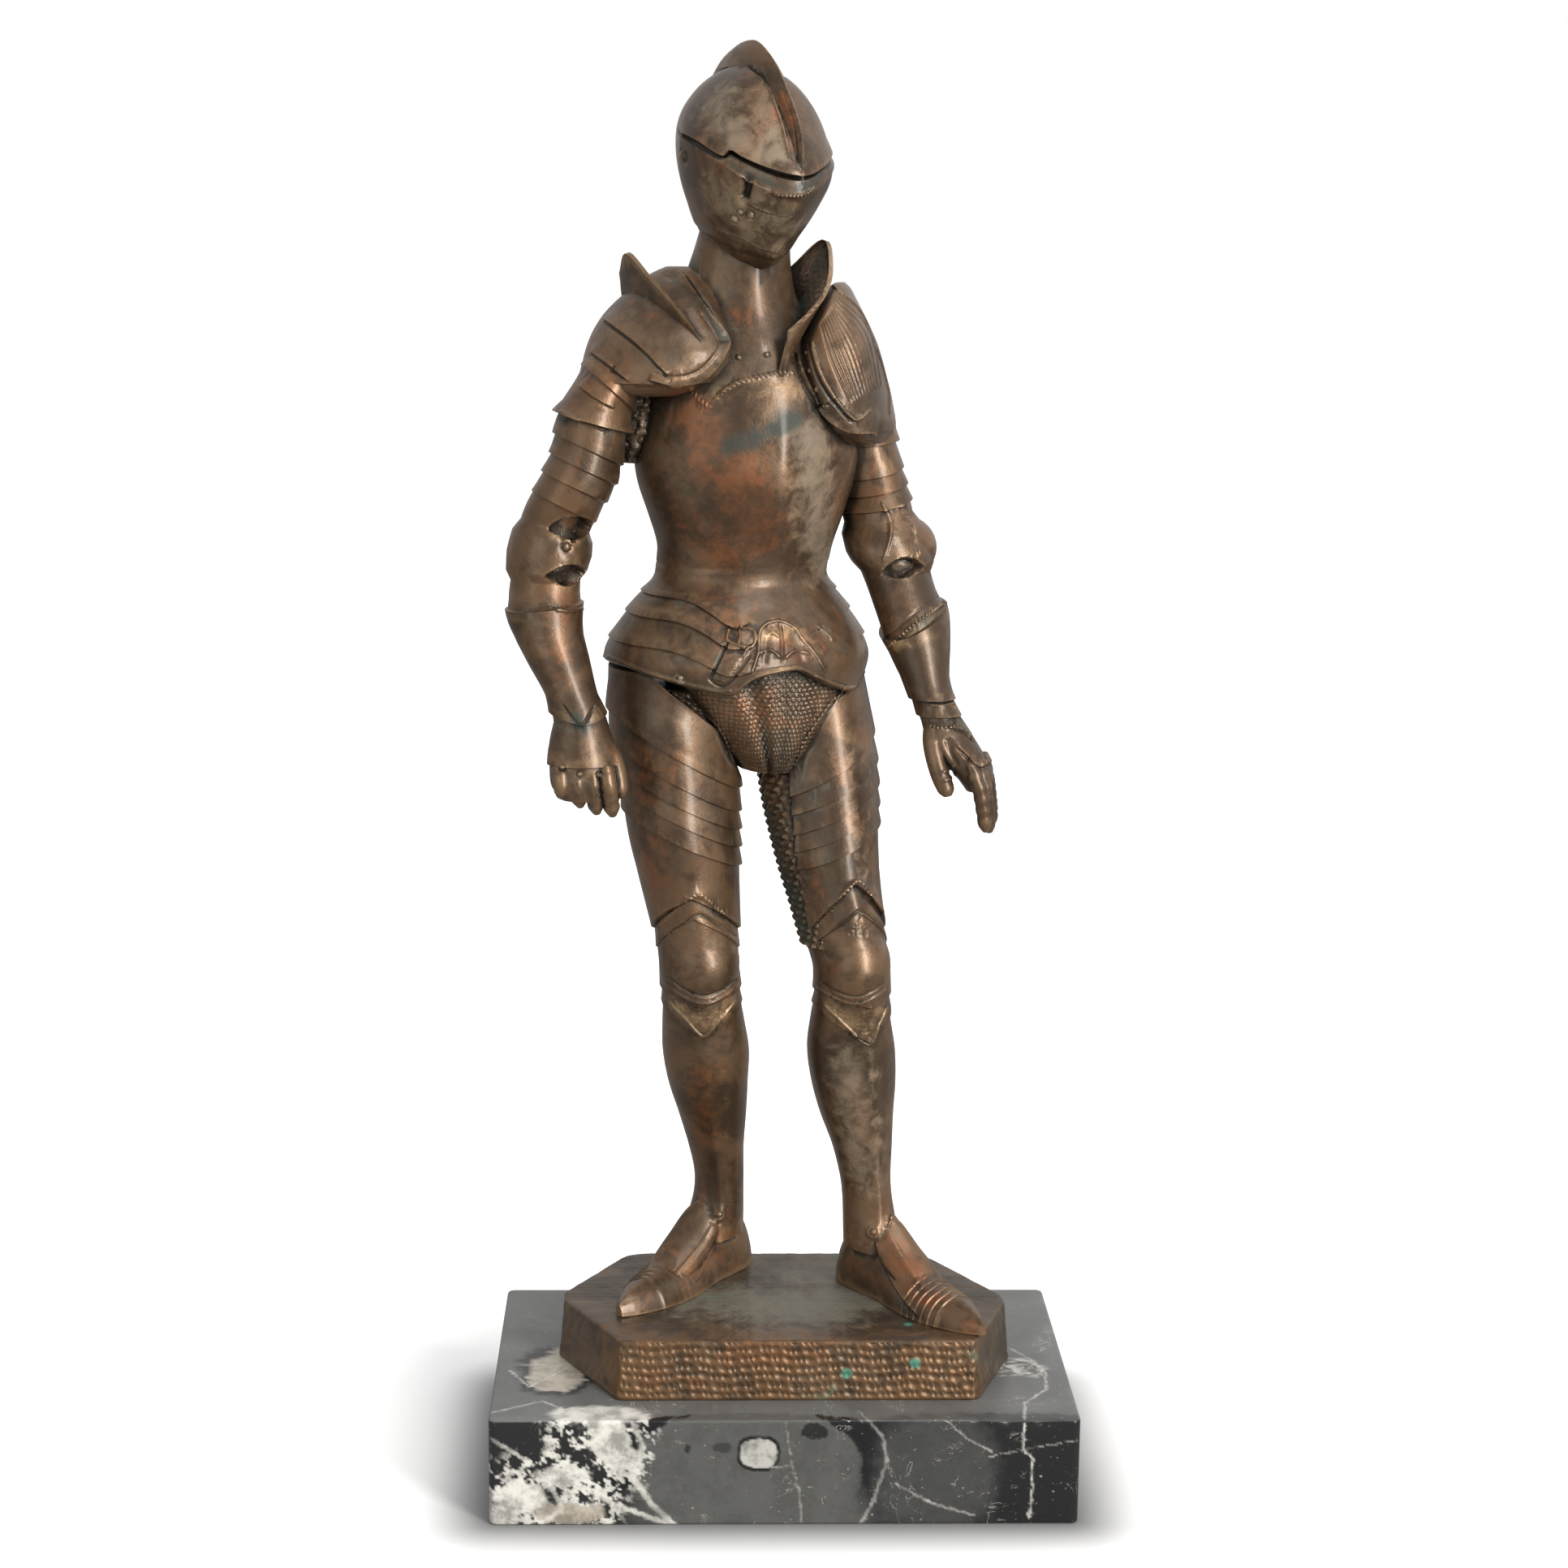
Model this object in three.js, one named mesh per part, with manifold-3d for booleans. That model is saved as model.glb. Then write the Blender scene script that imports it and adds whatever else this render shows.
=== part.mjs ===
// Knight in full plate armour, cast in bronze, on an eight-sided bronze base and a marble plinth.
// Millimetres, +Z up, -Y the front. The origin is the middle of the plinth's underside.
// "Right" and "left" are the knight's own: the right limbs are on the -X side.
import * as THREE from "three";
import Module from "manifold-3d";

const wasm = await Module();
wasm.setup();

// Marble plinth
const PLINTH_WIDTH = 160;
const PLINTH_DEPTH = 100;
const PLINTH_HEIGHT = 30;
const PLINTH_CORNER = 2;
const PLINTH_EDGE = 0.8;

// Bronze base
const BASE_WIDTH = 125;
const BASE_DEPTH = 71;
const BASE_HEIGHT = 17;
const BASE_EDGE = 1.4;
const BASE_SPREAD = 1.2;

// Figure, from the soles to the top of the helmet's comb
const FIGURE_HEIGHT = 347;
const PLATE_STEP = 0.8;
const SIMPLEST = 0.05;

// The pose is written for a figure of this height and scaled to FIGURE_HEIGHT.
const POSE_HEIGHT = 347;
const BODY_TURN = 20;
const HEAD_TURN = 28.5;
const LEFT_KNEE_TURN = 22;

const LIMB_SIDES = 14;
const BODY_SIDES = 22;
const HELMET_SIDES = 22;
const SHOULDER_SIDES = 16;

const rad = (degrees) => (degrees * Math.PI) / 180;
const clamp = (value, low, high) => Math.min(high, Math.max(low, value));
const mix = (a, b, t) => a + (b - a) * t;

// A bump that is 1 at `middle` and fades to 0 at `width` on either side, on a circle in degrees.
function bump(angle, middle, width) {
  const away = Math.abs(((angle - middle + 540) % 360) - 180);
  const t = clamp(1 - away / width, 0, 1);
  return t * t * (3 - 2 * t);
}

// Eases from 0 at `low` to 1 at `high`.
function ease(value, low, high) {
  const t = clamp((value - low) / (high - low), 0, 1);
  return t * t * (3 - 2 * t);
}

// An angle between -180 and 180, from one between 0 and 360.
const signed = (angle) => (angle > 180 ? angle - 360 : angle);

// A gable that is 1 at the front and falls evenly to 0 at 80 degrees.
const point = (angle) => clamp(1 - Math.min(angle, 360 - angle) / 80, 0, 1);

// Reads a table of [position, value, value, ...] as smooth curves over the position.
function curves(table) {
  const last = table.length - 1;
  return (at) => {
    let i = 0;
    while (i < last - 1 && at > table[i + 1][0]) i += 1;
    const before = table[Math.max(0, i - 1)];
    const a = table[i];
    const b = table[i + 1];
    const after = table[Math.min(last, i + 2)];
    const t = clamp((at - a[0]) / (b[0] - a[0]), 0, 1);
    return a.slice(1).map((value, k) => {
      const c = k + 1;
      const span = b[0] - a[0];
      const slopeA = (span * (b[c] - before[c])) / (b[0] - before[0]);
      const slopeB = (span * (after[c] - a[c])) / (after[0] - a[0]);
      const rise = b[c] - value;
      return (
        value +
        t * (slopeA + t * (3 * rise - 2 * slopeA - slopeB + t * (slopeA + slopeB - 2 * rise)))
      );
    });
  };
}

// A closed solid through rows of points. The first and the last row are closed by a fan.
function loft(rows) {
  const count = rows[0].length;
  const points = rows.flat();
  const middle = (row) =>
    [0, 1, 2].map((k) => row.reduce((sum, p) => sum + p[k], 0) / row.length);
  points.push(middle(rows[0]), middle(rows[rows.length - 1]));
  const faces = [];
  for (let r = 0; r < rows.length - 1; r += 1) {
    for (let k = 0; k < count; k += 1) {
      const a = r * count + k;
      const b = r * count + ((k + 1) % count);
      faces.push([a, b, b + count], [a, b + count, a + count]);
    }
  }
  const lastRow = (rows.length - 1) * count;
  for (let k = 0; k < count; k += 1) {
    const next = (k + 1) % count;
    faces.push([points.length - 2, next, k]);
    faces.push([points.length - 1, lastRow + k, lastRow + next]);
  }
  return solid(points, faces);
}

// A manifold solid from points and triangles, turned so that its faces look outwards.
function solid(points, faces) {
  const volume = faces.reduce((sum, [i, j, k]) => {
    const [a, b, c] = [points[i], points[j], points[k]];
    return (
      sum +
      a[0] * (b[1] * c[2] - b[2] * c[1]) +
      a[1] * (b[2] * c[0] - b[0] * c[2]) +
      a[2] * (b[0] * c[1] - b[1] * c[0])
    );
  }, 0);
  const outward = volume > 0 ? faces : faces.map(([i, j, k]) => [i, k, j]);
  return new wasm.Manifold(
    new wasm.Mesh({
      numProp: 3,
      vertProperties: new Float32Array(points.flat()),
      triVerts: new Uint32Array(outward.flat()),
    }),
  );
}

// The outline of a limb or of the body as a function of the height:
// [height, middle x, middle y, half across, half to the front, half to the back].
// `turn` is the angle of its front from -Y towards +X.
function trunk(table, turn, crest = 0) {
  const at = curves(table);
  const front = [Math.sin(rad(turn)), -Math.cos(rad(turn))];
  const side = [Math.cos(rad(turn)), Math.sin(rad(turn))];
  return (angle, height, out) => {
    const [x, y, across, forward, backward] = at(height);
    const c = Math.cos(rad(angle));
    const s = Math.sin(rad(angle));
    const reach = c > 0 ? forward : (backward ?? forward);
    const f = (reach + out + crest * bump(angle, 0, 40)) * c;
    const w = (across + out) * s;
    return [x + f * front[0] + w * side[0], y + f * front[1] + w * side[1], height];
  };
}

// One row of a trunk. `tilt` lifts the row at the knight's left, `rise` at the front,
// and `peak` draws it up to a point at the front. `out` is its distance off the trunk,
// which `part` may lessen over part of the way round.
function ring(shape, sides, row) {
  const { h = 0, tilt = 0, rise = 0, peak = 0, out = 0, edge = () => 0, part = () => 1 } = row;
  return Array.from({ length: sides }, (_, k) => {
    const angle = (360 * k) / sides;
    const lift = tilt * Math.sin(rad(angle)) + rise * Math.cos(rad(angle));
    const height = h + lift + peak * point(angle) + edge(angle);
    return shape(angle, height, out * part(angle));
  });
}

const trunkSolid = (shape, sides, rows) => loft(rows.map((row) => ring(shape, sides, row)));

// The edge of a plate that laps over the next one below it: a ledge in two rows.
const lap = (row, step = PLATE_STEP) => [
  { ...row, out: step },
  { ...row, h: row.h - 0.5, out: 0 },
];

// The edge of a plate that laps over the next one above it.
const lapUp = (row, step = PLATE_STEP) => [
  { ...row, h: row.h + 0.5, out: 0 },
  { ...row, out: step },
];

// A rounded lump round a middle point.
function ellipsoid([x, y, z], [rx, ry, rz], sides = 10, rings = 6) {
  const rows = [];
  for (let r = 0; r <= rings; r += 1) {
    const lift = Math.cos(mix(0.12, Math.PI - 0.12, r / rings));
    const wide = Math.sqrt(1 - lift * lift);
    rows.push(
      Array.from({ length: sides }, (_, k) => {
        const a = (2 * Math.PI * k) / sides;
        return [x + rx * wide * Math.cos(a), y + ry * wide * Math.sin(a), z + rz * lift];
      }),
    );
  }
  return loft(rows);
}

// A round bar through points of [x, y, z, radius].
function bar(points, sides = 6) {
  const rows = points.map(([x, y, z, r], i) => {
    const from = points[Math.max(0, i - 1)];
    const to = points[Math.min(points.length - 1, i + 1)];
    const along = new THREE.Vector3(to[0] - from[0], to[1] - from[1], to[2] - from[2]).normalize();
    const across = new THREE.Vector3(1, 0, 0).cross(along).normalize();
    const third = along.clone().cross(across);
    return Array.from({ length: sides }, (_, k) => {
      const a = (2 * Math.PI * k) / sides;
      const p = new THREE.Vector3(x, y, z)
        .addScaledVector(across, r * Math.cos(a))
        .addScaledVector(third, r * Math.sin(a));
      return [p.x, p.y, p.z];
    });
  });
  return loft(rows);
}

// A plate of even thickness between a foot line and a crest line, given point by point,
// and bowed out by `bow` half way up.
function wall(foot, crest, thick, bow) {
  const steps = 4;
  const rows = foot.map((low, i) => {
    const high = crest[i];
    const near = foot[Math.min(foot.length - 1, i + 1)];
    const far = foot[Math.max(0, i - 1)];
    const along = new THREE.Vector3(near[0] - far[0], near[1] - far[1], 0).normalize();
    const away = new THREE.Vector3(-along.y, along.x, 0);
    const outer = [];
    const inner = [];
    for (let k = 0; k <= steps; k += 1) {
      const t = k / steps;
      const swell = bow * 4 * t * (1 - t);
      const p = [0, 1, 2].map((c) => mix(low[c], high[c], t));
      outer.push([p[0] + away.x * swell, p[1] + away.y * swell, p[2]]);
      inner.push([
        p[0] + away.x * (swell - thick),
        p[1] + away.y * (swell - thick),
        p[2] - (k === steps ? 0.3 : 0),
      ]);
    }
    return [...outer, ...inner.reverse()];
  });
  return loft(rows);
}

// Legs: tables of [height, x, y, half across, half front, half back]
const RIGHT_LEG = [
  [16, -18.6, 20.5, 8.4, 9.5, 9],
  [23, -17.7, 20, 7.3, 8.4, 8],
  [30, -17.5, 19.4, 7.1, 8, 8],
  [39, -18.4, 17.6, 7.9, 8.6, 9.4],
  [50, -19.6, 14.8, 9.7, 10.2, 12.2],
  [60, -20.9, 11.8, 11.3, 11.6, 14],
  [70, -21.6, 8.8, 12.2, 12.2, 14.6],
  [80, -22.4, 5, 11.5, 11.8, 13.2],
  [88, -23, 2.4, 10.8, 11.6, 11.8],
  [97, -23.7, 1.4, 11.1, 12, 11.8],
  [106, -24.4, 1.6, 11.6, 12.6, 12.4],
  [114, -25.5, 1.8, 12.7, 13.4, 13.4],
  [124, -26.9, 1.8, 14.2, 14.8, 14.6],
  [133, -28, 1.4, 15.3, 15.8, 15.6],
  [142, -28.8, 1, 15.9, 16.6, 16.4],
  [151, -29.5, 0.8, 16.4, 17, 17],
  [160, -30.6, 0.6, 17, 17.4, 17.6],
  [170, -31.6, 0.6, 17.2, 17.6, 18],
  [182, -32, 1, 16.8, 17, 18],
];
const LEFT_LEG = [
  [16, 25.6, 8.6, 7.8, 9.5, 9],
  [22, 25, 9, 7.2, 8.6, 8],
  [28, 24.4, 9.2, 6.9, 8, 8],
  [33, 23.9, 9.2, 7.1, 8, 8.4],
  [42, 22.9, 8.8, 8.4, 8.8, 9.8],
  [52, 21.2, 7.6, 10.3, 10.4, 12.4],
  [62, 20.1, 6, 11.8, 11.8, 14],
  [72, 19.2, 4, 12.2, 12.2, 14.2],
  [82, 18.7, 1, 11, 11.4, 12.4],
  [90, 18.7, -1.6, 10.2, 11.2, 11],
  [98, 18.3, -2.6, 10.7, 12, 11],
  [106, 16.3, -1.4, 11.3, 12, 11.6],
  [115, 14.4, 0.4, 12, 13, 12.6],
  [124, 12.7, 2, 13.2, 14, 13.6],
  [133, 11.3, 3.6, 14.3, 15, 14.6],
  [142, 10.1, 5, 15.2, 16, 15.6],
  [151, 9.2, 6.4, 15.8, 16.4, 16.4],
  [160, 8.2, 7.8, 15.8, 16.6, 17],
  [170, 7, 9.4, 15.4, 16.6, 17.4],
  [182, 6, 11, 14.6, 16, 17],
];

// Lower edges of the thigh plates: [height, tilt]
const RIGHT_THIGH_LAPS = [
  [158.5, -11.2],
  [150.5, -9.8],
  [144.6, -9],
  [139.4, -8.8],
  [133.4, -8],
];
const LEFT_THIGH_LAPS = [
  [153.8, 9.3],
  [147.4, 7.7],
  [141.6, 7.1],
  [136.5, 6.6],
  [131.4, 6.3],
];

// The points at the knees, from the thigh plate's lower edge down: [height, peak, step]
const RIGHT_KNEE_POINTS = [
  [107.6, 11.4, 0.7],
  [102, 10.8, 0.4],
  [90.8, -3.6, 0.6],
  [86.2, -8.6, 0.5],
];
const LEFT_KNEE_POINTS = [
  [107.4, 15.6, 0.7],
  [103.2, 11.6, 0.4],
  [91, -3.2, 0.6],
  [86.4, -9.4, 0.5],
];

function leg({ table, turn, laps, outerTilt, kneePoints, kneeHalf }) {
  const shape = trunk(table, turn, 0.7);
  const [thigh, above, below, greave] = kneePoints.map(([h, peak, step]) => lap({ h, peak }, step));
  const rows = [
    { h: 181 },
    { h: 171, tilt: outerTilt },
    ...laps.flatMap(([h, tilt]) => lap({ h, tilt })),
    { h: 124.2 },
    ...thigh,
    ...above,
    { h: 97 },
    ...below,
    ...greave,
    { h: 67 },
    { h: 58 },
    { h: 48 },
    { h: 38 },
    { h: 30 },
    { h: 24.5 },
    ...lap({ h: 20.5, rise: -3 }, 0.4),
    { h: 16.2 },
  ];
  const front = [Math.sin(rad(turn)), -Math.cos(rad(turn))];
  const [x, y] = curves(table)(96);
  const knee = ellipsoid([x + front[0] * 2.3, y + front[1] * 2.3, 97.6], [kneeHalf, 11.3, 13]);
  return trunkSolid(shape, LIMB_SIDES, rows).add(knee);
}

// A pointed foot plate on the ground, from heel to toe: [share, half width, height].
const FOOT = curves([
  [0, 3.8, 8],
  [0.05, 7, 14],
  [0.13, 8.6, 19],
  [0.25, 8.6, 21],
  [0.36, 8.2, 16.2],
  [0.48, 8.9, 11.8],
  [0.6, 9.4, 9],
  [0.72, 8.7, 7.6],
  [0.84, 6.6, 6.6],
  [0.94, 3.6, 4.8],
  [1, 0.9, 2.8],
]);

function foot(heel, toe) {
  const along = [toe[0] - heel[0], toe[1] - heel[1]];
  const length = Math.hypot(...along);
  const side = [-along[1] / length, along[0] / length];
  const arch = 8;
  const section = (share, out) => {
    const [half, height] = FOOT(share);
    const middle = [heel[0] + along[0] * share, heel[1] + along[1] * share];
    return Array.from({ length: arch + 1 }, (_, k) => {
      const a = (Math.PI * k) / arch;
      const across = (half + out) * Math.sign(Math.cos(a)) * Math.abs(Math.cos(a)) ** 0.9;
      return [
        middle[0] + side[0] * across,
        middle[1] + side[1] * across,
        (height + out) * Math.sin(a) ** 1.15,
      ];
    });
  };
  const rows = [0, 0.05, 0.13, 0.25, 0.38, 0.5].map((share) => section(share, 0));
  for (const share of [0.6, 0.67, 0.74, 0.81]) {
    rows.push(section(share, 0.45), section(share + 0.012, 0));
  }
  rows.push(section(0.9, 0), section(0.96, 0), section(1, 0));
  return loft(rows);
}

// Body: breastplate, backplate and gorget
const BODY = [
  [202, -13, 6, 23.5, 17, 16],
  [209, -12.4, 6, 24.2, 19, 17],
  [214, -11.8, 6, 24.6, 20.6, 17.6],
  [222, -11.7, 6, 27.2, 23.4, 18.6],
  [231, -11.8, 6, 30.2, 25.4, 20],
  [238, -11.6, 6, 31.2, 26, 21],
  [246, -11, 6, 30.4, 25.4, 21.6],
  [256, -10.2, 6, 29, 23, 21],
  [262, -10.6, 6, 27.6, 20.6, 20.4],
  [268, -11.6, 6, 24.4, 18, 18.8],
  [274, -12.8, 6, 18.8, 15.6, 17],
  [280, -13.6, 5.6, 15.4, 13.6, 15.2],
  [286, -13.9, 5, 14.2, 12.8, 13.8],
  [292, -13.2, 4, 13, 11.8, 12.4],
  [300, -12, 2, 11.8, 11.6, 11.6],
];

// Waist lames, fauld and tassets
const FAULD = [
  [164, -13, 6, 29, 25.5, 25],
  [175, -13, 6, 33.6, 28, 27.4],
  [180, -13.2, 6, 35.8, 29.4, 28.8],
  [183.5, -13.6, 6, 36.8, 30, 29.4],
  [187, -13.8, 6, 36, 29.4, 28.6],
  [191, -13.6, 6, 33.8, 27.6, 26.6],
  [195.5, -13.5, 6, 31, 25.4, 24.2],
  [200, -13.4, 6, 27.8, 22.6, 21.2],
  [204.4, -13.3, 6, 24.9, 20.4, 18.8],
  [210, -12.6, 6, 24.4, 20, 18],
];

// The mail skirt below the fauld
const SKIRT = [
  [151, -6.6, -2, 5.4, 10.4, 8],
  [155, -6.6, -1, 8, 13.6, 11],
  [160, -6.8, 0, 13, 16.8, 14],
  [168, -7.2, 2, 19.5, 20.4, 18],
  [176, -8.2, 4, 25.5, 22.6, 21],
  [184, -9, 5, 28, 23.5, 22],
];

// The hem's height round the body: the tassets hang low either side of an arch at the front.
const HEM = curves([
  [-180, 179.5],
  [-140, 181.5],
  [-103, 182.9],
  [-74, 183],
  [-47, 179.9],
  [-29, 177.5],
  [-20, 177.1],
  [-10.5, 181.4],
  [9.5, 183.2],
  [26.5, 178.1],
  [50, 174.4],
  [64, 174],
  [84, 176],
  [110, 179],
  [180, 179.5],
]);
const hem = (angle) => HEM(signed(angle))[0];

// The fauld's lames: their heights, how far their edges turn down, and where they show.
const FAULD_LAMES = [201.2, 195.8, 188.7];
const DROOP = curves([
  [-180, 0],
  [-60, 0],
  [-44, -0.8],
  [-32, -3.2],
  [-22, -6.2],
  [-15, -6.2],
  [-9, -4.6],
  [0, -4],
  [20, -3],
  [60, 0],
  [180, 0],
]);
const droop = (angle) => DROOP(signed(angle))[0];
const lamed = (angle) =>
  signed(angle) < 0 ? ease(-signed(angle), 9, 17) : ease(signed(angle), 52, 76);

function body() {
  const shape = trunk(BODY, BODY_TURN, 1);
  const plates = trunkSolid(shape, BODY_SIDES, [
    { h: 300 },
    { h: 295 },
    { h: 291 },
    { h: 287 },
    { h: 281 },
    { h: 272 },
    { h: 262 },
    { h: 253 },
    { h: 245 },
    { h: 237 },
    { h: 229 },
    { h: 221 },
    { h: 214 },
    ...lap({ h: 209.5, peak: -3 }, 0.4),
    { h: 204 },
  ]);
  const skirts = trunk(FAULD, BODY_TURN, 0.6);
  const fauld = trunkSolid(skirts, BODY_SIDES, [
    { h: 209 },
    { h: 205 },
    ...FAULD_LAMES.flatMap((h) => lap({ h, edge: droop, part: lamed })),
    { h: 0.2, edge: hem, out: 0.7 },
    { h: -0.3, edge: hem, out: -2 },
  ]);
  const skirt = trunkSolid(trunk(SKIRT, BODY_TURN), SHOULDER_SIDES, [
    { h: 183 },
    { h: 175 },
    { h: 168 },
    { h: 162 },
    { h: 156.5 },
    { h: 152 },
  ]);
  return plates.add(fauld).add(skirt);
}

// Shoulder plates
const RIGHT_PAULDRON = [
  [253.5, -41, -4, 11, 13, 11],
  [257, -40, -4, 15.8, 19, 14.8],
  [261, -38.5, -3.6, 17.4, 22.6, 16.8],
  [266, -37, -3, 17.8, 24, 17.6],
  [271, -36, -2, 16.4, 22, 17],
  [276, -34.6, -0.8, 13.6, 18.6, 15.4],
  [281, -32.6, 0.6, 10.4, 14.6, 12],
  [286, -30.4, 2, 6, 9, 7.4],
  [288, -29.8, 2.4, 2.6, 4, 3.4],
];
const LEFT_PAULDRON = [
  [240, 20.5, 8, 5, 11, 11],
  [244, 18.4, 7.6, 9.4, 17, 16],
  [251, 15.8, 7, 11.8, 21, 20],
  [259, 13.6, 6.6, 12.2, 22, 21],
  [267, 12.4, 6.6, 11, 21, 20.4],
  [273, 12.4, 7.2, 8.2, 18, 18.4],
  [279, 12.6, 8.2, 4.8, 13, 13.6],
  [282.4, 13, 9, 2.6, 8, 9],
  [284, 13.2, 9.4, 0.8, 3, 4],
];

function pauldrons() {
  const right = trunkSolid(trunk(RIGHT_PAULDRON, 55), SHOULDER_SIDES, [
    { h: 287.8 },
    { h: 285.6 },
    { h: 281 },
    { h: 275.5 },
    { h: 269 },
    { h: 263, out: 0.2 },
    ...lap({ h: 258.6 }, 1),
    { h: 255 },
  ]);
  const left = trunkSolid(trunk(LEFT_PAULDRON, -12), SHOULDER_SIDES, [
    { h: 283.6 },
    { h: 279.4 },
    { h: 273 },
    { h: 266 },
    { h: 258 },
    { h: 251, out: 0.2 },
    ...lap({ h: 245 }, 0.8),
    { h: 241.6 },
  ]);
  return right.add(left);
}

// The upright neck guards on the pauldrons
function neckGuards() {
  const right = wall(
    [
      [-22.6, -18.4, 260],
      [-25.6, -17.4, 264],
      [-31.6, -13, 269],
      [-37.6, -7, 273],
      [-42, -1, 275],
      [-43.6, 5, 273],
    ],
    [
      [-22.2, -20, 266],
      [-25.6, -20, 272],
      [-31.6, -17, 279],
      [-38, -11, 285.6],
      [-43.8, -4, 291.4],
      [-45.6, 1.6, 286],
    ],
    2,
    0.6,
  );
  const left = wall(
    [
      [-4, 13, 272],
      [-2, 9, 270],
      [-1.4, 3, 268],
      [-1.4, -3.4, 266],
      [-1.6, -10, 263],
      [-2.4, -15, 260],
    ],
    [
      [0.5, 14, 287],
      [9.2, 8.4, 294.8],
      [10.8, 2.4, 287.8],
      [9, -4.4, 281.4],
      [4.6, -11.4, 276.4],
      [-0.6, -16.4, 272],
    ],
    2,
    0.6,
  );
  return right.add(left);
}

// Arms, from the wrist up
const RIGHT_ARM = [
  [164, -55.3, -21, 8.2, 6.4, 6],
  [168.5, -55.6, -20, 7.3, 6.2, 6],
  [173, -57, -19, 7, 6.6, 6.6],
  [177, -58.6, -17.8, 7.2, 7.2, 7.2],
  [185, -62, -14.6, 8.6, 8.6, 8.6],
  [193, -65, -11.4, 9.6, 9.6, 9.8],
  [200, -65.7, -8.6, 9.9, 9.8, 10.2],
  [206, -65.3, -6.4, 10, 10, 10.6],
  [212, -64.4, -5.2, 10.2, 10, 10.8],
  [219, -63, -5.2, 10.2, 10, 10.8],
  [225, -60.4, -6.4, 10.5, 10.2, 10.6],
  [232, -56.6, -8, 10.4, 10.2, 10.4],
  [240, -54, -9, 9.5, 10, 10.4],
  [250, -52, -9, 9.6, 10.6, 10.8],
  [258, -48.4, -8.2, 8.8, 11.4, 11.6],
  [267, -44.4, -6.2, 8, 11.6, 12],
  [276, -40, -3.6, 6.4, 9.6, 10],
];
const LEFT_ARM = [
  [163, 43, -12, 6.4, 5.4, 5.4],
  [167.4, 41.5, -10.6, 5.6, 5.4, 5.4],
  [171.4, 39.9, -9, 5.6, 5.6, 5.8],
  [176, 38, -6.8, 6, 6.2, 6.4],
  [181, 36.6, -4.4, 7.1, 7.2, 7.4],
  [188, 35.2, -1, 8.6, 8.4, 8.8],
  [196, 33.2, 3, 9.8, 9.4, 9.8],
  [202, 30.8, 5.6, 9.8, 9.6, 10],
  [208.6, 28.8, 8.4, 10.8, 10.2, 11],
  [213, 27.4, 9.6, 10.8, 10.4, 11.2],
  [219, 25.4, 11.2, 10.2, 10.4, 11],
  [226, 23.8, 13, 9.2, 10.2, 10.4],
  [232, 22.2, 14, 9, 10.2, 10.2],
  [240, 20, 15, 9.2, 10.4, 10.4],
  [248, 18, 15.2, 9.4, 10.8, 10.6],
  [258, 15.2, 14.6, 9.4, 11, 10.8],
  [267, 13, 13.6, 9, 10.6, 10.6],
];

function rightArm() {
  const shape = trunk(RIGHT_ARM, 10);
  const arm = trunkSolid(shape, LIMB_SIDES, [
    { h: 272 },
    ...lap({ h: 263.6, tilt: -8 }, 1),
    ...lap({ h: 256.6, tilt: -6 }, 1),
    ...lap({ h: 247.6, tilt: -3 }, 2),
    ...lap({ h: 240.4, tilt: -4.4 }),
    ...lap({ h: 235.2, tilt: -4.4 }),
    ...lap({ h: 230.2, tilt: -4.4 }),
    ...lap({ h: 224.8, tilt: -4.4 }, 0.5),
    { h: 219.4, tilt: -2, out: -0.4 },
    { h: 216.6, tilt: -2, out: 1 },
    { h: 212, tilt: -1, out: 1.4 },
    { h: 207.6, out: 0.9 },
    { h: 205, out: -0.8 },
    { h: 201, tilt: 1, out: -0.6 },
    ...lapUp({ h: 198.4, tilt: 1 }, 0.8),
    { h: 191 },
    { h: 183 },
    { h: 176 },
    ...lap({ h: 171.4, peak: -2.6 }, 0.8),
    { h: 165 },
  ]);
  const elbow = ellipsoid([-65.4, 0.4, 212], [9.4, 9.6, 9]);
  const armpit = ellipsoid([-41, 1, 247], [8, 9, 11]);
  return arm.add(elbow).add(armpit);
}

function leftArm() {
  const shape = trunk(LEFT_ARM, 30);
  const arm = trunkSolid(shape, LIMB_SIDES, [
    { h: 263 },
    { h: 250 },
    ...lap({ h: 240.6, tilt: 1 }, 1.4),
    ...lap({ h: 232.6, tilt: 2 }),
    ...lap({ h: 228.2, tilt: 2 }),
    ...lap({ h: 224, tilt: 2 }),
    { h: 220.4, tilt: 2, out: -0.4 },
    { h: 217.4, tilt: 2, out: 1 },
    { h: 212, tilt: 1, out: 1.2 },
    { h: 208.6, out: 0.6 },
    { h: 206, out: -0.8 },
    { h: 200.4, tilt: 3, out: -0.4 },
    ...lapUp({ h: 193.6, tilt: 5 }, 1),
    { h: 186, tilt: 1, out: 0.4 },
    { h: 179.4 },
    ...lap({ h: 173.6 }, 0.8),
    ...lap({ h: 169.4 }, 0.8),
    { h: 164 },
  ]);
  const elbow = ellipsoid([31, 12, 212], [10, 11.4, 9]);
  const armpit = ellipsoid([12, 13, 247], [8, 9, 12]);
  return arm.add(elbow).add(armpit);
}

// A finger bent at its knuckle, from inside the hand to its tip.
const finger = ([x, y, z], bend, tip, radius) =>
  bar([
    [x, y + 1, z + 2, radius * 0.5],
    [x, y, z, radius],
    [...bend, radius * 0.95],
    [...tip, radius * 0.75],
  ]);

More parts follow.
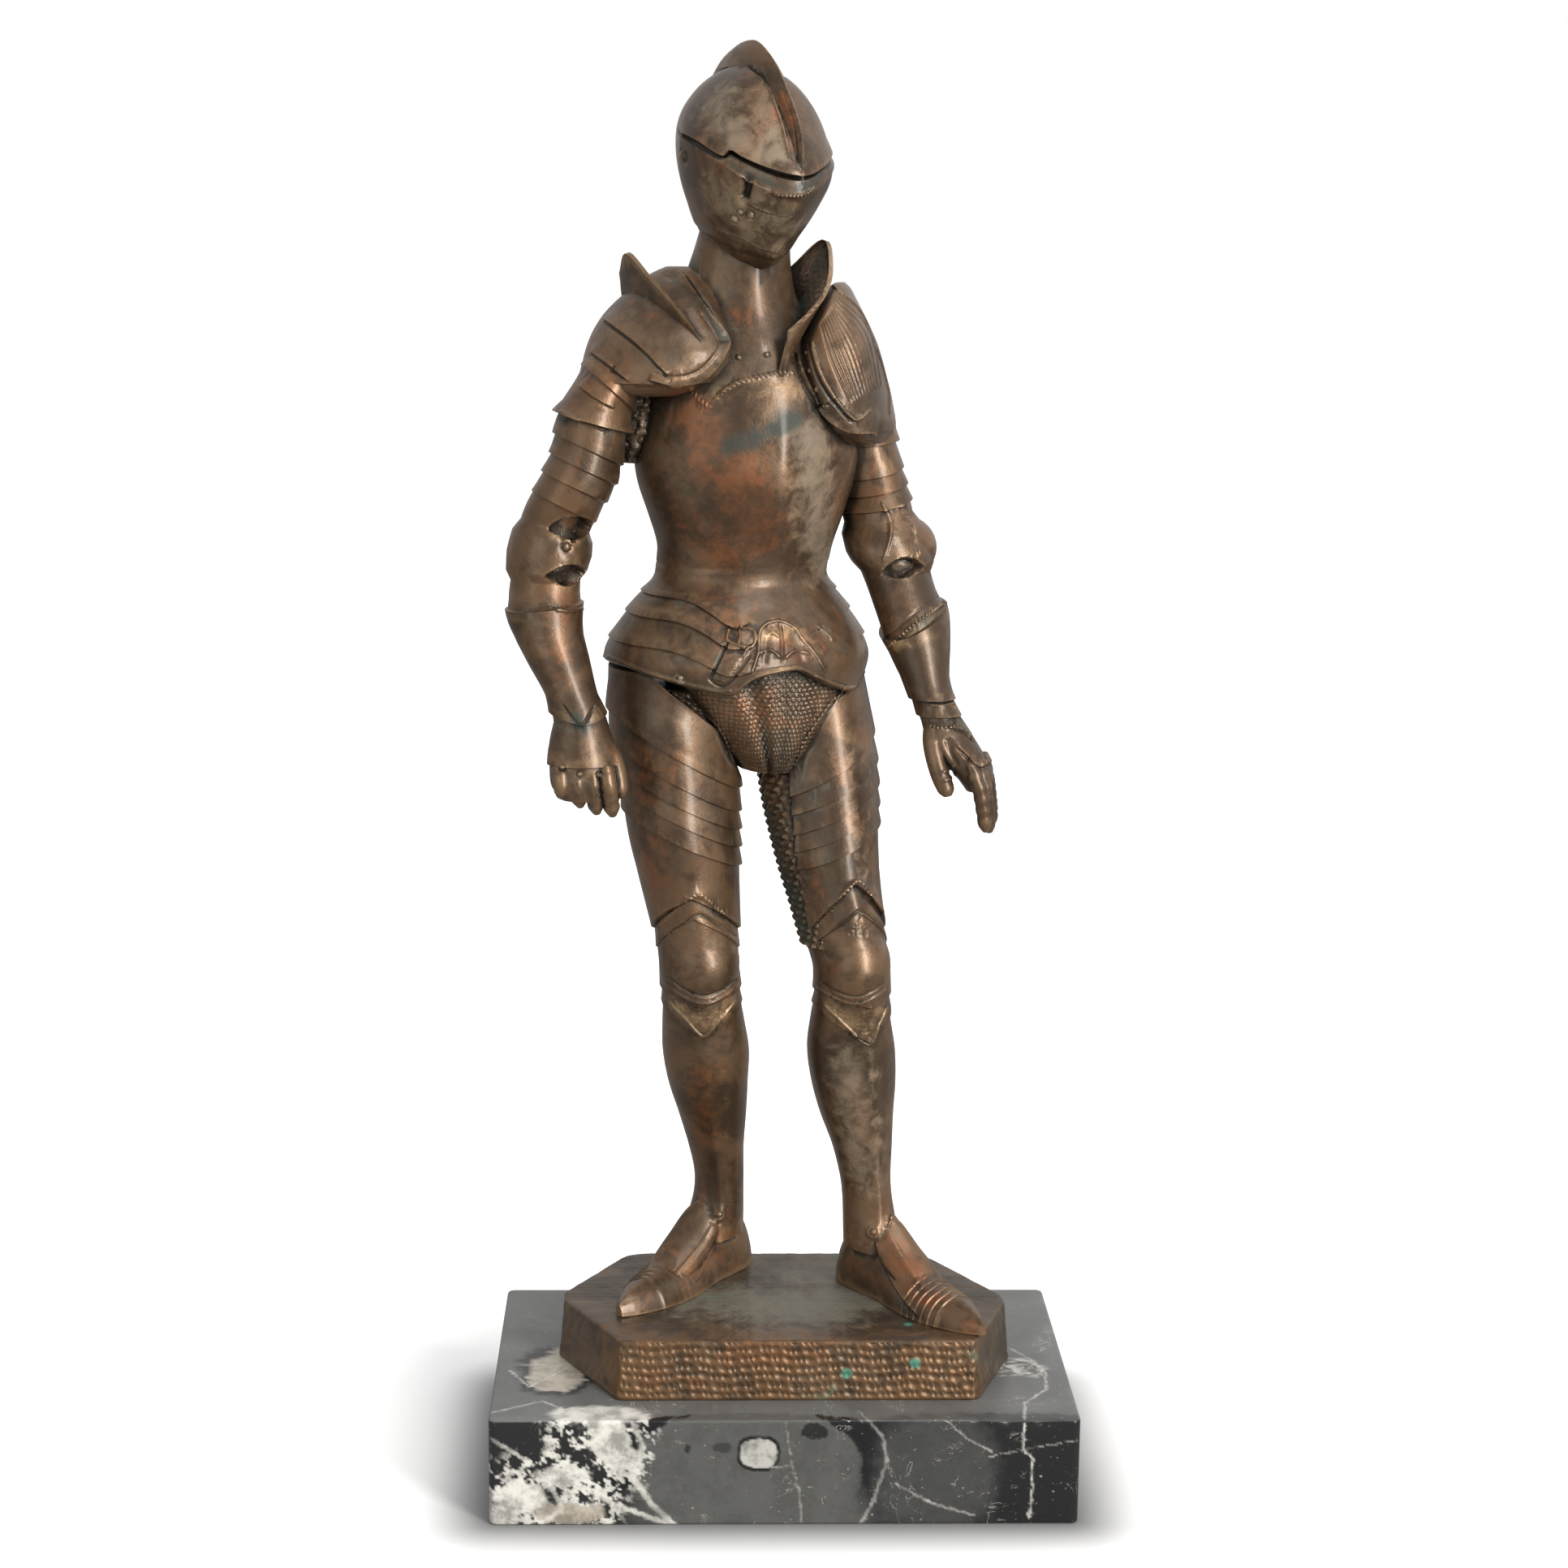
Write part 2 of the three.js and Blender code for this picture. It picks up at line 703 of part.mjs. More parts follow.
function rightHand() {
  const palm = trunkSolid(
    trunk(
      [
        [148, -53, -23, 7.4, 5],
        [152, -54.2, -23, 9.2, 6.2],
        [157, -54.6, -22.4, 9.4, 6.8],
        [163, -55.3, -21.2, 8.8, 6.6],
        [170, -55.8, -19.8, 6.8, 6],
      ],
      10,
    ),
    12,
    [{ h: 169 }, { h: 163 }, ...lap({ h: 158 }, 0.6), { h: 152 }, { h: 148.4 }],
  );
  const fingers = [
    [-61, 149, -60.4],
    [-57, 147.2, -56.2],
    [-52.8, 144.6, -50.8],
    [-48.6, 144.4, -46.2],
  ].map(([x, low, tipX]) =>
    finger([x, -26, 156.8], [mix(x, tipX, 0.5), -27.4, 152.4], [tipX, -25.4, low], 2.4),
  );
  const thumb = bar([
    [-49, -20, 163, 2.4],
    [-46.6, -22.6, 158, 2.5],
    [-45.4, -24, 153.6, 2.4],
    [-45.2, -24.4, 149, 1.7],
  ]);
  return [thumb, ...fingers].reduce((sum, piece) => sum.add(piece), palm);
}

function leftHand() {
  const palm = trunkSolid(
    trunk(
      [
        [153.6, 49.6, -14.6, 4.6, 4.4],
        [155.4, 49, -14.4, 7.4, 5.4],
        [159, 47.6, -13.6, 8.4, 5.4],
        [164, 43.6, -12, 6.8, 5.2],
        [170, 40.8, -9.6, 5.2, 5],
      ],
      30,
    ),
    12,
    [{ h: 169 }, { h: 163.6 }, { h: 158 }, { h: 155.4 }, { h: 153.8 }],
  );
  const fingers = [
    [49.4, -19, 53.8, 140.6],
    [51.8, -15.6, 56, 140.2],
    [53.2, -12.2, 56.8, 141.6],
    [53.4, -9, 56.4, 144.2],
  ].map(([x, y, tipX, low]) =>
    finger([x, y, 157], [mix(x, tipX, 0.4), y - 1.4, 150], [tipX, y - 0.4, low], 2.2),
  );
  const thumb = bar([
    [39.2, -12, 168, 2.5],
    [38.8, -15, 162.6, 2.7],
    [40.4, -17.6, 155.4, 2.6],
    [42.8, -18.7, 148.8, 1.8],
  ]);
  return [thumb, ...fingers].reduce((sum, piece) => sum.add(piece), palm);
}

// Helmet: bowl, comb, visor and bevor, in the head's own frame, whose middle is here.
const HEAD_MIDDLE = [-10.5, -3, 318];
const HEAD_BOW = 20;

function headPoint(forward, side, up) {
  const ahead = forward * Math.cos(rad(HEAD_BOW)) + up * Math.sin(rad(HEAD_BOW));
  const rise = up * Math.cos(rad(HEAD_BOW)) - forward * Math.sin(rad(HEAD_BOW));
  const c = Math.cos(rad(HEAD_TURN));
  const s = Math.sin(rad(HEAD_TURN));
  return [
    HEAD_MIDDLE[0] + ahead * s + side * c,
    HEAD_MIDDLE[1] - ahead * c + side * s,
    HEAD_MIDDLE[2] + rise,
  ];
}

// [height over the middle, half across, half to the front, half to the back]
const HELMET = curves([
  [-27.6, 6.4, 12.6, 7],
  [-25, 9.2, 16.4, 10.6],
  [-21.5, 11.4, 18.8, 14.4],
  [-17, 13.8, 20.8, 19],
  [-12, 15.9, 23, 23],
  [-6, 17.7, 25.2, 26],
  [0, 18.5, 26.4, 27.2],
  [5, 18, 23.8, 26.2],
  [10, 16, 19.4, 23.6],
  [14, 13.4, 14.8, 20.4],
  [17.5, 10, 9.6, 16],
  [20, 6.4, 5, 11],
  [21.6, 2.6, 1.6, 5],
]);

function helmetPoint(angle, up, out) {
  const [across, front, back] = HELMET(up);
  const c = Math.cos(rad(angle));
  const reach = c > 0 ? front + 1.2 * bump(angle, 0, 30) : back;
  return headPoint((reach + out) * c, (across + out) * Math.sin(rad(angle)), up);
}

// The bowl's brow and the visor's upper edge, with the sight between them: [angle, height].
const BROW = curves([
  [-180, 1],
  [-116, 1.5],
  [-96, 3.3],
  [-60, 3.7],
  [-50, 5.5],
  [-21, 4.2],
  [0, 3.8],
  [46, 5.2],
  [96, 3.3],
  [116, 1.5],
  [180, 1],
]);
const VISOR = curves([
  [-180, 0],
  [-115, 0.7],
  [-95, 2],
  [-54, 1.2],
  [-22, -1.3],
  [9, 0.2],
  [40, 2.6],
  [95, 2],
  [115, 0.7],
  [180, 0],
]);

// An edge that lies a share of the way from the brow down to the visor.
const border = (share) => (angle) => mix(BROW(signed(angle))[0], VISOR(signed(angle))[0], share);

// 1 round the front as far as the visor's pivots, and 0 round the nape.
const visored = (angle) => 1 - ease(Math.abs(signed(angle)), 102, 120);

// The comb, a thin crest over the bowl: [forward, crest, foot, half thickness].
const COMB = [
  [27.6, -2.2, -6, 0.8],
  [26, 4, -4, 1.6],
  [23, 11, 0, 2.4],
  [18, 16.2, 4, 3.4],
  [11.6, 20.4, 8, 4.2],
  [2.8, 25, 10, 4.7],
  [-6.6, 27.1, 10, 4.8],
  [-13.4, 26, 9, 4.6],
  [-18.8, 21.8, 7, 4],
  [-24, 15.8, 3, 3],
  [-26.8, 9, -2, 1.6],
];

function helmet() {
  const bowl = loft(
    [
      { h: 21 },
      { h: 18.6 },
      { h: 14.6 },
      { h: 10.6 },
      { edge: border(0), out: 0.7, part: visored },
      { edge: border(0.07), out: -2.4, part: visored },
      { edge: border(0.31), out: -2.4, part: visored },
      { edge: border(0.35), out: -0.2, part: visored },
      { edge: border(1), out: 0.8, part: visored },
      { h: -1.4, edge: border(1), out: 0.3, part: visored },
      { h: -7 },
      { h: -12 },
      { h: -17 },
      ...lap({ h: -21.4 }, 0.4),
      { h: -25 },
      { h: -27.2 },
    ].map((row) => ring(helmetPoint, HELMET_SIDES, row)),
  );
  const comb = loft(
    COMB.map(([forward, crest, foot, half]) => [
      headPoint(forward - 2.4, half, foot),
      headPoint(forward - 1, half * 0.86, mix(foot, crest, 0.55)),
      headPoint(forward, half * 0.34, mix(foot, crest, 0.93)),
      headPoint(forward, 0, crest),
      headPoint(forward, -half * 0.34, mix(foot, crest, 0.93)),
      headPoint(forward - 1, -half * 0.86, mix(foot, crest, 0.55)),
      headPoint(forward - 2.4, -half, foot),
    ]),
  );
  return bowl.add(comb);
}

const RIGHT_HEEL = [-11.8, 34.6];
const RIGHT_TOE = [-45.4, -16.7];
const LEFT_HEEL = [20.2, 20.4];
const LEFT_TOE = [54.9, -31.1];

const rightLeg = leg({
  table: RIGHT_LEG,
  turn: 0,
  laps: RIGHT_THIGH_LAPS,
  outerTilt: -6,
  kneePoints: RIGHT_KNEE_POINTS,
  kneeHalf: 11.2,
});
const leftLeg = leg({
  table: LEFT_LEG,
  turn: LEFT_KNEE_TURN,
  laps: LEFT_THIGH_LAPS,
  outerTilt: 6,
  kneePoints: LEFT_KNEE_POINTS,
  kneeHalf: 9.9,
});

const pieces = [
  leftLeg,
  foot(RIGHT_HEEL, RIGHT_TOE),
  foot(LEFT_HEEL, LEFT_TOE),
  body(),
  pauldrons(),
  neckGuards(),
  rightArm(),
  leftArm(),
  rightHand(),
  leftHand(),
  helmet(),
];
const figure = pieces.reduce((sum, piece) => sum.add(piece), rightLeg).simplify(SIMPLEST);

// The outline of the base in shares of its width and depth, with the radius of each corner.
const BASE_CORNERS = [
  [-0.36, -0.493, 2],
  [0.42, -0.493, 2],
  [0.508, -0.07, 3],
  [0.502, 0.02, 3],
  [0.34, 0.507, 13],
  [-0.35, 0.507, 9],
  [-0.492, 0.05, 3],
  [-0.492, -0.04, 3],
];

// A closed outline with rounded corners, moved out by `out`.
function roundedOutline(corners, out) {
  return corners.flatMap(([x, y, radius], i) => {
    const before = corners[(i + corners.length - 1) % corners.length];
    const after = corners[(i + 1) % corners.length];
    const toBefore = new THREE.Vector2(before[0] - x, before[1] - y).normalize();
    const toAfter = new THREE.Vector2(after[0] - x, after[1] - y).normalize();
    const half = Math.acos(clamp(toBefore.dot(toAfter), -1, 1)) / 2;
    const inward = toBefore.clone().add(toAfter).normalize();
    const middle = new THREE.Vector2(x, y).addScaledVector(inward, radius / Math.sin(half));
    const facing = Math.atan2(-inward.y, -inward.x);
    const swing = Math.PI / 2 - half;
    return [-1, -0.33, 0.33, 1].map((t) => {
      const a = facing + swing * t;
      return [middle.x + (radius + out) * Math.cos(a), middle.y + (radius + out) * Math.sin(a)];
    });
  });
}

const outlineSolid = (corners, rows) =>
  loft(rows.map(([z, out]) => roundedOutline(corners, out).map(([x, y]) => [x, y, z])));

const PLINTH_TOP = PLINTH_HEIGHT;
const BASE_TOP = PLINTH_TOP + BASE_HEIGHT;

const base = outlineSolid(
  BASE_CORNERS.map(([x, y, radius]) => [x * BASE_WIDTH, y * BASE_DEPTH, radius]),
  [
    [PLINTH_TOP, BASE_SPREAD - 0.4],
    [PLINTH_TOP + 0.8, BASE_SPREAD],
    [BASE_TOP - BASE_EDGE, 0],
    [BASE_TOP - BASE_EDGE * 0.3, -BASE_EDGE * 0.3],
    [BASE_TOP, -BASE_EDGE],
  ],
);

const halfWidth = PLINTH_WIDTH / 2;
const halfDepth = PLINTH_DEPTH / 2;
const plinth = outlineSolid(
  [
    [-halfWidth, -halfDepth, PLINTH_CORNER],
    [halfWidth, -halfDepth, PLINTH_CORNER],
    [halfWidth, halfDepth, PLINTH_CORNER],
    [-halfWidth, halfDepth, PLINTH_CORNER],
  ],
  [
    [0, -PLINTH_EDGE],
    [PLINTH_EDGE, 0],
    [PLINTH_TOP - PLINTH_EDGE, 0],
    [PLINTH_TOP - PLINTH_EDGE * 0.3, -PLINTH_EDGE * 0.3],
    [PLINTH_TOP, -PLINTH_EDGE],
  ],
);

// A named three.js mesh from a solid, scaled and then lifted.
function node(name, made, colour, roughness, metalness, scale = 1, lift = 0) {
  const mesh = made.getMesh();
  const count = mesh.vertProperties.length / mesh.numProp;
  const positions = new Float32Array(count * 3);
  for (let i = 0; i < count; i += 1) {
    for (let k = 0; k < 3; k += 1) {
      const value = mesh.vertProperties[i * mesh.numProp + k] * scale;
      positions[i * 3 + k] = k === 2 ? value + lift : value;
    }
  }
  const geometry = new THREE.BufferGeometry();
  geometry.setAttribute("position", new THREE.BufferAttribute(positions, 3));
  geometry.setIndex(new THREE.BufferAttribute(new Uint32Array(mesh.triVerts), 1));
  geometry.computeVertexNormals();
  const material = new THREE.MeshStandardMaterial({ color: colour, roughness, metalness });
  const named = new THREE.Mesh(geometry, material);
  named.name = name;
  return named;
}

const group = new THREE.Group();
group.name = "knight_statue";
group.add(
  node(
    "bronze_knight",
    figure,
    new THREE.Color("#6f5540"),
    0.42,
    0.85,
    FIGURE_HEIGHT / POSE_HEIGHT,
    BASE_TOP,
  ),
);
group.add(node("bronze_base", base, new THREE.Color("#6a4a35"), 0.55, 0.8));
group.add(node("marble_plinth", plinth, new THREE.Color("#25262a"), 0.3, 0));

export default group;
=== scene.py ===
"""Visual model of a bronze knight in plate armour on a bronze base and a marble plinth.

Shapes are worked out in millimetres in the row frame and scaled to metres at the end. "Right" and
"left" are the knight's own. Figure heights are above the base's top. Marks are in the pixels of the
main view, a square of 1932 pixels, and are cast onto the surface that they lie on.
"""

import logging
import math
from dataclasses import dataclass, field
from enum import Enum
from typing import Callable, Optional, Sequence

import bmesh
import bpy
import numpy as np
from mathutils import Matrix, Vector
from mathutils.bvhtree import BVHTree
from mathutils.kdtree import KDTree

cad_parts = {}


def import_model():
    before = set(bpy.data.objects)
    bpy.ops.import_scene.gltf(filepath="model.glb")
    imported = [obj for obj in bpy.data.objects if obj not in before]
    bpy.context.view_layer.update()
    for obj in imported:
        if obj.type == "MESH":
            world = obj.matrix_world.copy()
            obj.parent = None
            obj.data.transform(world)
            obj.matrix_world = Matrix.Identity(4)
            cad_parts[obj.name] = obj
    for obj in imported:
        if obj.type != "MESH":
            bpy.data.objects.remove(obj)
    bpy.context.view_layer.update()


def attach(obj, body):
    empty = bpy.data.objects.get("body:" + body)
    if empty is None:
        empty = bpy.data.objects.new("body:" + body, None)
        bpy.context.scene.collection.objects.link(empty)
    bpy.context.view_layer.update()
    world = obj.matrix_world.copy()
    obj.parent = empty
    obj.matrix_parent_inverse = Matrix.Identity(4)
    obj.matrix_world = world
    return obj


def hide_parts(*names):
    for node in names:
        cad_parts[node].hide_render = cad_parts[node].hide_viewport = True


LOG = logging.getLogger("knight")
MM = 0.001
PLINTH_TOP = 30.0
BASE_TOP = 47.0
MOST_TRIANGLES = 190_000
SHARP_DEGREES = 46.0
MERGE = 0.004
CURVE_STEPS = 24
MARK_SPACING = 0.8
LONGEST_GAP = 2.4
LINE_SPACING = 0.22

Array = np.ndarray
Form = bmesh.types.BMesh
Object = bpy.types.Object
Table = Sequence[Sequence[float]]
Triple = tuple[float, float, float]


# Small mathematics


def unit(vector: Array) -> Array:
    """Scales vectors to a length of 1 along their last axis."""
    length = np.linalg.norm(vector, axis=-1, keepdims=True)
    return vector / np.maximum(length, 1e-12)


def lengths(vectors: Array) -> Array:
    """The length of each row."""
    return np.linalg.norm(vectors, axis=1)


def dots(first: Array, second: Array) -> Array:
    """The dot product of each pair of rows."""
    return np.einsum("ij,ij->i", first, second)


def add_object(name: str, data: bpy.types.ID) -> Object:
    """Adds an object to the scene.

    Args:
        name: The object's name.
        data: Its mesh, light or camera.

    Returns:
        The object.
    """
    made = bpy.data.objects.new(name, data)
    bpy.context.scene.collection.objects.link(made)
    return made


def wrapped(angle: Array) -> Array:
    """Angles brought between -180 and 180 degrees."""
    return (angle + 180.0) % 360.0 - 180.0


def smooth(value: Array, low: float, high: float) -> Array:
    """Eases from 0 at `low` to 1 at `high`."""
    t = np.clip((value - low) / (high - low), 0.0, 1.0)
    return t * t * (3.0 - 2.0 * t)


def bump(angle: Array, middle: float, width: float) -> Array:
    """A bump of 1 at `middle` degrees that fades to 0 `width` degrees away on either side."""
    away = np.abs((angle - middle + 540.0) % 360.0 - 180.0)
    return smooth(1.0 - away / width, 0.0, 1.0)


def gable(angle: Array) -> Array:
    """A gable of 1 at the front that falls evenly to 0 at 80 degrees."""
    turned = angle % 360.0
    return np.clip(1.0 - np.minimum(turned, 360.0 - turned) / 80.0, 0.0, 1.0)


def ripple(x: Array, y: Array, z: Array, seed: float) -> Array:
    """A smooth uneven field from -1 to 1, the same in each run, with a wave of about 6 units.

    Args:
        x: The first coordinate.
        y: The second.
        z: The third.
        seed: Sets which field it is.

    Returns:
        The value at each point.
    """
    a = np.sin(x * 1.03 + seed * 1.7 + 1.3 * np.sin(y * 0.61 + seed))
    b = np.sin(y * 0.93 + seed * 2.9 + 1.1 * np.sin(z * 0.73 - seed))
    c = np.sin(z * 1.11 + seed * 0.7 + 1.2 * np.sin(x * 0.57 + 2.0 * seed))
    return (a + b + c) / 3.0


def smooth_path(points: Table, spacing: float) -> Array:
    """A smooth line through points.

    Args:
        points: The points, of two or three numbers each.
        spacing: The distance between the points that come back.

    Returns:
        An array of evenly spaced points on the line.
    """
    p = np.array(points, float)
    padded = np.vstack([2 * p[0] - p[1], p, 2 * p[-1] - p[-2]])
    made = []
    for i in range(1, len(padded) - 2):
        a, b, c, d = padded[i - 1 : i + 3]
        for t in np.linspace(0.0, 1.0, CURVE_STEPS, endpoint=False):
            made.append(
                0.5 * (2 * b + (c - a) * t + (2 * a - 5 * b + 4 * c - d) * t**2 + (3 * b - a - 3 * c + d) * t**3)
            )
    made.append(padded[-2])
    return even_path(np.array(made), spacing)


def run_length(line: Array) -> Array:
    """The distance along a line at each of its points."""
    return np.concatenate([[0.0], np.cumsum(lengths(np.diff(line, axis=0)))])


def even_path(line: Array, spacing: float) -> Array:
    """Spaces the points of a line evenly.

    Args:
        line: The points.
        spacing: The greatest distance between the points that come back.

    Returns:
        The new points, with the ends where they were.
    """
    along = run_length(line)
    count = max(2, int(math.ceil(along[-1] / spacing)) + 1)
    where = np.linspace(0.0, along[-1], count)
    return np.stack([np.interp(where, along, line[:, k]) for k in range(line.shape[1])], axis=1)


@dataclass(frozen=True)
class Curves:
    """Smooth curves over a position, through a table of rows (position, value, value, ...)."""

    table: Table

    def at(self, where: Array) -> Array:
        """Reads the curves.

        Args:
            where: The positions.

        Returns:
            The values at each position, in a last axis of their own.
        """
        rows = np.array(self.table, float)
        last = len(rows) - 1
        where = np.asarray(where, float)
        i = np.searchsorted(rows[1:last, 0], where, side="left")
        a, b = rows[i], rows[i + 1]
        before, after = rows[np.maximum(i - 1, 0)], rows[np.minimum(i + 2, last)]
        span = (b[..., 0] - a[..., 0])[..., None]
        t = np.clip((where - a[..., 0])[..., None] / span, 0.0, 1.0)
        slope_a = span * (b - before)[..., 1:] / (b - before)[..., :1]
        slope_b = span * (after - a)[..., 1:] / (after - a)[..., :1]
        rise = (b - a)[..., 1:]
        bend = 3 * rise - 2 * slope_a - slope_b + t * (slope_a + slope_b - 2 * rise)
        return a[..., 1:] + t * (slope_a + t * bend)


# The main view


@dataclass(frozen=True)
class Eye:
    """The camera of the main view, in millimetres and in a square of 1932 pixels."""

    place: Triple = (-27.98452953, -863.42149964, 372.35482176)
    right: Triple = (0.99950995, -0.02952991, 0.01038471)
    up: Triple = (-0.00422578, 0.20142505, 0.97949482)
    forward: Triple = (0.03101613, 0.9790587, -0.20120155)
    focal: float = 3960.543994825617
    frame: float = 1932.0
    sensor: float = 36.0

    def ray(self, pixel: Sequence[float]) -> Array:
        """The direction in which a pixel looks.

        Args:
            pixel: Its place across and down.

        Returns:
            The direction, with a length of 1.
        """
        half = self.frame / 2.0
        across, rise = (pixel[0] - half) / self.focal, (half - pixel[1]) / self.focal
        return unit(np.array(self.forward) + across * np.array(self.right) + rise * np.array(self.up))

    def pixels(self, points: Array) -> Array:
        """Where points appear in the view.

        Args:
            points: The points, in rows.

        Returns:
            Their places across and down, in rows.
        """
        away = points - np.array(self.place)
        depth = away @ np.array(self.forward)
        half = self.frame / 2.0
        across = half + self.focal * (away @ np.array(self.right)) / depth
        down = half - self.focal * (away @ np.array(self.up)) / depth
        return np.stack([across, down], axis=-1)

    def facing(self, points: Array, normals: Array) -> Array:
        """How squarely surfaces face the camera: 1 when they face it, and below 0 when they face away."""
        return dots(unit(np.array(self.place) - points), normals)

    def make_camera(self) -> Object:
        """Makes this camera the scene's own.

        Returns:
            The camera.
        """
        lens = bpy.data.cameras.new("view")
        lens.sensor_width = self.sensor
        lens.lens = self.focal / self.frame * self.sensor
        lens.clip_start, lens.clip_end = 0.01, 50.0
        camera = add_object("view", lens)
        axes = Matrix((self.right, self.up, tuple(-v for v in self.forward))).transposed()
        camera.matrix_world = Matrix.Translation(Vector(self.place) * MM) @ axes.to_4x4()
        bpy.context.scene.camera = camera
        return camera


EYE = Eye()


# Plates and limbs as lofts


@dataclass(frozen=True)
class Row:
    """One row of a loft, at a height, that may slant, peak at the front and stand off the form."""

    h: float
    tilt: float = 0.0
    rise: float = 0.0
    peak: float = 0.0
    out: float = 0.0
    edge: Optional[Callable[[Array], Array]] = None
    part: Optional[Callable[[Array], Array]] = None

    def meets(self, side: Callable[[Array], Array]) -> float:
        """The angle at which the row meets a plate's side edge, which is given over the height.

        Args:
            side: The side edge's angle at each height.

        Returns:
            The angle, in degrees.
        """
        angle = float(side(np.array(self.h)))
        for _ in range(14):
            angle += 0.5 * (float(side(self.heights(np.array(angle)))) - angle)
        return angle

    def outs(self, angle: Array) -> Array:
        """How far the row stands off the form at each angle."""
        return self.out * (self.part(angle) if self.part else np.ones(angle.shape))

    def heights(self, angle: Array) -> Array:
        """Works out the row's height at each angle.

        Args:
            angle: The angles, in degrees.

        Returns:
            The heights.
        """
        turn = np.radians(angle)
        level = self.h + self.tilt * np.sin(turn) + self.rise * np.cos(turn) + self.peak * gable(angle)
        return level + (self.edge(angle) if self.edge else 0.0)


def level(*heights: float) -> list[Row]:
    """Level rows at heights."""
    return [Row(h) for h in heights]


def lap(h: float, step: float = 0.8, **more: float) -> list[Row]:
    """The edge of a plate that laps over the one below it."""
    return [Row(h + 0.25, out=step * 0.96, **more), Row(h, out=step, **more), Row(h - 0.35, out=-0.05, **more)]


def lap_up(h: float, step: float = 0.8, **more: float) -> list[Row]:
    """The edge of a plate that laps over the one above it."""
    return [Row(h + 0.35, out=-0.05, **more), Row(h, out=step, **more), Row(h - 0.25, out=step * 0.96, **more)]


Shape = Callable[[Array, Array, Array], Array]
Relief = Callable[[Array, Array], Array]


@dataclass(frozen=True)
class Trunk:
    """A limb or body over the height, from rows (height, x, y, across, forward, backward)."""

    table: Table
    turn: float
    crest: float = 0.0
    crest_width: float = 40.0

    def at(self, angle: Array, height: Array, out: Array) -> Array:
        """Works out points on the form or off it.

        Args:
            angle: The angles, in degrees from the front.
            height: The heights.
            out: The distances off the form.

        Returns:
            The points.
        """
        values = Curves(self.table).at(height)
        x, y, across, ahead = (values[..., k] for k in range(4))
        back = values[..., 4] if values.shape[-1] > 4 else ahead
        c, s = np.cos(np.radians(angle)), np.sin(np.radians(angle))
        reach = np.where(c > 0, ahead, back) + out + self.crest * bump(angle, 0.0, self.crest_width)
        f, w = reach * c, (across + out) * s
        turn = math.radians(self.turn)
        front, side = (math.sin(turn), -math.cos(turn)), (math.cos(turn), math.sin(turn))
        return np.stack([x + f * front[0] + w * side[0], y + f * front[1] + w * side[1], height], axis=-1)


def form_from_rows(rows: Array, closed: bool = True) -> Form:
    """A closed form through rows of points.

    Args:
        rows: An array of rows, points and coordinates.
        closed: Whether each row is a ring.

    Returns:
        The form, with its ends closed and its faces outwards.
    """
    count, sides = rows.shape[:2]
    made = bmesh.new()
    bmesh.ops.create_grid(made, x_segments=sides if closed else sides - 1, y_segments=count - 1, size=1.0)
    made.verts.ensure_lookup_table()
    wide = sides + 1 if closed else sides
    for index, vertex in enumerate(made.verts):
        vertex.co = rows[index // wide, (index % wide) % sides]
    bmesh.ops.remove_doubles(made, verts=made.verts, dist=1e-4)
    rims = [edge for edge in made.edges if edge.is_boundary]
    caps = bmesh.ops.holes_fill(made, edges=rims, sides=0)["faces"]
    bmesh.ops.poke(made, faces=caps)
    bmesh.ops.recalc_face_normals(made, faces=made.faces)
    bmesh.ops.triangulate(made, faces=made.faces)
    return made


def loft(
    shape: Shape,
    rows: Sequence[Row],
    sides: int,
    step: float = 1.8,
    relief: Optional[Relief] = None,
    crowd: float = 0.0,
) -> Form:
    """A form through rows, with rows added so that they lie `step` apart or closer.

    Args:
        shape: Gives points from angles, heights and distances off the form.
        rows: The rows from one end to the other.
        sides: The number of points in each row.
        step: The largest distance between rows.
        relief: Gives a further distance off the form from angles and heights.
        crowd: How much closer the points lie at the front, from 0 to 1.

    Returns:
        The closed form.
    """
    turn = np.arange(sides) * 2 * math.pi / sides
    angle = np.degrees(turn - crowd * np.sin(turn))
    heights = np.array([row.heights(angle) for row in rows])
    outs = np.array([row.outs(angle) for row in rows])
    fine_heights, fine_outs = [heights[0]], [outs[0]]
    for i in range(len(rows) - 1):
        gap = np.abs(heights[i + 1] - heights[i]).max()
        parts = max(1, int(math.ceil(gap / step)))
        for k in range(1, parts + 1):
            t = k / parts
            fine_heights.append(heights[i] * (1 - t) + heights[i + 1] * t)
            fine_outs.append(outs[i] * (1 - t) + outs[i + 1] * t)
    height, out = np.array(fine_heights), np.array(fine_outs)
    angles = np.broadcast_to(angle, height.shape)
    if relief:
        out = out + relief(angles, height)
    return form_from_rows(shape(angles, height, out))


def lump(middle: Sequence[float], radii: Sequence[float], sides: int = 40) -> Form:
    """Makes a rounded lump.

    Args:
        middle: Its middle.
        radii: Its half sizes.
        sides: The number of faces round it.

    Returns:
        The lump.
    """
    rise = np.radians(np.linspace(-90.0, 90.0, sides // 2 + 1))[:, None]
    turn = np.arange(sides) * 2 * math.pi / sides
    ball = np.stack([np.cos(rise) * np.cos(turn), np.cos(rise) * np.sin(turn), np.sin(rise) + 0.0 * turn], axis=-1)
    return form_from_rows(ball * np.array(radii) + np.array(middle))


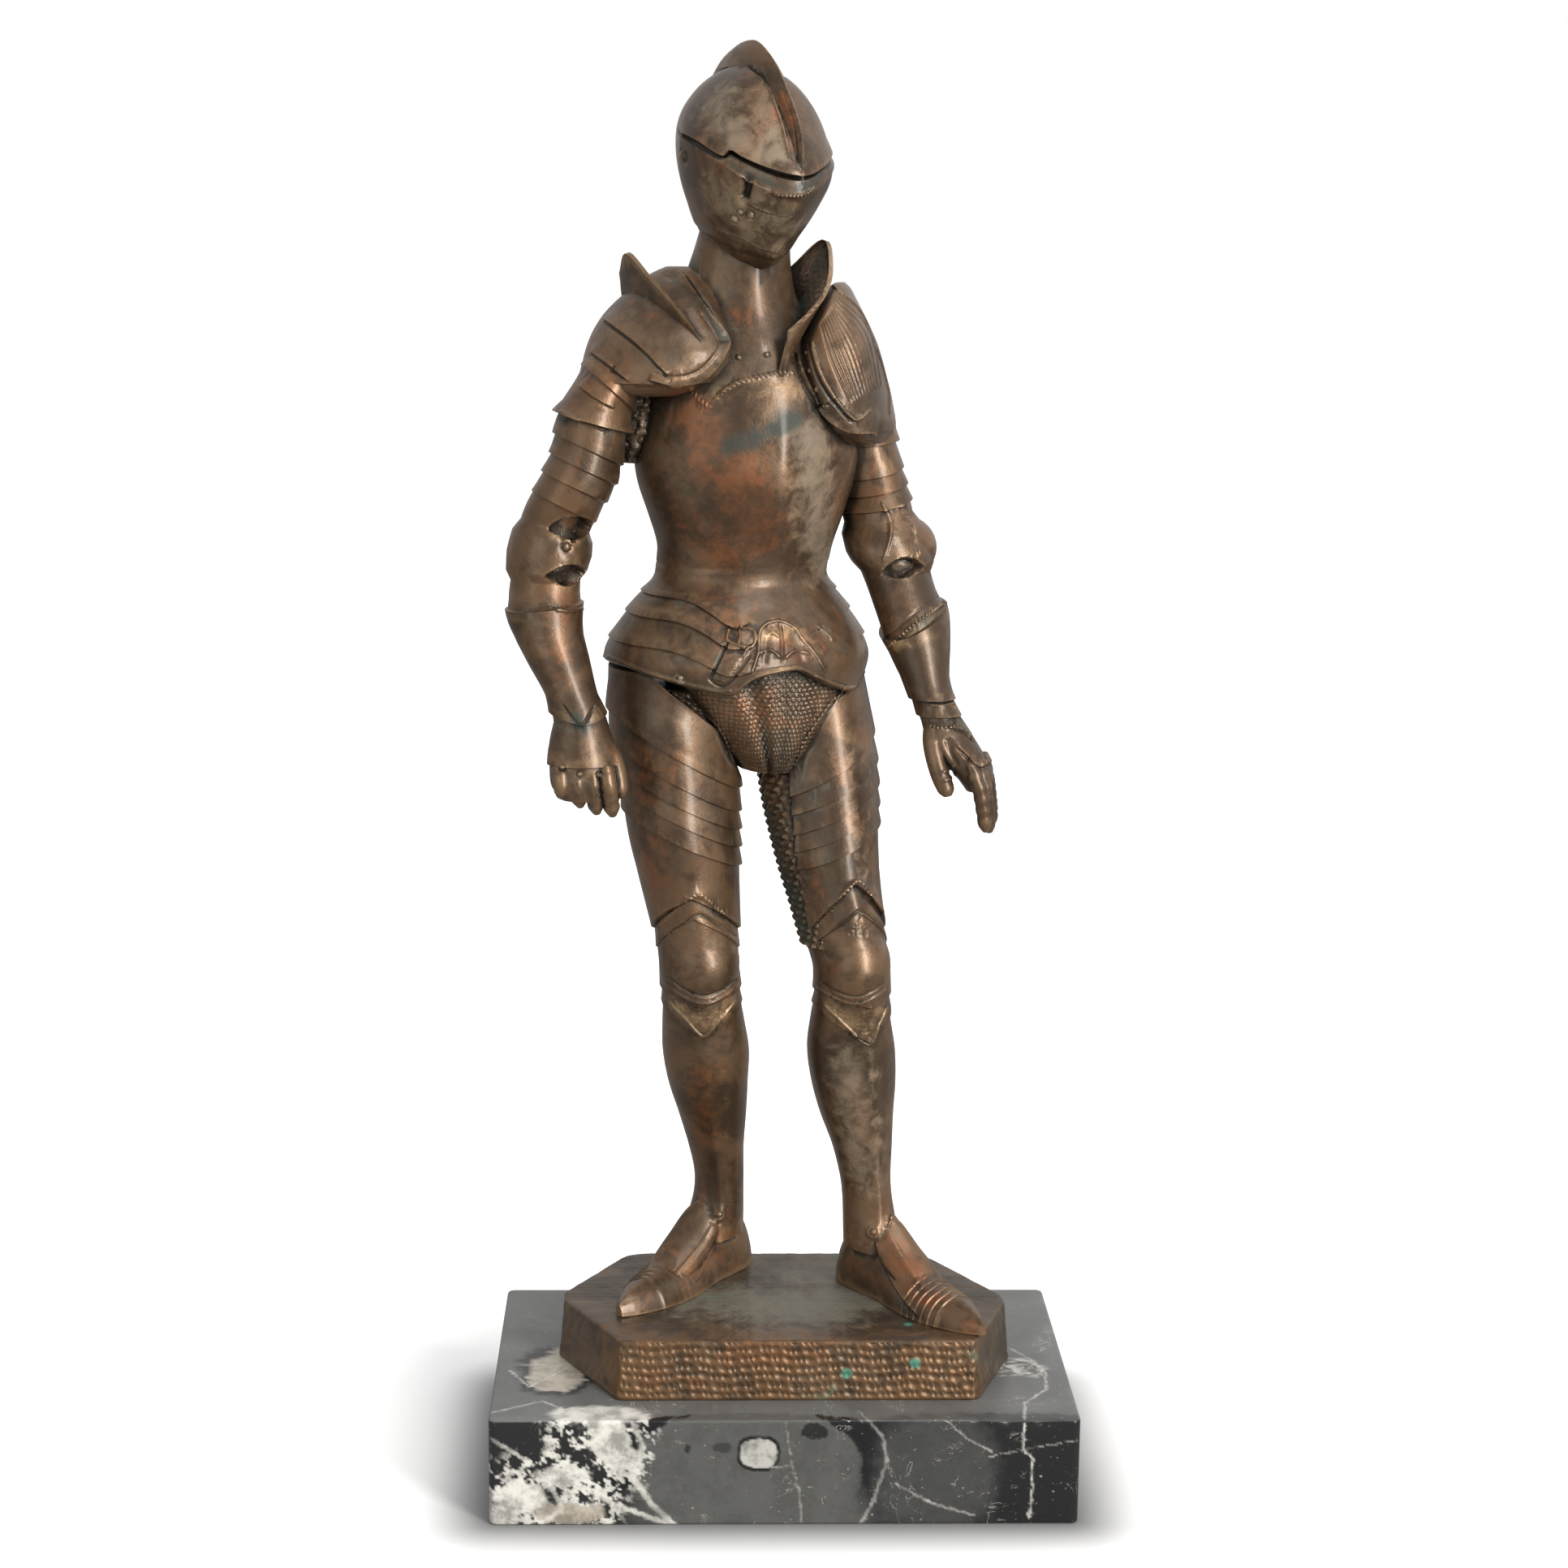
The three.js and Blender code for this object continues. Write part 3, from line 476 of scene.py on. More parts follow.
def bar(points: Table, sides: int = 16, flat: float = 1.0) -> Form:
    """Makes a round bar along a smooth line.

    Args:
        points: Rows of x, y, z and radius.
        sides: The number of faces round it.
        flat: How deep it is for its width.

    Returns:
        The bar.
    """
    path = smooth_path(points, 0.9)
    along = unit(np.gradient(path[:, :3], axis=0))
    across = unit(np.cross(np.array([1.0, 0.0, 0.0]), along))
    third = np.cross(along, across)
    turn = np.arange(sides) * 2 * math.pi / sides
    rows = (
        path[:, None, :3]
        + path[:, None, 3:] * np.cos(turn)[None, :, None] * across[:, None] * flat
        + path[:, None, 3:] * np.sin(turn)[None, :, None] * third[:, None]
    )
    return form_from_rows(rows)


def blade(foot: Table, crest: Table, thick: float, bow: float) -> Form:
    """Makes a bowed plate that thins towards its crest.

    Args:
        foot: The foot line.
        crest: The crest line.
        thick: The thickness at the foot.
        bow: How far it bows out half way up.

    Returns:
        The plate.
    """
    count = 44
    low = smooth_path(foot, 0.5)
    high = smooth_path(crest, 0.5)
    share = np.linspace(0.0, 1.0, count)
    low, high = (
        np.stack([np.interp(share, np.linspace(0, 1, len(line)), line[:, k]) for k in range(3)], axis=1)
        for line in (low, high)
    )
    along = np.gradient(low, axis=0)
    along[:, 2] = 0.0
    along = unit(along)
    away = np.stack([-along[:, 1], along[:, 0], np.zeros(count)], axis=1)
    rise = np.linspace(0.0, 1.0, 13)
    swell = bow * 4 * rise * (1 - rise)
    lip = 0.3 * np.exp(-(((rise - 1.0) / 0.10) ** 2))
    sheet = low[:, None] * (1 - rise)[None, :, None] + high[:, None] * rise[None, :, None]
    outer = sheet + away[:, None] * (swell + lip)[None, :, None]
    inner = sheet + away[:, None] * (swell - thick * (1 - 0.8 * rise**3))[None, :, None]
    top = sheet[:, -1:] + away[:, None] * (lip[-1] - thick) * 0.5 + np.array([0.0, 0.0, 0.35])
    rows = np.concatenate([outer, top, inner[:, ::-1]], axis=1)
    return form_from_rows(rows)


def fuse(forms: Sequence[Form], name: str) -> bpy.types.Mesh:
    """Joins closed forms that overlap into one closed mesh.

    Args:
        forms: The forms. They are used up.
        name: The name of the mesh.

    Returns:
        The joined mesh, in millimetres.
    """
    objects = []
    for index, form in enumerate(forms):
        mesh = bpy.data.meshes.new(f"{name}_{index}")
        form.to_mesh(mesh)
        form.free()
        objects.append(add_object(mesh.name, mesh))
    for other in objects[1:]:
        joiner = objects[0].modifiers.new(other.name, "BOOLEAN")
        joiner.operation, joiner.solver, joiner.object = "UNION", "MANIFOLD", other
    evaluated = objects[0].evaluated_get(bpy.context.evaluated_depsgraph_get())
    joined = bpy.data.meshes.new_from_object(evaluated)
    joined.name = name
    for made in objects:
        mesh = made.data
        bpy.data.objects.remove(made)
        bpy.data.meshes.remove(mesh)
    return joined


def read(mesh: bpy.types.Mesh) -> tuple[Array, Array, Array]:
    """Reads a mesh.

    Args:
        mesh: The mesh.

    Returns:
        The vertices' places and normals, and the edges' pairs of vertices.
    """
    points, normals = np.empty(len(mesh.vertices) * 3), np.empty(len(mesh.vertices) * 3, np.float32)
    edges = np.empty(len(mesh.edges) * 2, np.int64)
    mesh.vertices.foreach_get("co", points)
    mesh.vertex_normals.foreach_get("vector", normals)
    mesh.edges.foreach_get("vertices", edges)
    return points.reshape(-1, 3), normals.reshape(-1, 3).astype(float), edges.reshape(-1, 2)


def keep(mesh: bpy.types.Mesh, name: str, values: Array) -> None:
    """Keeps a number on each vertex, for the material to read."""
    mesh.attributes.new(name, "FLOAT", "POINT").data.foreach_set("value", values.astype(np.float32))


def finder(points: Array) -> KDTree:
    """Makes a tree that finds the nearest of some points.

    Args:
        points: The points.

    Returns:
        The tree.
    """
    tree = KDTree(len(points))
    for index, point in enumerate(points):
        tree.insert(point, index)
    tree.balance()
    return tree


# Chased relief


class Cut(Enum):
    """How a chased line looks in section."""

    GROOVE = "groove"
    RIM = "rim"
    LEDGE = "ledge"
    ROPE = "rope"
    BEADS = "beads"
    EYE = "eye"


@dataclass(frozen=True)
class Line:
    """A chased line through marks. A ledge is raised on the upper side of a line from left to right.

    Attributes:
        marks: Pixels of the main view, or points in millimetres.
        cut: The line's section.
        width: Half its width, in millimetres.
        height: How far it stands out, or how deep it goes.
        pitch: The length of one turn of a rope or one bead.
        fade: How far a ledge's swelling reaches.
        taper: The length over which the ends fade.
    """

    marks: Table
    cut: Cut = Cut.GROOVE
    width: float = 0.45
    height: float = 0.35
    pitch: float = 1.4
    fade: float = 3.0
    taper: float = 1.2

    def offset(self, s: Array, along: Array, total: float) -> Array:
        """Works out the line's relief.

        Args:
            s: The distances across the line.
            along: The distances along it.
            total: Its length.

        Returns:
            The distances off the surface.
        """
        ends = smooth(np.minimum(along, total - along), -0.3, self.taper)
        r = s / self.width
        dome = np.sqrt(np.clip(1.0 - r * r, 0.0, 1.0))
        if self.cut is Cut.GROOVE:
            return -self.height * np.exp(-r * r) * ends
        if self.cut is Cut.RIM:
            return self.height * dome * ends
        if self.cut is Cut.LEDGE:
            raised = smooth(s, -0.16, 0.16) * np.exp(-np.clip(s, 0, None) / self.fade)
            return self.height * ends * (raised - 0.3 * np.exp(-(((s + 0.4) / 0.4) ** 2)))
        if self.cut is Cut.ROPE:
            twist = 0.66 + 0.34 * np.cos(2 * math.pi * (along / self.pitch + 0.35 * r))
            return self.height * dome * twist * ends
        if self.cut is Cut.BEADS:
            beat = (along % self.pitch) - self.pitch / 2
            away = (s * s + beat * beat) / (self.width * self.width)
            return self.height * np.sqrt(np.clip(1.0 - away, 0.0, 1.0)) * ends
        half = self.width * np.sin(np.pi * np.clip(along / total, 0.0, 1.0)) ** 0.8 + 1e-3
        return -self.height * smooth(half - np.abs(s), -0.15, 0.45)


@dataclass(frozen=True)
class Stud:
    """A round rivet head or knob at a mark, with a fine ring cut round it."""

    mark: Sequence[float]
    radius: float = 0.75
    height: float = 0.45


@dataclass(frozen=True)
class Patch:
    """A worked area inside a polygon of pixels, on the surfaces that face the main view."""

    outline: Table
    field_of: Callable[[Array], Array]
    size: float = 0.45

    def holds(self, points: Array) -> Array:
        """Tests points against the polygon.

        Args:
            points: The points, in rows.

        Returns:
            True for each point that appears inside the polygon.
        """
        seen = EYE.pixels(points)
        x, y = seen[:, 0], seen[:, 1]
        inside = np.zeros(len(points), bool)
        corners = list(self.outline)
        for (ax, ay), (bx, by) in zip(corners, corners[1:] + corners[:1]):
            crosses = (ay > y) != (by > y)
            slope = (bx - ax) / (by - ay) if by != ay else 0.0
            inside ^= crosses & (x < ax + (y - ay) * slope)
        return inside


@dataclass
class Chaser:
    """Works relief into a closed mesh: it makes the mesh finer near each mark, then moves it.

    Attributes:
        form: The mesh.
        sharp: How alike the normals at an edge's ends have to be for its middle to be rounded.
        bent: How far, for its length, such an edge may lean off the surface.
        margin: How far past a mark's width the mesh is made finer.
        finest: The shortest length that edges at a line are cut to.
        coarsest: The longest.
        furthest: How far off the surface a mark may lie.
        passes: The most rounds of splitting in a patch.
        lines: The lines.
        studs: The rivets and knobs.
        patches: The worked areas.
    """

    form: Form
    sharp: float = 0.72
    bent: float = 0.3
    margin: float = 0.35
    finest: float = 0.31
    coarsest: float = 0.6
    furthest: float = 4.0
    passes: int = 4
    lines: list[Line] = field(default_factory=list)
    studs: list[Stud] = field(default_factory=list)
    patches: list[Patch] = field(default_factory=list)

    def arrays(self) -> tuple[Array, Array, Array]:
        """Reads the form.

        Returns:
            The vertices, their normals and the edges.
        """
        mesh = bpy.data.meshes.new("read")
        bmesh.ops.triangulate(self.form, faces=self.form.faces)
        self.form.to_mesh(mesh)
        found = read(mesh)
        bpy.data.meshes.remove(mesh)
        return found

    def split(self, chosen: Array, points: Array, normals: Array, edges: Array) -> None:
        """Splits edges at points on the rounded surface, and not on the flat facets.

        Args:
            chosen: Which edges are split.
            points: The vertices.
            normals: Their normals.
            edges: The pairs of vertices.
        """
        self.form.edges.ensure_lookup_table()
        a, b = edges[chosen, 0], edges[chosen, 1]
        gap = points[b] - points[a]
        lean_a = dots(gap, normals[a])
        lean_b = -dots(gap, normals[b])
        alike = dots(normals[a], normals[b])
        long = lengths(gap)
        fits = (alike > self.sharp) & (np.maximum(np.abs(lean_a), np.abs(lean_b)) < self.bent * long)
        lift = -(lean_a[:, None] * normals[a] + lean_b[:, None] * normals[b]) / 8.0
        lift[~fits] = 0.0
        middle = (points[a] + points[b]) / 2.0
        tree = finder(middle)
        picked = [self.form.edges[int(i)] for i in np.nonzero(chosen)[0]]
        made = bmesh.ops.subdivide_edges(self.form, edges=picked, cuts=1, use_grid_fill=True)["geom_inner"]
        for vertex in made:
            if isinstance(vertex, bmesh.types.BMVert):
                _, index, away = tree.find(vertex.co)
                if away < 1e-3:
                    vertex.co += Vector(lift[index])
        bmesh.ops.triangulate(self.form, faces=self.form.faces)

    def refine(self, marks: Array, reach: Array, size: Array, passes: int = 4) -> None:
        """Makes the mesh finer near marks.

        Args:
            marks: Points on the surface.
            reach: How far round each the mesh is made finer.
            size: The longest edge allowed there.
            passes: The most rounds of splitting.
        """
        tree = finder(marks)
        low, high = marks.min(0) - reach.max(), marks.max(0) + reach.max()
        for _ in range(passes):
            points, normals, edges = self.arrays()
            middle = points[edges].mean(1)
            length = lengths(points[edges[:, 0]] - points[edges[:, 1]])
            near = ((middle > low) & (middle < high)).all(1) & (length > size.min())
            chosen = np.zeros(len(edges), bool)
            for index in np.nonzero(near)[0]:
                _, mark, away = tree.find(middle[index])
                spare = self.margin * length[index]
                chosen[index] = away < reach[mark] + spare and length[index] > size[mark]
            if not chosen.any():
                return
            self.split(chosen, points, normals, edges)

    def cast(self, tree: BVHTree, mark: Sequence[float]) -> Optional[tuple[Array, Array]]:
        """Finds the place on the surface that a mark names.

        Args:
            tree: The surface.
            mark: A pixel of the main view, or a point.

        Returns:
            The place and the normal there, or None.
        """
        if len(mark) == 3:
            place, normal, _, away = tree.find_nearest(Vector(mark))
            found = place is not None and away < self.furthest
        else:
            place, normal, _, _ = tree.ray_cast(Vector(EYE.place), Vector(EYE.ray(mark)))
            found = place is not None
        return (np.array(place), np.array(normal)) if found else None

    def laid(self, tree: BVHTree, line: Line) -> tuple[Array, Array]:
        """Lays a line on the surface.

        Args:
            tree: The surface.
            line: The line.

        Returns:
            The points and the normals there, or none where the line misses.
        """
        spacing = MARK_SPACING if len(line.marks[0]) == 2 else 0.3
        hits = [self.cast(tree, mark) for mark in smooth_path(line.marks, spacing)]
        hits = [hit for hit in hits if hit]
        if len(hits) < 3:
            return np.zeros((0, 3)), np.zeros((0, 3))
        places, normals = (np.array([hit[k] for hit in hits]) for k in (0, 1))
        steps = lengths(np.diff(places, axis=0))
        runs = np.split(np.arange(len(places)), np.nonzero(steps > LONGEST_GAP)[0] + 1)
        best = max(runs, key=len)
        if len(best) < 3:
            return np.zeros((0, 3)), np.zeros((0, 3))
        joined = even_path(np.hstack([places[best], normals[best]]), LINE_SPACING)
        return joined[:, :3], unit(joined[:, 3:])

    def work(self) -> None:
        """Makes the mesh finer near all marks, and moves it to make the relief."""
        tree = BVHTree.FromBMesh(self.form)
        laid = [(line, *self.laid(tree, line)) for line in self.lines]
        laid = [item for item in laid if len(item[1])]
        set_studs = [(stud, self.cast(tree, stud.mark)) for stud in self.studs]
        set_studs = [item for item in set_studs if item[1]]
        marks, reach, size = [], [], []
        for line, places, _ in laid:
            narrow = 0.5 if line.cut is Cut.LEDGE else line.width
            marks.append(places)
            reach.append(np.full(len(places), min(narrow, 3.0) + self.margin))
            size.append(np.full(len(places), max(self.finest, min(narrow * 0.66, self.coarsest))))
        for stud, (place, _) in set_studs:
            marks.append(place[None])
            reach.append(np.array([stud.radius + 0.4]))
            size.append(np.array([max(0.28, stud.radius * 0.42)]))
        if marks:
            self.refine(np.vstack(marks), np.concatenate(reach), np.concatenate(size))
        for patch in self.patches:
            self.refine_patch(patch)
        points, normals, _ = self.arrays()
        moved = np.zeros(len(points))
        for line, places, ways in laid:
            moved += self.line_offsets(line, places, ways, points, normals)
        for stud, (place, way) in set_studs:
            away = lengths(points - place)
            near = (away < stud.radius * 2.2) & (normals @ way > 0.1)
            r = away[near] / stud.radius
            dome = np.sqrt(np.clip(1.0 - r * r, 0.0, 1.0))
            moved[near] += stud.height * (dome - 0.3 * np.exp(-(((r - 1.25) / 0.22) ** 2)))
        faces_eye = EYE.facing(points, normals) > 0.05
        for patch in self.patches:
            held = patch.holds(points) & faces_eye
            moved[held] += patch.field_of(points[held])
        new = points + normals * moved[:, None]
        self.form.verts.ensure_lookup_table()
        for index in np.nonzero(np.abs(moved) > 1e-6)[0]:
            self.form.verts[int(index)].co = new[index]

    def refine_patch(self, patch: Patch) -> None:
        """Makes the mesh finer inside a patch.

        Args:
            patch: The patch.
        """
        for _ in range(self.passes):
            points, normals, edges = self.arrays()
            length = lengths(points[edges[:, 0]] - points[edges[:, 1]])
            held = patch.holds(points) & (EYE.facing(points, normals) > 0.0)
            chosen = (held[edges[:, 0]] | held[edges[:, 1]]) & (length > patch.size)
            if not chosen.any():
                return
            self.split(chosen, points, normals, edges)

    @staticmethod
    def line_offsets(line: Line, places: Array, ways: Array, points: Array, normals: Array) -> Array:
        """How far a line moves each point of the mesh.

        Args:
            line: The line.
            places: Its points on the surface.
            ways: The normals there.
            points: The mesh's vertices.
            normals: Their normals.

        Returns:
            The distance that each vertex moves.
        """
        moved = np.zeros(len(points))
        reach = line.fade * 2.5 if line.cut is Cut.LEDGE else line.width * 2.2 + 0.3
        low, high = places.min(0) - reach, places.max(0) + reach
        near = np.nonzero(((points > low) & (points < high)).all(1))[0]
        if not len(near):
            return moved
        tree = finder(places)
        along = run_length(places)
        heading = unit(np.gradient(places, axis=0))
        found = [tree.find(points[i]) for i in near]
        mark = np.array([item[1] for item in found])
        close = np.array([item[2] for item in found]) < reach
        near, mark = near[close], mark[close]
        away = points[near] - places[mark]
        way = ways[mark]
        flat = away - dots(away, way)[:, None] * way
        aside = unit(np.cross(way, heading[mark]))
        s = dots(flat, aside)
        slip = dots(flat, heading[mark])
        past = ((mark == 0) & (slip < 0)) | ((mark == len(places) - 1) & (slip > 0))
        s = np.where(past & (line.cut is not Cut.LEDGE), np.hypot(s, slip) * np.where(s < 0, -1, 1), s)
        beyond = np.exp(-((np.where(past, slip, 0.0) / 0.8) ** 2)) if line.cut is Cut.LEDGE else 1.0
        agree = smooth(dots(normals[near], way), 0.0, 0.35)
        moved[near] = line.offset(s, along[mark] + slip * ~past, along[-1]) * agree * beyond
        return moved


def finish_mesh(form: Form, name: str, most: int = MOST_TRIANGLES) -> Object:
    """Turns a form in millimetres into a smooth-shaded object in metres at the origin.

    Args:
        form: The form. It is used up.
        name: The object's name.
        most: The most triangles that it may have.

    Returns:
        The object.
    """
    bmesh.ops.remove_doubles(form, verts=form.verts, dist=MERGE)
    bmesh.ops.dissolve_degenerate(form, edges=form.edges, dist=MERGE)
    bmesh.ops.triangulate(form, faces=form.faces)
    bmesh.ops.scale(form, vec=Vector((MM, MM, MM)), verts=form.verts)
    rough = bpy.data.meshes.new("rough")
    form.to_mesh(rough)
    form.free()
    made = add_object(name, rough)
    thin = made.modifiers.new("thin", "DECIMATE")
    thin.ratio = min(1.0, most / len(rough.polygons))
    mesh = bpy.data.meshes.new_from_object(made.evaluated_get(bpy.context.evaluated_depsgraph_get()))
    made.modifiers.clear()
    made.data, mesh.name = mesh, name
    bpy.data.meshes.remove(rough)
    mesh.shade_smooth()
    mesh.set_sharp_from_angle(angle=math.radians(SHARP_DEGREES))
    return made


def store_wear(made: Object, reach: float = 0.006, rays: int = 14, lift: float = 4e-5) -> None:
    """Keeps on each vertex how much it lies in a hollow and how much it stands on an edge.

    Args:
        made: The object. Its attributes "hollow" and "edge" are written.
        reach: How far away something still shades a hollow, in metres.
        rays: The number of directions that are tried at each vertex.
        lift: How far off the surface they start, in metres.
    """
    mesh = made.data
    count = len(mesh.vertices)
    points, normals, edges = read(mesh)
    a, b = edges.T
    gap = points[b] - points[a]
    span = np.maximum(dots(gap, gap), 1e-10)
    curve = np.zeros(count)
    valence = np.zeros(count)
    np.add.at(curve, a, -dots(gap, normals[a]) / np.sqrt(span))
    np.add.at(curve, b, dots(gap, normals[b]) / np.sqrt(span))
    np.add.at(valence, a, 1.0)
    np.add.at(valence, b, 1.0)
    curve /= np.maximum(valence, 1.0)

    def spread(values: Array) -> Array:
        """Evens values out between neighbours.

        Args:
            values: A value for each vertex.

        Returns:
            The evened values.
        """
        total = values.copy()
        np.add.at(total, a, values[b])
        np.add.at(total, b, values[a])
        return total / (valence + 1.0)

    curve = spread(curve)
    tree = BVHTree.FromObject(made, bpy.context.evaluated_depsgraph_get())
    golden = math.pi * (3.0 - math.sqrt(5.0))
    lifts = [math.sqrt((k + 0.5) / rays) for k in range(rays)]
    ways = [(math.cos(k * golden) * r, math.sin(k * golden) * r, math.sqrt(1 - r * r)) for k, r in enumerate(lifts)]
    shade = np.zeros(count)
    for index in range(count):
        normal = Vector(normals[index])
        frame = normal.to_track_quat("Z", "Y").to_matrix()
        start = Vector(points[index]) + normal * lift
        hits = 0.0
        for way in ways:
            away = tree.ray_cast(start, frame @ Vector(way), reach)[3]
            if away is not None:
                hits += 1.0 - away / reach
        shade[index] = hits / rays
    shade = spread(shade)
    hollow = np.clip(shade * 1.9 + np.clip(-curve, 0, None) * 2.4, 0.0, 1.0)
    edge = np.clip(curve * 4.0, 0.0, 1.0) * (1.0 - np.clip(shade * 1.3, 0.0, 1.0))
    keep(mesh, "hollow", hollow)
    keep(mesh, "edge", edge)


# The figure's forms


def rings_of_mail(pitch: float, rise: float, depth: float, radius: float) -> Relief:
    """A relief of staggered mail rings round a limb.

    Args:
        pitch: The width of a ring.
        rise: The height of a row of rings.
        depth: How far the rings stand out.
        radius: The limb's mean radius.

    Returns:
        The relief over angles in degrees and heights.
    """

    def relief(angle: Array, height: Array) -> Array:
        """Works out the rings.

        Args:
            angle: The angles, in degrees.
            height: The heights.

        Returns:
            The heights of the rings.
        """
        u = np.radians(angle) * radius / pitch
        v = height / rise + 0.16 * np.sin(u * 0.9)
        row = np.floor(v)
        across = np.abs(np.cos(np.pi * (u + 0.5 * (row % 2))))
        down = np.sin(np.pi * (v - row))
        return depth * (across**0.8 * down**0.7 - 0.45)

    return relief


def plate(
    shape: Shape,
    rows: Sequence[Row],
    start: Callable[[Array], Array],
    end: Callable[[Array], Array],
    sides: int = 64,
    depth: float = 2.6,
    step: float = 1.8,
    rim: float = 0.25,
) -> Form:
    """Makes a plate that covers part of the way round a form.

    Args:
        shape: Gives points from angles, heights and distances off the form.
        rows: The rows from one end to the other.
        start: The first edge's angle at each height.
        end: The last edge's angle at each height.
        sides: The number of points in each row.
        depth: How far inside the form the back lies.
        step: The largest distance between rows.
        rim: How far the two edges are raised.

    Returns:
        The closed plate.
    """
    share = np.linspace(0.0, 1.0, sides)
    middle = [row.h for row in rows]
    made = []
    for i, row in enumerate(rows):
        parts = max(1, int(math.ceil(abs(middle[i] - middle[i - 1]) / step))) if i else 1
        for k in range(1, parts + 1):
            t = k / parts
            before = rows[max(0, i - 1)]
            h = before.h * (1 - t) + row.h * t
            slant = Row(h, before.tilt * (1 - t) + row.tilt * t, 0.0, before.peak * (1 - t) + row.peak * t)
            a, b = slant.meets(start), slant.meets(end)
            angle = a + (b - a) * share
            height = before.heights(angle) * (1 - t) + row.heights(angle) * t
            out = before.out * (1 - t) + row.out * t
            brink = np.exp(-np.minimum(share, 1 - share) * (b - a) / 5.0)
            face = shape(angle, height, out + rim * brink)
            inner = np.arange(0, sides, 4)[::-1]
            made.append(np.vstack([face, shape(angle[inner], height[inner], np.full(len(inner), -depth))]))
    return form_from_rows(np.array(made))


@dataclass
class Leg:
    """A leg in plate: thigh plates over mail, a knee plate and a greave."""

    table: Table
    turn: float
    laps: Sequence[tuple[float, float]]
    outer_tilt: float
    starts: Curves
    ends: Curves
    sides: int = 60
    chevrons: Sequence[tuple[float, float]] = ((107.6, 11.4), (102.0, 10.8), (90.8, -3.6), (86.2, -8.6))
    knee_half: float = 11.2
    swell: float = 0.0

    def forms(self) -> list[Form]:
        """Makes the closed forms.

        Returns:
            The mail, the thigh plates, the greave and the knee.
        """
        shape = Trunk(self.table, self.turn, 0.7)
        upper, middle, crescent, point = self.chevrons
        mail = loft(
            shape.at,
            [Row(176, out=-4.0), Row(168, out=-2.4), Row(160, out=-1.3), Row(104, out=-1.3)],
            126,
            0.72,
            self.mail,
        )
        rows = [Row(181), Row(171, tilt=self.outer_tilt)]
        for h, tilt in self.laps:
            rows += lap(h, 0.85, tilt=tilt)
        rows += [Row(124.2), *lap(upper[0], 0.75, peak=upper[1])]
        thigh = plate(shape.at, rows, lambda h: self.starts.at(h)[..., 0], lambda h: self.ends.at(h)[..., 0], 84)
        lower = loft(
            shape.at,
            [
                Row(120, peak=6.0, out=-0.9), Row(111, peak=9.0, out=-0.6),
                *lap(middle[0], 0.4, peak=middle[1]),
                Row(97),
                *lap(crescent[0], 0.65, peak=crescent[1]),
                *lap(point[0], 0.5, peak=point[1]),
                *level(67, 58, 48, 38, 30, 24.5), Row(20.5, rise=-2.0), Row(13, rise=-1.0, out=-0.3),
            ],
            self.sides,
            1.7,
            self.shin_ridge,
        )
        ahead = np.array([math.sin(math.radians(self.turn)), -math.cos(math.radians(self.turn))])
        x, y = Curves(self.table).at(np.array(96.0))[:2]
        knee = lump((x + ahead[0] * 2.3, y + ahead[1] * 2.3, 97.6), (self.knee_half, 11.3, 13.0), 44)
        return [mail, thigh, lower, knee]

    def mail(self, angle: Array, height: Array) -> Array:
        """The mail behind the thigh, fuller on the side between the legs."""
        full = self.swell * bump(angle, 262.0, 70.0) * (1.0 - smooth(height, 148.0, 162.0))
        return rings_of_mail(2.5, 2.15, 1.2, 14.0)(angle, height) + full

    def shin_ridge(self, angle: Array, height: Array) -> Array:
        """The ridge down the front of the greave."""
        along = smooth(height, 22.0, 30.0) * (1.0 - smooth(height, 68.0, 80.0))
        return 0.55 * along * bump(angle, 0.0, 16.0)


RIGHT_LEG = Leg(
    table=(
        (16, -18.6, 20.5, 8.4, 9.5, 9), (23, -17.7, 20, 7.3, 8.4, 8), (30, -17.5, 19.4, 7.1, 8, 8),
        (39, -18.4, 17.6, 7.9, 8.6, 9.4), (50, -19.6, 14.8, 9.7, 10.2, 12.2), (60, -20.9, 11.8, 11.3, 11.6, 14),
        (70, -21.6, 8.8, 12.2, 12.2, 14.6), (80, -22.4, 5, 11.5, 11.8, 13.2), (88, -23, 2.4, 10.8, 11.6, 11.8),
        (97, -23.7, 1.4, 11.1, 12, 11.8), (106, -24.4, 1.6, 11.6, 12.6, 12.4), (114, -25.5, 1.8, 12.7, 13.4, 13.4),
        (124, -26.9, 1.8, 14.2, 14.8, 14.6), (133, -28, 1.4, 15.3, 15.8, 15.6), (142, -28.8, 1, 15.9, 16.6, 16.4),
        (151, -29.5, 0.8, 16.4, 17, 17), (160, -30.6, 0.6, 17, 17.4, 17.6), (170, -31.6, 0.6, 17.2, 17.6, 18),
        (182, -32, 1, 16.8, 17, 18),
    ),
    turn=0.0,
    laps=((158.5, -11.2), (150.5, -9.8), (144.6, -9.0), (139.4, -8.8), (133.4, -8.0)),
    outer_tilt=-6.0,
    starts=Curves(((100, -138), (182, -138))),
    ends=Curves(
        (
            (100, 104), (138, 104), (149, 86), (153.7, 70), (158.6, 62), (163.6, 50.5), (166.9, 36.5),
            (171.7, 17.5), (177, -4), (184, -30),
        )
    ),
)
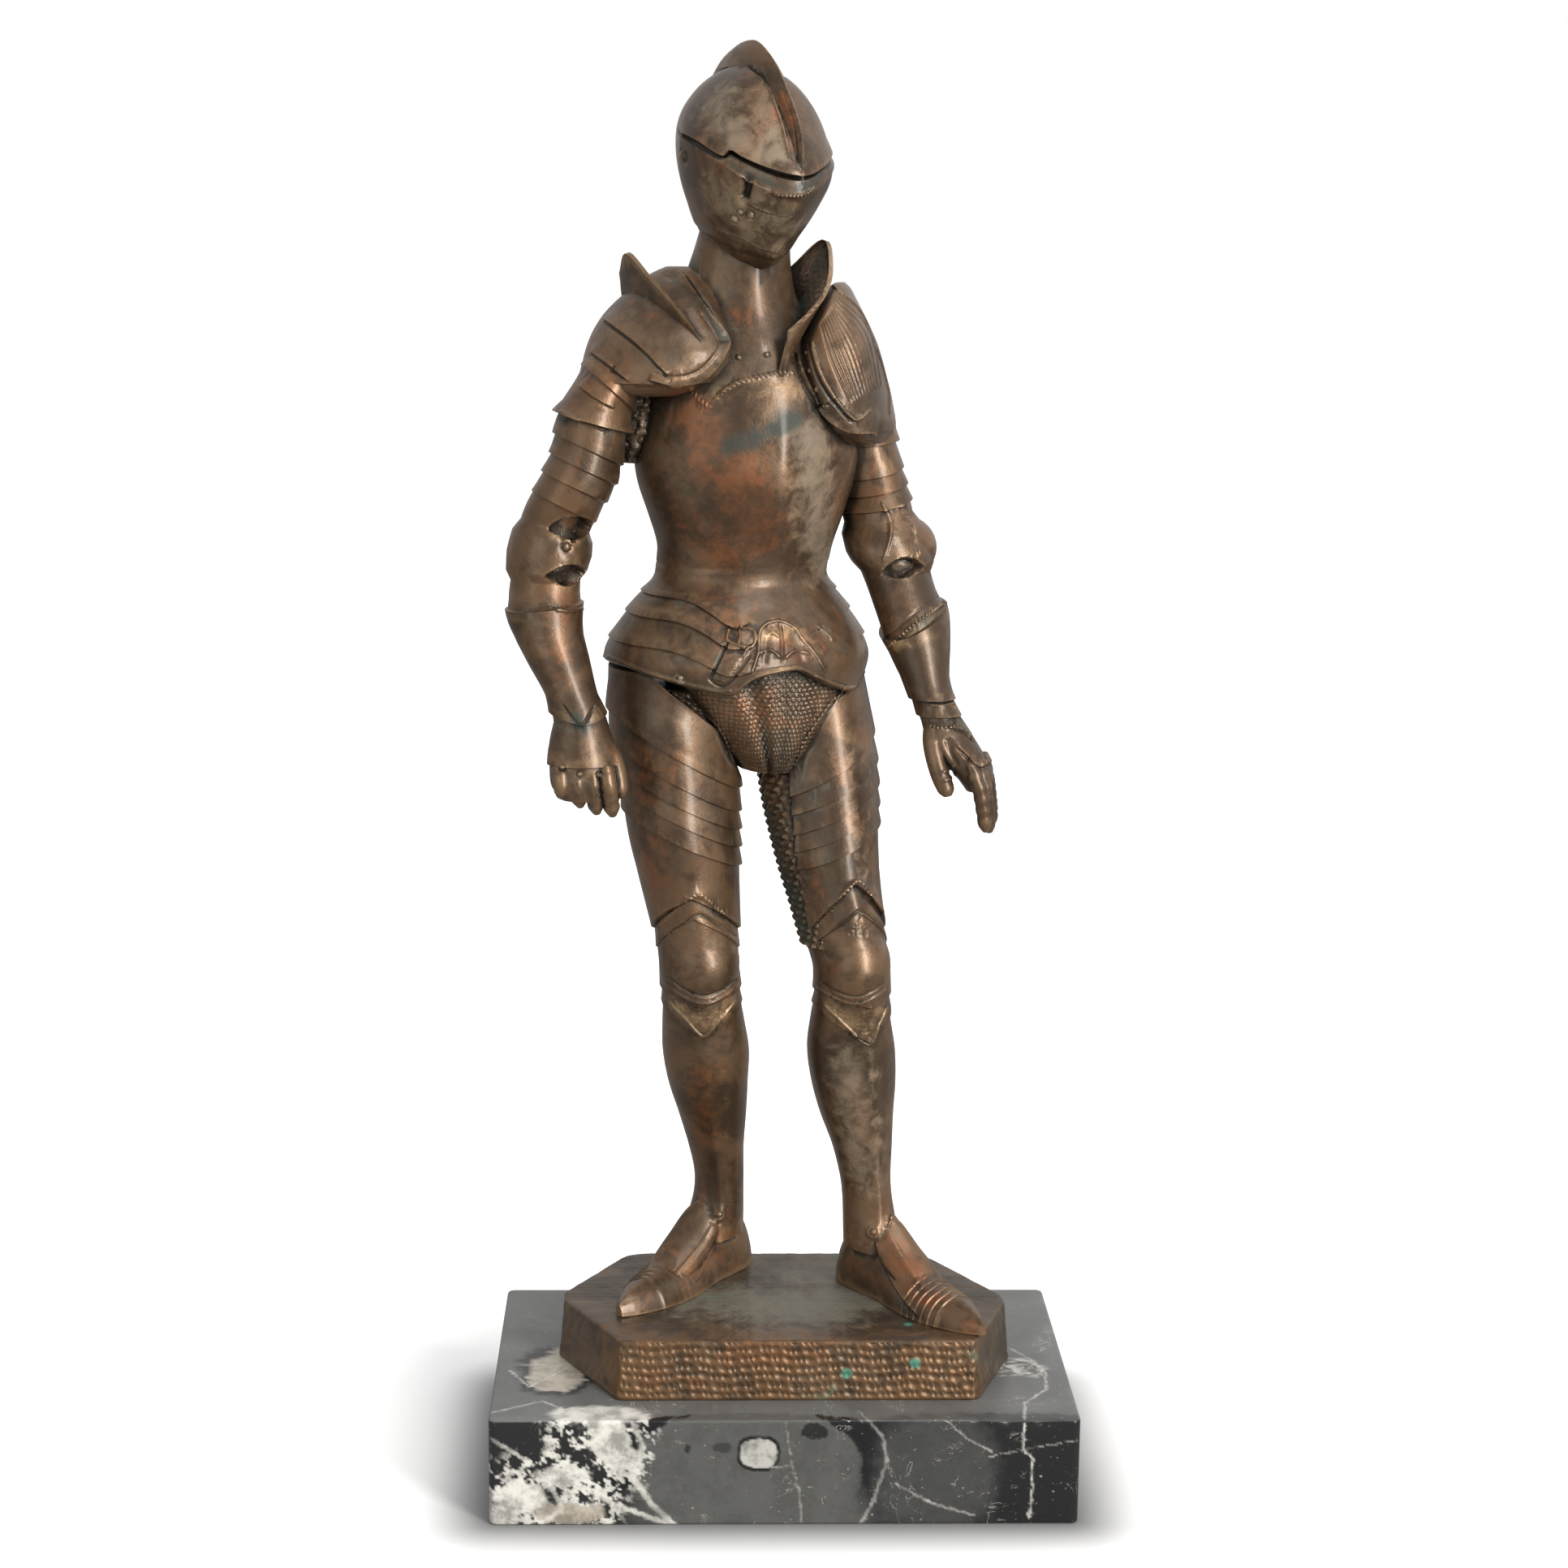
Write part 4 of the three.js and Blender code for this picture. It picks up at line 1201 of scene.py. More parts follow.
LEFT_LEG = Leg(
    table=(
        (16, 25.6, 8.6, 7.8, 9.5, 9), (22, 25, 9, 7.2, 8.6, 8), (28, 24.4, 9.2, 6.9, 8, 8),
        (33, 23.9, 9.2, 7.1, 8, 8.4), (42, 22.9, 8.8, 8.4, 8.8, 9.8), (52, 21.2, 7.6, 10.3, 10.4, 12.4),
        (62, 20.1, 6, 11.8, 11.8, 14), (72, 19.2, 4, 12.2, 12.2, 14.2), (82, 18.7, 1, 11, 11.4, 12.4),
        (90, 18.7, -1.6, 10.2, 11.2, 11), (98, 18.3, -2.6, 10.7, 12, 11), (106, 16.3, -1.4, 11.3, 12, 11.6),
        (115, 14.4, 0.4, 12, 13, 12.6), (124, 12.7, 2, 13.2, 14, 13.6), (133, 11.3, 3.6, 14.3, 15, 14.6),
        (142, 10.1, 5, 15.2, 16, 15.6), (151, 9.2, 6.4, 15.8, 16.4, 16.4), (160, 8.2, 7.8, 15.8, 16.6, 17),
        (170, 7, 9.4, 15.4, 16.6, 17.4), (182, 6, 11, 14.6, 16, 17),
    ),
    turn=22.0,
    laps=((153.8, 9.3), (147.4, 7.7), (141.6, 7.1), (136.5, 6.6), (131.4, 6.3)),
    outer_tilt=6.0,
    chevrons=((107.4, 15.6), (103.2, 11.6), (91.0, -3.2), (86.4, -9.4)),
    knee_half=9.9,
    swell=2.6,
    starts=Curves(
        (
            (100, -76), (119.2, -67.5), (130.5, -61.5), (141.9, -56), (150.6, -53.5), (155.2, -50), (161, -37),
            (167.7, -19), (173, -0.5), (176.5, 16.5), (184, 40),
        )
    ),
    ends=Curves(((100, 126), (184, 126))),
)


@dataclass(frozen=True)
class Foot:
    """A pointed foot plate from heel to toe, with narrow lames over the toes."""

    heel: tuple[float, float]
    toe: tuple[float, float]
    instep: Sequence[tuple[float, float, float, float]]
    arch: int = 26
    profile: Curves = Curves(
        (
            (0, 3.8, 8), (0.05, 7, 14), (0.13, 8.6, 19), (0.25, 8.6, 21), (0.36, 8.2, 16.2), (0.48, 8.9, 11.8),
            (0.6, 9.4, 9), (0.72, 8.7, 7.6), (0.84, 6.6, 6.6), (0.94, 3.6, 4.8), (1, 0.9, 2.8),
        )
    )

    def section(self, share: float, out: float) -> Array:
        """Works out one arch across the foot.

        Args:
            share: How far it lies from heel to toe, from 0 to 1.
            out: How far it stands off the form.

        Returns:
            The points.
        """
        heel, toe = np.array(self.heel), np.array(self.toe)
        along = toe - heel
        side = np.array([-along[1], along[0]]) / np.linalg.norm(along)
        half, height = self.profile.at(np.array(share))
        a = np.linspace(0.0, math.pi, self.arch + 1)
        across = (half + out) * np.sign(np.cos(a)) * np.abs(np.cos(a)) ** 0.9
        ridge = 0.5 * np.exp(-((np.cos(a) / 0.16) ** 2)) * smooth(np.array(share), 0.2, 0.4)
        rise = (height + out + ridge) * np.clip(np.sin(a), 0.0, 1.0) ** 1.15
        flat = heel + along * share
        return np.column_stack([flat + across[:, None] * side, rise])

    def forms(self) -> list[Form]:
        """Makes the closed forms.

        Returns:
            The foot plate and the plate over the instep.
        """
        rows = [self.section(share, 0.0) for share in np.linspace(0.0, 0.52, 26)]
        for share in np.linspace(0.60, 0.80, 6):
            rows += [self.section(share - 0.014, 0.1), self.section(share, 0.3), self.section(share + 0.004, -0.05)]
        rows += [self.section(share, 0.0) for share in np.linspace(0.83, 1.0, 12)]
        return [form_from_rows(np.array(rows)), bar(self.instep, 28, 0.42)]


@dataclass
class Cuirass:
    """Breastplate, backplate, gorget, waist lames, fauld with tassets, and the mail skirt."""

    turn: float = 20.0
    body: Table = (
        (202, -13, 6, 23.5, 17, 16), (209, -12.4, 6, 24.2, 19, 17), (214, -11.8, 6, 24.6, 20.6, 17.6),
        (222, -11.7, 6, 27.2, 23.4, 18.6), (231, -11.8, 6, 30.2, 25.4, 20), (238, -11.6, 6, 31.2, 26, 21),
        (246, -11, 6, 30.4, 25.4, 21.6), (256, -10.2, 6, 29, 23, 21), (262, -10.6, 6, 27.6, 20.6, 20.4),
        (268, -11.6, 6, 24.4, 18, 18.8), (274, -12.8, 6, 18.8, 15.6, 17), (280, -13.6, 5.6, 15.4, 13.6, 15.2),
        (286, -13.9, 5, 14.2, 12.8, 13.8), (292, -13.2, 4, 13, 11.8, 12.4), (300, -12, 2, 11.8, 11.6, 11.6),
    )
    fauld: Table = (
        (164, -13, 6, 29, 25.5, 25), (175, -13, 6, 33.6, 28, 27.4), (180, -13.2, 6, 35.8, 29.4, 28.8),
        (183.5, -13.6, 6, 36.8, 30, 29.4), (187, -13.8, 6, 36, 29.4, 28.6), (191, -13.6, 6, 33.8, 27.6, 26.6),
        (195.5, -13.5, 6, 31, 25.4, 24.2), (200, -13.4, 6, 27.8, 22.6, 21.2), (204.4, -13, 6, 24.4, 19, 17.6),
        (210, -12.4, 6, 24.3, 19.3, 17.1),
    )
    skirt: Table = (
        (151, -6.6, -2, 5.4, 10.4, 8), (155, -6.6, -1, 8, 13.6, 11), (160, -6.8, 0, 13, 16.8, 14),
        (168, -7.2, 2, 19.5, 20.4, 18), (176, -8.2, 4, 25.5, 22.6, 21), (184, -9, 5, 28, 23.5, 22),
    )
    lames: Triple = (201.2, 195.8, 188.7)
    hem_rows: Table = ((1.2, 0.35), (0.2, 0.8), (-0.3, 0.4), (-0.4, -2.2))
    droop: Curves = Curves(
        (
            (-180, 0), (-60, 0), (-44, -0.8), (-32, -3.2), (-22, -6.2), (-15, -6.2), (-9, -4.6), (0, -4), (20, -3),
            (60, 0), (180, 0),
        )
    )
    hem: Curves = Curves(
        (
            (-180, 179.5), (-140, 181.5), (-103, 182.9), (-74, 183), (-63.5, 181.9), (-47, 179.9), (-38, 178.5),
            (-29, 177.5), (-20, 177.1), (-15.5, 179.3), (-10.5, 181.4), (-0.5, 182.9), (9.5, 183.2), (18, 180.4),
            (26.5, 178.1), (37, 176.1), (50, 174.4), (64, 174), (84, 176), (110, 179), (150, 179.5), (180, 179.5),
        )
    )

    @staticmethod
    def lamed(angle: Array) -> Array:
        """1 where the fauld's lames show, and 0 over the fluted arch and the left front."""
        turned = wrapped(angle)
        return np.where(turned < 0, smooth(-turned, 9.0, 17.0), smooth(turned, 52.0, 76.0))

    def droop_heights(self, angle: Array) -> Array:
        """How far the lames' edges turn down beside the middle."""
        return self.droop.at(wrapped(angle))[..., 0]

    def hem_heights(self, angle: Array) -> Array:
        """The hem: the tassets hang low either side of the middle and leave an arch at the front."""
        return self.hem.at(wrapped(angle))[..., 0]

    @staticmethod
    def keel(angle: Array, height: Array) -> Array:
        """The sharp ridge down the breastplate."""
        along = smooth(height, 210.0, 218.0) * (1.0 - smooth(height, 240.0, 256.0))
        return 0.75 * along * np.exp(-((wrapped(angle) / 5.0) ** 2))

    @staticmethod
    def crease(angle: Array, height: Array) -> Array:
        """Mail rings with the fold down the middle of the skirt.

        Args:
            angle: The angles, in degrees.
            height: The heights.

        Returns:
            The distances off the form.
        """
        rings = rings_of_mail(1.36, 1.24, 0.44, 19.0)(angle, height)
        folded = wrapped(angle)
        return rings - 1.9 * np.exp(-(((folded + 22.0) / 7.0) ** 2)) - 0.7 * np.exp(-(((folded + 4.0) / 9.0) ** 2))

    def forms(self) -> list[Form]:
        """Makes the closed forms.

        Returns:
            The breastplate and gorget, the fauld and the skirt.
        """
        chest = loft(
            Trunk(self.body, self.turn, 1.0).at,
            [*level(300, 295, 291, 287, 281, 272, 262, 253, 245, 237, 229, 221, 214, 209.5), Row(204, out=-0.6)],
            108,
            1.8,
            self.keel,
        )
        fauld = loft(
            Trunk(self.fauld, self.turn, 0.6).at,
            [
                Row(210, out=-0.9), Row(208.4, out=-0.1), Row(206),
                *(row for h in self.lames for row in lap(h, 0.8, edge=self.droop_heights, part=self.lamed)),
                *(Row(h, edge=self.hem_heights, out=out) for h, out in self.hem_rows),
            ],
            140,
            1.5,
        )
        skirt = loft(
            Trunk(self.skirt, self.turn).at,
            level(184, 175, 168, 162, 156.5, 153.4),
            236,
            0.34,
            self.crease,
            0.56,
        )
        return [chest, fauld, skirt]


@dataclass
class Shoulders:
    """The two shoulder plates with their upright neck guards."""

    right: Table = (
        (253.5, -41, -4, 11, 13, 11), (257, -40, -4, 15.8, 19, 14.8), (261, -38.5, -3.6, 17.4, 22.6, 16.8),
        (266, -37, -3, 17.8, 24, 17.6), (271, -36, -2, 16.4, 22, 17), (276, -34.6, -0.8, 13.6, 18.6, 15.4),
        (281, -32.6, 0.6, 10.4, 14.6, 12), (286, -30.4, 2, 6, 9, 7.4), (288, -29.8, 2.4, 2.6, 4, 3.4),
    )
    left: Table = (
        (240, 20.5, 8, 5, 11, 11), (244, 18.4, 7.6, 9.4, 17, 16), (251, 15.8, 7, 11.8, 21, 20),
        (259, 13.6, 6.6, 12.2, 22, 21), (267, 12.4, 6.6, 11, 21, 20.4), (273, 12.4, 7.2, 8.2, 18, 18.4),
        (279, 12.6, 8.2, 4.8, 13, 13.6), (282.4, 13, 9, 2.6, 8, 9), (284, 13.2, 9.4, 0.8, 3, 4),
    )
    right_guard: tuple[Table, Table] = (
        (
            (-22.6, -18.4, 260), (-25.6, -17.4, 264), (-31.6, -13, 269), (-37.6, -7, 273), (-42, -1, 275),
            (-43.6, 5, 273),
        ),
        (
            (-22.2, -20, 266), (-25.6, -20, 272), (-31.6, -17, 279), (-38, -11, 285.6), (-43.8, -4, 291.4),
            (-45.6, 1.6, 286),
        ),
    )
    left_guard: tuple[Table, Table] = (
        ((-4, 13, 272), (-2, 9, 270), (-1.4, 3, 268), (-1.4, -3.4, 266), (-1.6, -10, 263), (-2.4, -15, 260)),
        (
            (0.5, 14, 287), (9.2, 8.4, 294.8), (10.8, 2.4, 287.8), (9, -4.4, 281.4), (4.6, -11.4, 276.4),
            (-0.6, -16.4, 272),
        ),
    )

    def forms(self) -> list[Form]:
        """Makes the closed forms.

        Returns:
            The shoulder plates and the neck guards.
        """
        right = loft(
            Trunk(self.right, 55.0).at,
            [*level(287.8, 286, 281, 275.5, 269), Row(263, out=0.2), *lap(258.6, 1.0), Row(255)],
            72,
            1.6,
        )
        left = loft(
            Trunk(self.left, -12.0).at,
            [*level(283.6, 279.4, 273, 266, 258), Row(251, out=0.2), *lap(245, 0.8), Row(241.6)],
            72,
            1.6,
        )
        guards = [blade(foot, crest, 2.0, 0.6) for foot, crest in (self.right_guard, self.left_guard)]
        return [right, left, *guards]


@dataclass
class Arms:
    """Both arms: shoulder lames, elbow plates and forearm plates, over mail at the armpits."""

    right: Table = (
        (164, -55.3, -21, 8.2, 6.4, 6), (168.5, -55.6, -20, 7.3, 6.2, 6), (173, -57, -19, 7, 6.6, 6.6),
        (177, -58.6, -17.8, 7.2, 7.2, 7.2), (185, -62, -14.6, 8.6, 8.6, 8.6), (193, -65, -11.4, 9.6, 9.6, 9.8),
        (200, -65.7, -8.6, 9.9, 9.8, 10.2), (206, -65.3, -6.4, 10, 10, 10.6), (212, -64.4, -5.2, 10.2, 10, 10.8),
        (219, -63, -5.2, 10.2, 10, 10.8), (225, -60.4, -6.4, 10.5, 10.2, 10.6), (232, -56.6, -8, 10.4, 10.2, 10.4),
        (240, -54, -9, 9.5, 10, 10.4), (250, -52, -9, 9.6, 10.6, 10.8), (258, -48.4, -8.2, 8.8, 11.4, 11.6),
        (267, -44.4, -6.2, 8, 11.6, 12), (276, -40, -3.6, 6.4, 9.6, 10),
    )
    left: Table = (
        (163, 43, -12, 6.4, 5.4, 5.4), (167.4, 41.5, -10.6, 5.6, 5.4, 5.4), (171.4, 39.9, -9, 5.6, 5.6, 5.8),
        (176, 38, -6.8, 6, 6.2, 6.4), (181, 36.6, -4.4, 7.1, 7.2, 7.4), (188, 35.2, -1, 8.6, 8.4, 8.8),
        (196, 33.2, 3, 9.8, 9.4, 9.8), (202, 30.8, 5.6, 9.8, 9.6, 10), (208.6, 28.8, 8.4, 10.8, 10.2, 11),
        (213, 27.4, 9.6, 10.8, 10.4, 11.2), (219, 25.4, 11.2, 10.2, 10.4, 11), (226, 23.8, 13, 9.2, 10.2, 10.4),
        (232, 22.2, 14, 9, 10.2, 10.2), (240, 20, 15, 9.2, 10.4, 10.4), (248, 18, 15.2, 9.4, 10.8, 10.6),
        (258, 15.2, 14.6, 9.4, 11, 10.8), (267, 13, 13.6, 9, 10.6, 10.6),
    )
    sides: int = 52

    def arm(
        self, table: Table, turn: float, rows: Sequence[Row], elbow: Table, armpit: Table, ends: tuple[float, float]
    ) -> list[Form]:
        """Makes an arm's closed forms.

        Args:
            table: The arm's rows.
            turn: Where its front faces, in degrees.
            rows: The plates from the shoulder down.
            elbow: The elbow's middle and half sizes.
            armpit: The mail's rows.
            ends: The mail's upper and lower ends.

        Returns:
            The plated arm, its elbow and the mail.
        """
        mail = rings_of_mail(2.3, 2.1, 0.9, 7.5)
        return [
            loft(Trunk(table, turn).at, rows, self.sides, 1.6),
            lump(*elbow, 36),
            loft(Trunk(armpit, 0.0).at, level(*ends), 60, 0.75, mail),
        ]

    def forms(self) -> list[Form]:
        """Makes the closed forms.

        Returns:
            Both plated arms with their elbows and mail.
        """
        right_rows = [
            Row(272), *lap(263.6, 0.9, tilt=-8.0), *lap(256.6, 0.9, tilt=-6.0), Row(250.4, tilt=-3.0, out=0.6),
            *lap(247.6, 2.1, tilt=-3.0), *lap(240.4, 0.8, tilt=-4.4), *lap(235.2, 0.8, tilt=-4.4),
            *lap(230.2, 0.8, tilt=-4.4), *lap(224.8, 0.5, tilt=-4.4), Row(219.4, tilt=-2.0, out=-0.4),
            Row(216.6, tilt=-2.0, out=1.0), Row(212, tilt=-1.0, out=1.4), Row(207.6, out=0.9), Row(205, out=-0.6),
            Row(201, tilt=1.0, out=-0.4), *lap_up(198.4, 0.8, tilt=1.0), *level(191, 183, 176),
            *lap(171.4, 0.8, peak=-2.6), Row(165),
        ]
        left_rows = [
            *level(263, 250), *lap(240.6, 1.3, tilt=1.0), *lap(232.6, 0.8, tilt=2.0), *lap(228.2, 0.8, tilt=2.0),
            *lap(224, 0.8, tilt=2.0), Row(220.4, tilt=2.0, out=-0.4), Row(217.4, tilt=2.0, out=1.0),
            Row(212, tilt=1.0, out=1.2), Row(208.6, out=0.6), Row(206, out=-0.8), Row(200.4, tilt=3.0, out=-0.4),
            *lap_up(193.6, 1.2, tilt=5.0), Row(186, tilt=1.0, out=0.4), Row(179.4), *lap(173.6, 0.7),
            *lap(169.4, 0.7), Row(164),
        ]
        right_armpit = ((236, -41, 1, 4.4, 5), (241, -41, 1, 7, 7.8), (247, -41, 1, 8, 9), (257, -41, 1, 6, 7))
        left_armpit = ((235, 12, 13, 4.4, 5), (241, 12, 13, 7, 7.8), (248, 12, 13, 8, 9), (259, 12, 13, 6, 7))
        right_elbow, left_elbow = ((-65.4, 0.4, 212), (9.4, 9.6, 9)), ((31, 12, 212), (10, 11.4, 9))
        return [
            *self.arm(self.right, 10.0, right_rows, right_elbow, right_armpit, (257, 236)),
            *self.arm(self.left, 30.0, left_rows, left_elbow, left_armpit, (259, 235)),
        ]


def finger(knuckle: Sequence[float], bend: Sequence[float], tip: Sequence[float], radius: float) -> Form:
    """Makes an armoured finger, thicker at its joints.

    Args:
        knuckle: Where it starts.
        bend: Its middle joint.
        tip: Where it ends.
        radius: Its radius.

    Returns:
        The finger.
    """
    start, middle, end = (np.array(p, float) for p in (knuckle, bend, tip))
    bent = smooth_path((start, start * 0.5 + middle * 0.5 + (0.0, -0.4, 0.0), middle, end), 0.5)
    lames = even_path(bent, lengths(np.diff(bent, axis=0)).sum() / 11.0)
    points = [(*place, radius * (0.93 if k % 2 else 1.04) * (1.0 - 0.012 * k)) for k, place in enumerate(lames)]
    root = (*(start + np.array([0.0, 1.0, 2.0])), radius * 0.6)
    nail = (*(end + unit(end - middle) * radius * 0.75), radius * 0.4)
    return bar([root, *points, nail])


@dataclass
class Hands:
    """Both gauntlets: a closed right hand and an open left hand."""

    right_palm: Table = (
        (148, -53, -23, 7.4, 5), (152, -54.2, -23, 9.2, 6.2), (157, -54.6, -22.4, 9.4, 6.8),
        (163, -55.3, -21.2, 8.8, 6.6), (170, -55.8, -19.8, 6.8, 6),
    )
    left_palm: Table = (
        (149, 52, -14.6, 3.6, 3.4), (152, 51.2, -14.8, 5, 4.4), (155, 49.6, -14.8, 5.8, 4.8),
        (159, 46.8, -13.8, 6.6, 5.2), (164, 43.6, -12, 6.6, 5.2), (170, 40.8, -9.6, 5.2, 5),
    )
    right_thumb: Table = (
        (-49, -20, 163, 2.4), (-46.6, -22.6, 158, 2.5), (-45.4, -24, 153.6, 2.4), (-45.2, -24.4, 150.4, 2.1),
        (-45.2, -24.4, 149, 1.0),
    )
    left_thumb: Table = (
        (39.2, -12, 168, 2.5), (38.8, -15, 162.6, 2.7), (40.4, -17.6, 155.4, 2.6), (42.4, -18.6, 150.4, 2.3),
        (42.9, -18.8, 148.6, 1.1),
    )
    right_fingers: Table = ((-60.8, 150.4, -60.0), (-56.8, 148.4, -55.8), (-52.8, 146.6, -51.4), (-48.9, 146, -47.2))
    left_fingers: Table = (
        (49.0, -18.2, 53.2, 140.4), (51.0, -16.2, 54.4, 139.8), (52.4, -13.8, 55.2, 141.2),
        (53.0, -11.4, 55.4, 143.6),
    )

    def right_forms(self) -> list[Form]:
        """Makes the right gauntlet.

        Returns:
            The palm, the thumb and the fingers.
        """
        rows = [*level(169, 163), *lap(158, 0.6), *level(152, 148.4)]
        made = [loft(Trunk(self.right_palm, 10.0).at, rows, 44, 1.2)]
        for x, low, tip in self.right_fingers:
            bend = (x + (tip - x) * 0.5, -27.4, 152.4)
            made.append(finger((x, -26.0, 156.8), bend, (tip, -25.4, low), 2.55))
        return [*made, bar(self.right_thumb)]

    def left_forms(self) -> list[Form]:
        """Makes the left gauntlet.

        Returns:
            The palm, the thumb and the fingers.
        """
        rows = level(169, 163.6, 158, 154, 149.4)
        made = [loft(Trunk(self.left_palm, 30.0).at, rows, 44, 1.2)]
        for x, y, tip, low in self.left_fingers:
            bend = (x + (tip - x) * 0.62, y - 1.2, 149.6)
            made.append(finger((x, y, 157.0), bend, (tip, y - 0.2, low), 2.2))
        return [*made, bar(self.left_thumb)]

    def forms(self) -> list[Form]:
        """Both gauntlets' closed forms."""
        return self.right_forms() + self.left_forms()


@dataclass
class Helmet:
    """The closed helmet: bowl and comb, the sight, the visor and the bevor."""

    middle: Triple = (-10.5, -3.0, 318.0)
    bow: float = 20.0
    turn: float = 28.5
    sides: int = 120
    profile: Curves = Curves(
        (
            (-27.6, 6.4, 12.6, 7), (-25, 9.2, 16.4, 10.6), (-21.5, 11.4, 18.8, 14.4), (-17, 13.8, 20.8, 19),
            (-12, 15.9, 23, 23), (-6, 17.7, 25.2, 26), (0, 18.5, 26.4, 27.2), (5, 18, 23.8, 26.2),
            (10, 16, 19.4, 23.6), (14, 13.4, 14.8, 20.4), (17.5, 10, 9.6, 16), (20, 6.4, 5, 11),
            (21.6, 2.6, 1.6, 5),
        )
    )
    comb: Curves = Curves(
        (
            (0, 27.6, -2.2, -6, 0.8), (1, 26, 4, -4, 1.6), (2, 23, 11, 0, 2.4), (3, 18, 16.2, 4, 3.4),
            (4, 11.6, 20.4, 8, 4.2), (5, 2.8, 25, 10, 4.7), (6, -6.6, 27.1, 10, 4.8), (7, -13, 25.6, 9, 4.6),
            (8, -18.8, 21.8, 7, 4), (9, -24, 15.8, 3, 3), (10, -26.4, 4, -3, 1.2),
        )
    )
    brow: Curves = Curves(
        (
            (-180, 1), (-116, 1.5), (-96, 3.3), (-81, 3.9), (-60, 3.7), (-56.5, 5.7), (-46, 5.2), (-21, 4.2),
            (0, 3.8), (21, 4.4), (46, 5.2), (72, 4.6), (96, 3.3), (116, 1.5), (180, 1),
        )
    )
    sill: Curves = Curves(
        (
            (-180, 0), (-115, 0.7), (-95, 2), (-66, 1.7), (-54, 1.2), (-39, -0.1), (-22, -1.3), (-6, -1.0),
            (9, 0.2), (40, 2.6), (66, 2.4), (95, 2), (115, 0.7), (180, 0),
        )
    )

    def place(self, forward: Array, side: Array, up: Array) -> Array:
        """Brings points of the head's own frame into the row frame.

        Args:
            forward: The distances ahead.
            side: The distances to the left.
            up: The distances up.

        Returns:
            The points.
        """
        bow, turn = math.radians(self.bow), math.radians(self.turn)
        ahead = forward * math.cos(bow) + up * math.sin(bow)
        rise = up * math.cos(bow) - forward * math.sin(bow)
        x = self.middle[0] + ahead * math.sin(turn) + side * math.cos(turn)
        y = self.middle[1] - ahead * math.cos(turn) + side * math.sin(turn)
        return np.stack([x, y, self.middle[2] + rise], axis=-1)

    def at(self, angle: Array, up: Array, out: Array) -> Array:
        """Works out points on the helmet or off it.

        Args:
            angle: The angles, in degrees from the front.
            up: The heights in the head's own frame.
            out: The distances off the form.

        Returns:
            The points.
        """
        values = self.profile.at(up)
        c, s = np.cos(np.radians(angle)), np.sin(np.radians(angle))
        reach = np.where(c > 0, values[..., 1] + 1.2 * bump(angle, 0.0, 30.0), values[..., 2])
        return self.place((reach + out) * c, (values[..., 0] + out) * s, up)

    def border(self, share: float) -> Callable[[Array], Array]:
        """An edge that lies a share of the way from the brow down to the visor's upper edge.

        Args:
            share: The share of the way.

        Returns:
            The edge's height at each angle.
        """

        def edge(angle: Array) -> Array:
            """Works out the edge.

            Args:
                angle: The angles, in degrees.

            Returns:
                The heights.
            """
            turned = wrapped(angle)
            brow, sill = self.brow.at(turned)[..., 0], self.sill.at(turned)[..., 0]
            return brow + (sill - brow) * share

        return edge

    @staticmethod
    def front(angle: Array) -> Array:
        """1 round the front as far as the pivots, and 0 round the nape."""
        turned = angle % 360.0
        return 1.0 - smooth(np.minimum(turned, 360.0 - turned), 102.0, 120.0)

    def forms(self) -> list[Form]:
        """Makes the closed forms.

        Returns:
            The bowl with its visor, and the comb.
        """
        sight = ((0.0, 0.7), (0.04, 0.6), (0.07, -3.4), (0.31, -3.4), (0.34, -0.2), (0.92, 0.35), (1.0, 0.8))
        bowl = loft(
            self.at,
            [
                *level(21, 18.6, 14.6, 10.6, 7.6),
                *(Row(0, edge=self.border(share), out=out, part=self.front) for share, out in sight),
                Row(-0.6, edge=self.border(1.0), out=0.75, part=self.front),
                Row(-1.4, edge=self.border(1.0), out=0.4, part=self.front),
                *level(-7, -12, -17), *lap(-21.4, 0.4), *level(-25, -27.2),
            ],
            self.sides,
            1.3,
        )
        where = np.linspace(0.0, 10.0, 60)
        forward, crest, foot, half = (self.comb.at(where)[:, k] for k in range(4))
        round_way = np.linspace(-1.0, 1.0, 23)
        share = 1.0 - np.abs(round_way)
        thin = (1.0 - 0.66 * share**1.1) * np.sqrt(np.clip(1.0 - share**7, 0.0, 1.0))
        rise = foot[:, None] + (crest - foot)[:, None] * share[None, :] ** 0.8
        lean = forward[:, None] - 2.4 * (1.0 - share)[None, :]
        side = half[:, None] * (np.sign(round_way) * thin)[None, :]
        comb = form_from_rows(self.place(lean, side, rise))
        return [bowl, comb]

    def ridge(self) -> list[Array]:
        """Finds points along the comb's ridge, from the brow to the nape.

        Returns:
            The points, in millimetres.
        """
        values = self.comb.at(np.linspace(0.4, 9.6, 40))
        points = self.place(values[:, 0], np.zeros(len(values)), values[:, 1])
        return list(points + np.array([0.0, 0.0, BASE_TOP]))


def between(first: Table, last: Table, count: int) -> list[Array]:
    """Lines of marks spread evenly between a first and a last line."""
    a, b = np.array(first, float), np.array(last, float)
    return [a + (b - a) * t for t in np.linspace(0.0, 1.0, count)]


def stipple(points: Array) -> Array:
    """A close dotted texture, as punched into wax before casting."""
    x, y, z = points.T
    return 0.16 * ripple(x * 4.2, y * 4.2, z * 4.2, 3.0) + 0.08 * ripple(x * 7.5, y * 7.5, z * 7.5, 5.0)


@dataclass(frozen=True)
class Tint:
    """A soft tint of the patina, a painted highlight or painted light, round a line of marks.

    Attributes:
        name: The attribute that keeps it: green, red, gold or pale.
        marks: Pixels of the main view.
        radius: How far it reaches, in millimetres.
        strength: How strong it is at the marks.
    """

    name: str
    marks: Table
    radius: float
    strength: float = 1.0


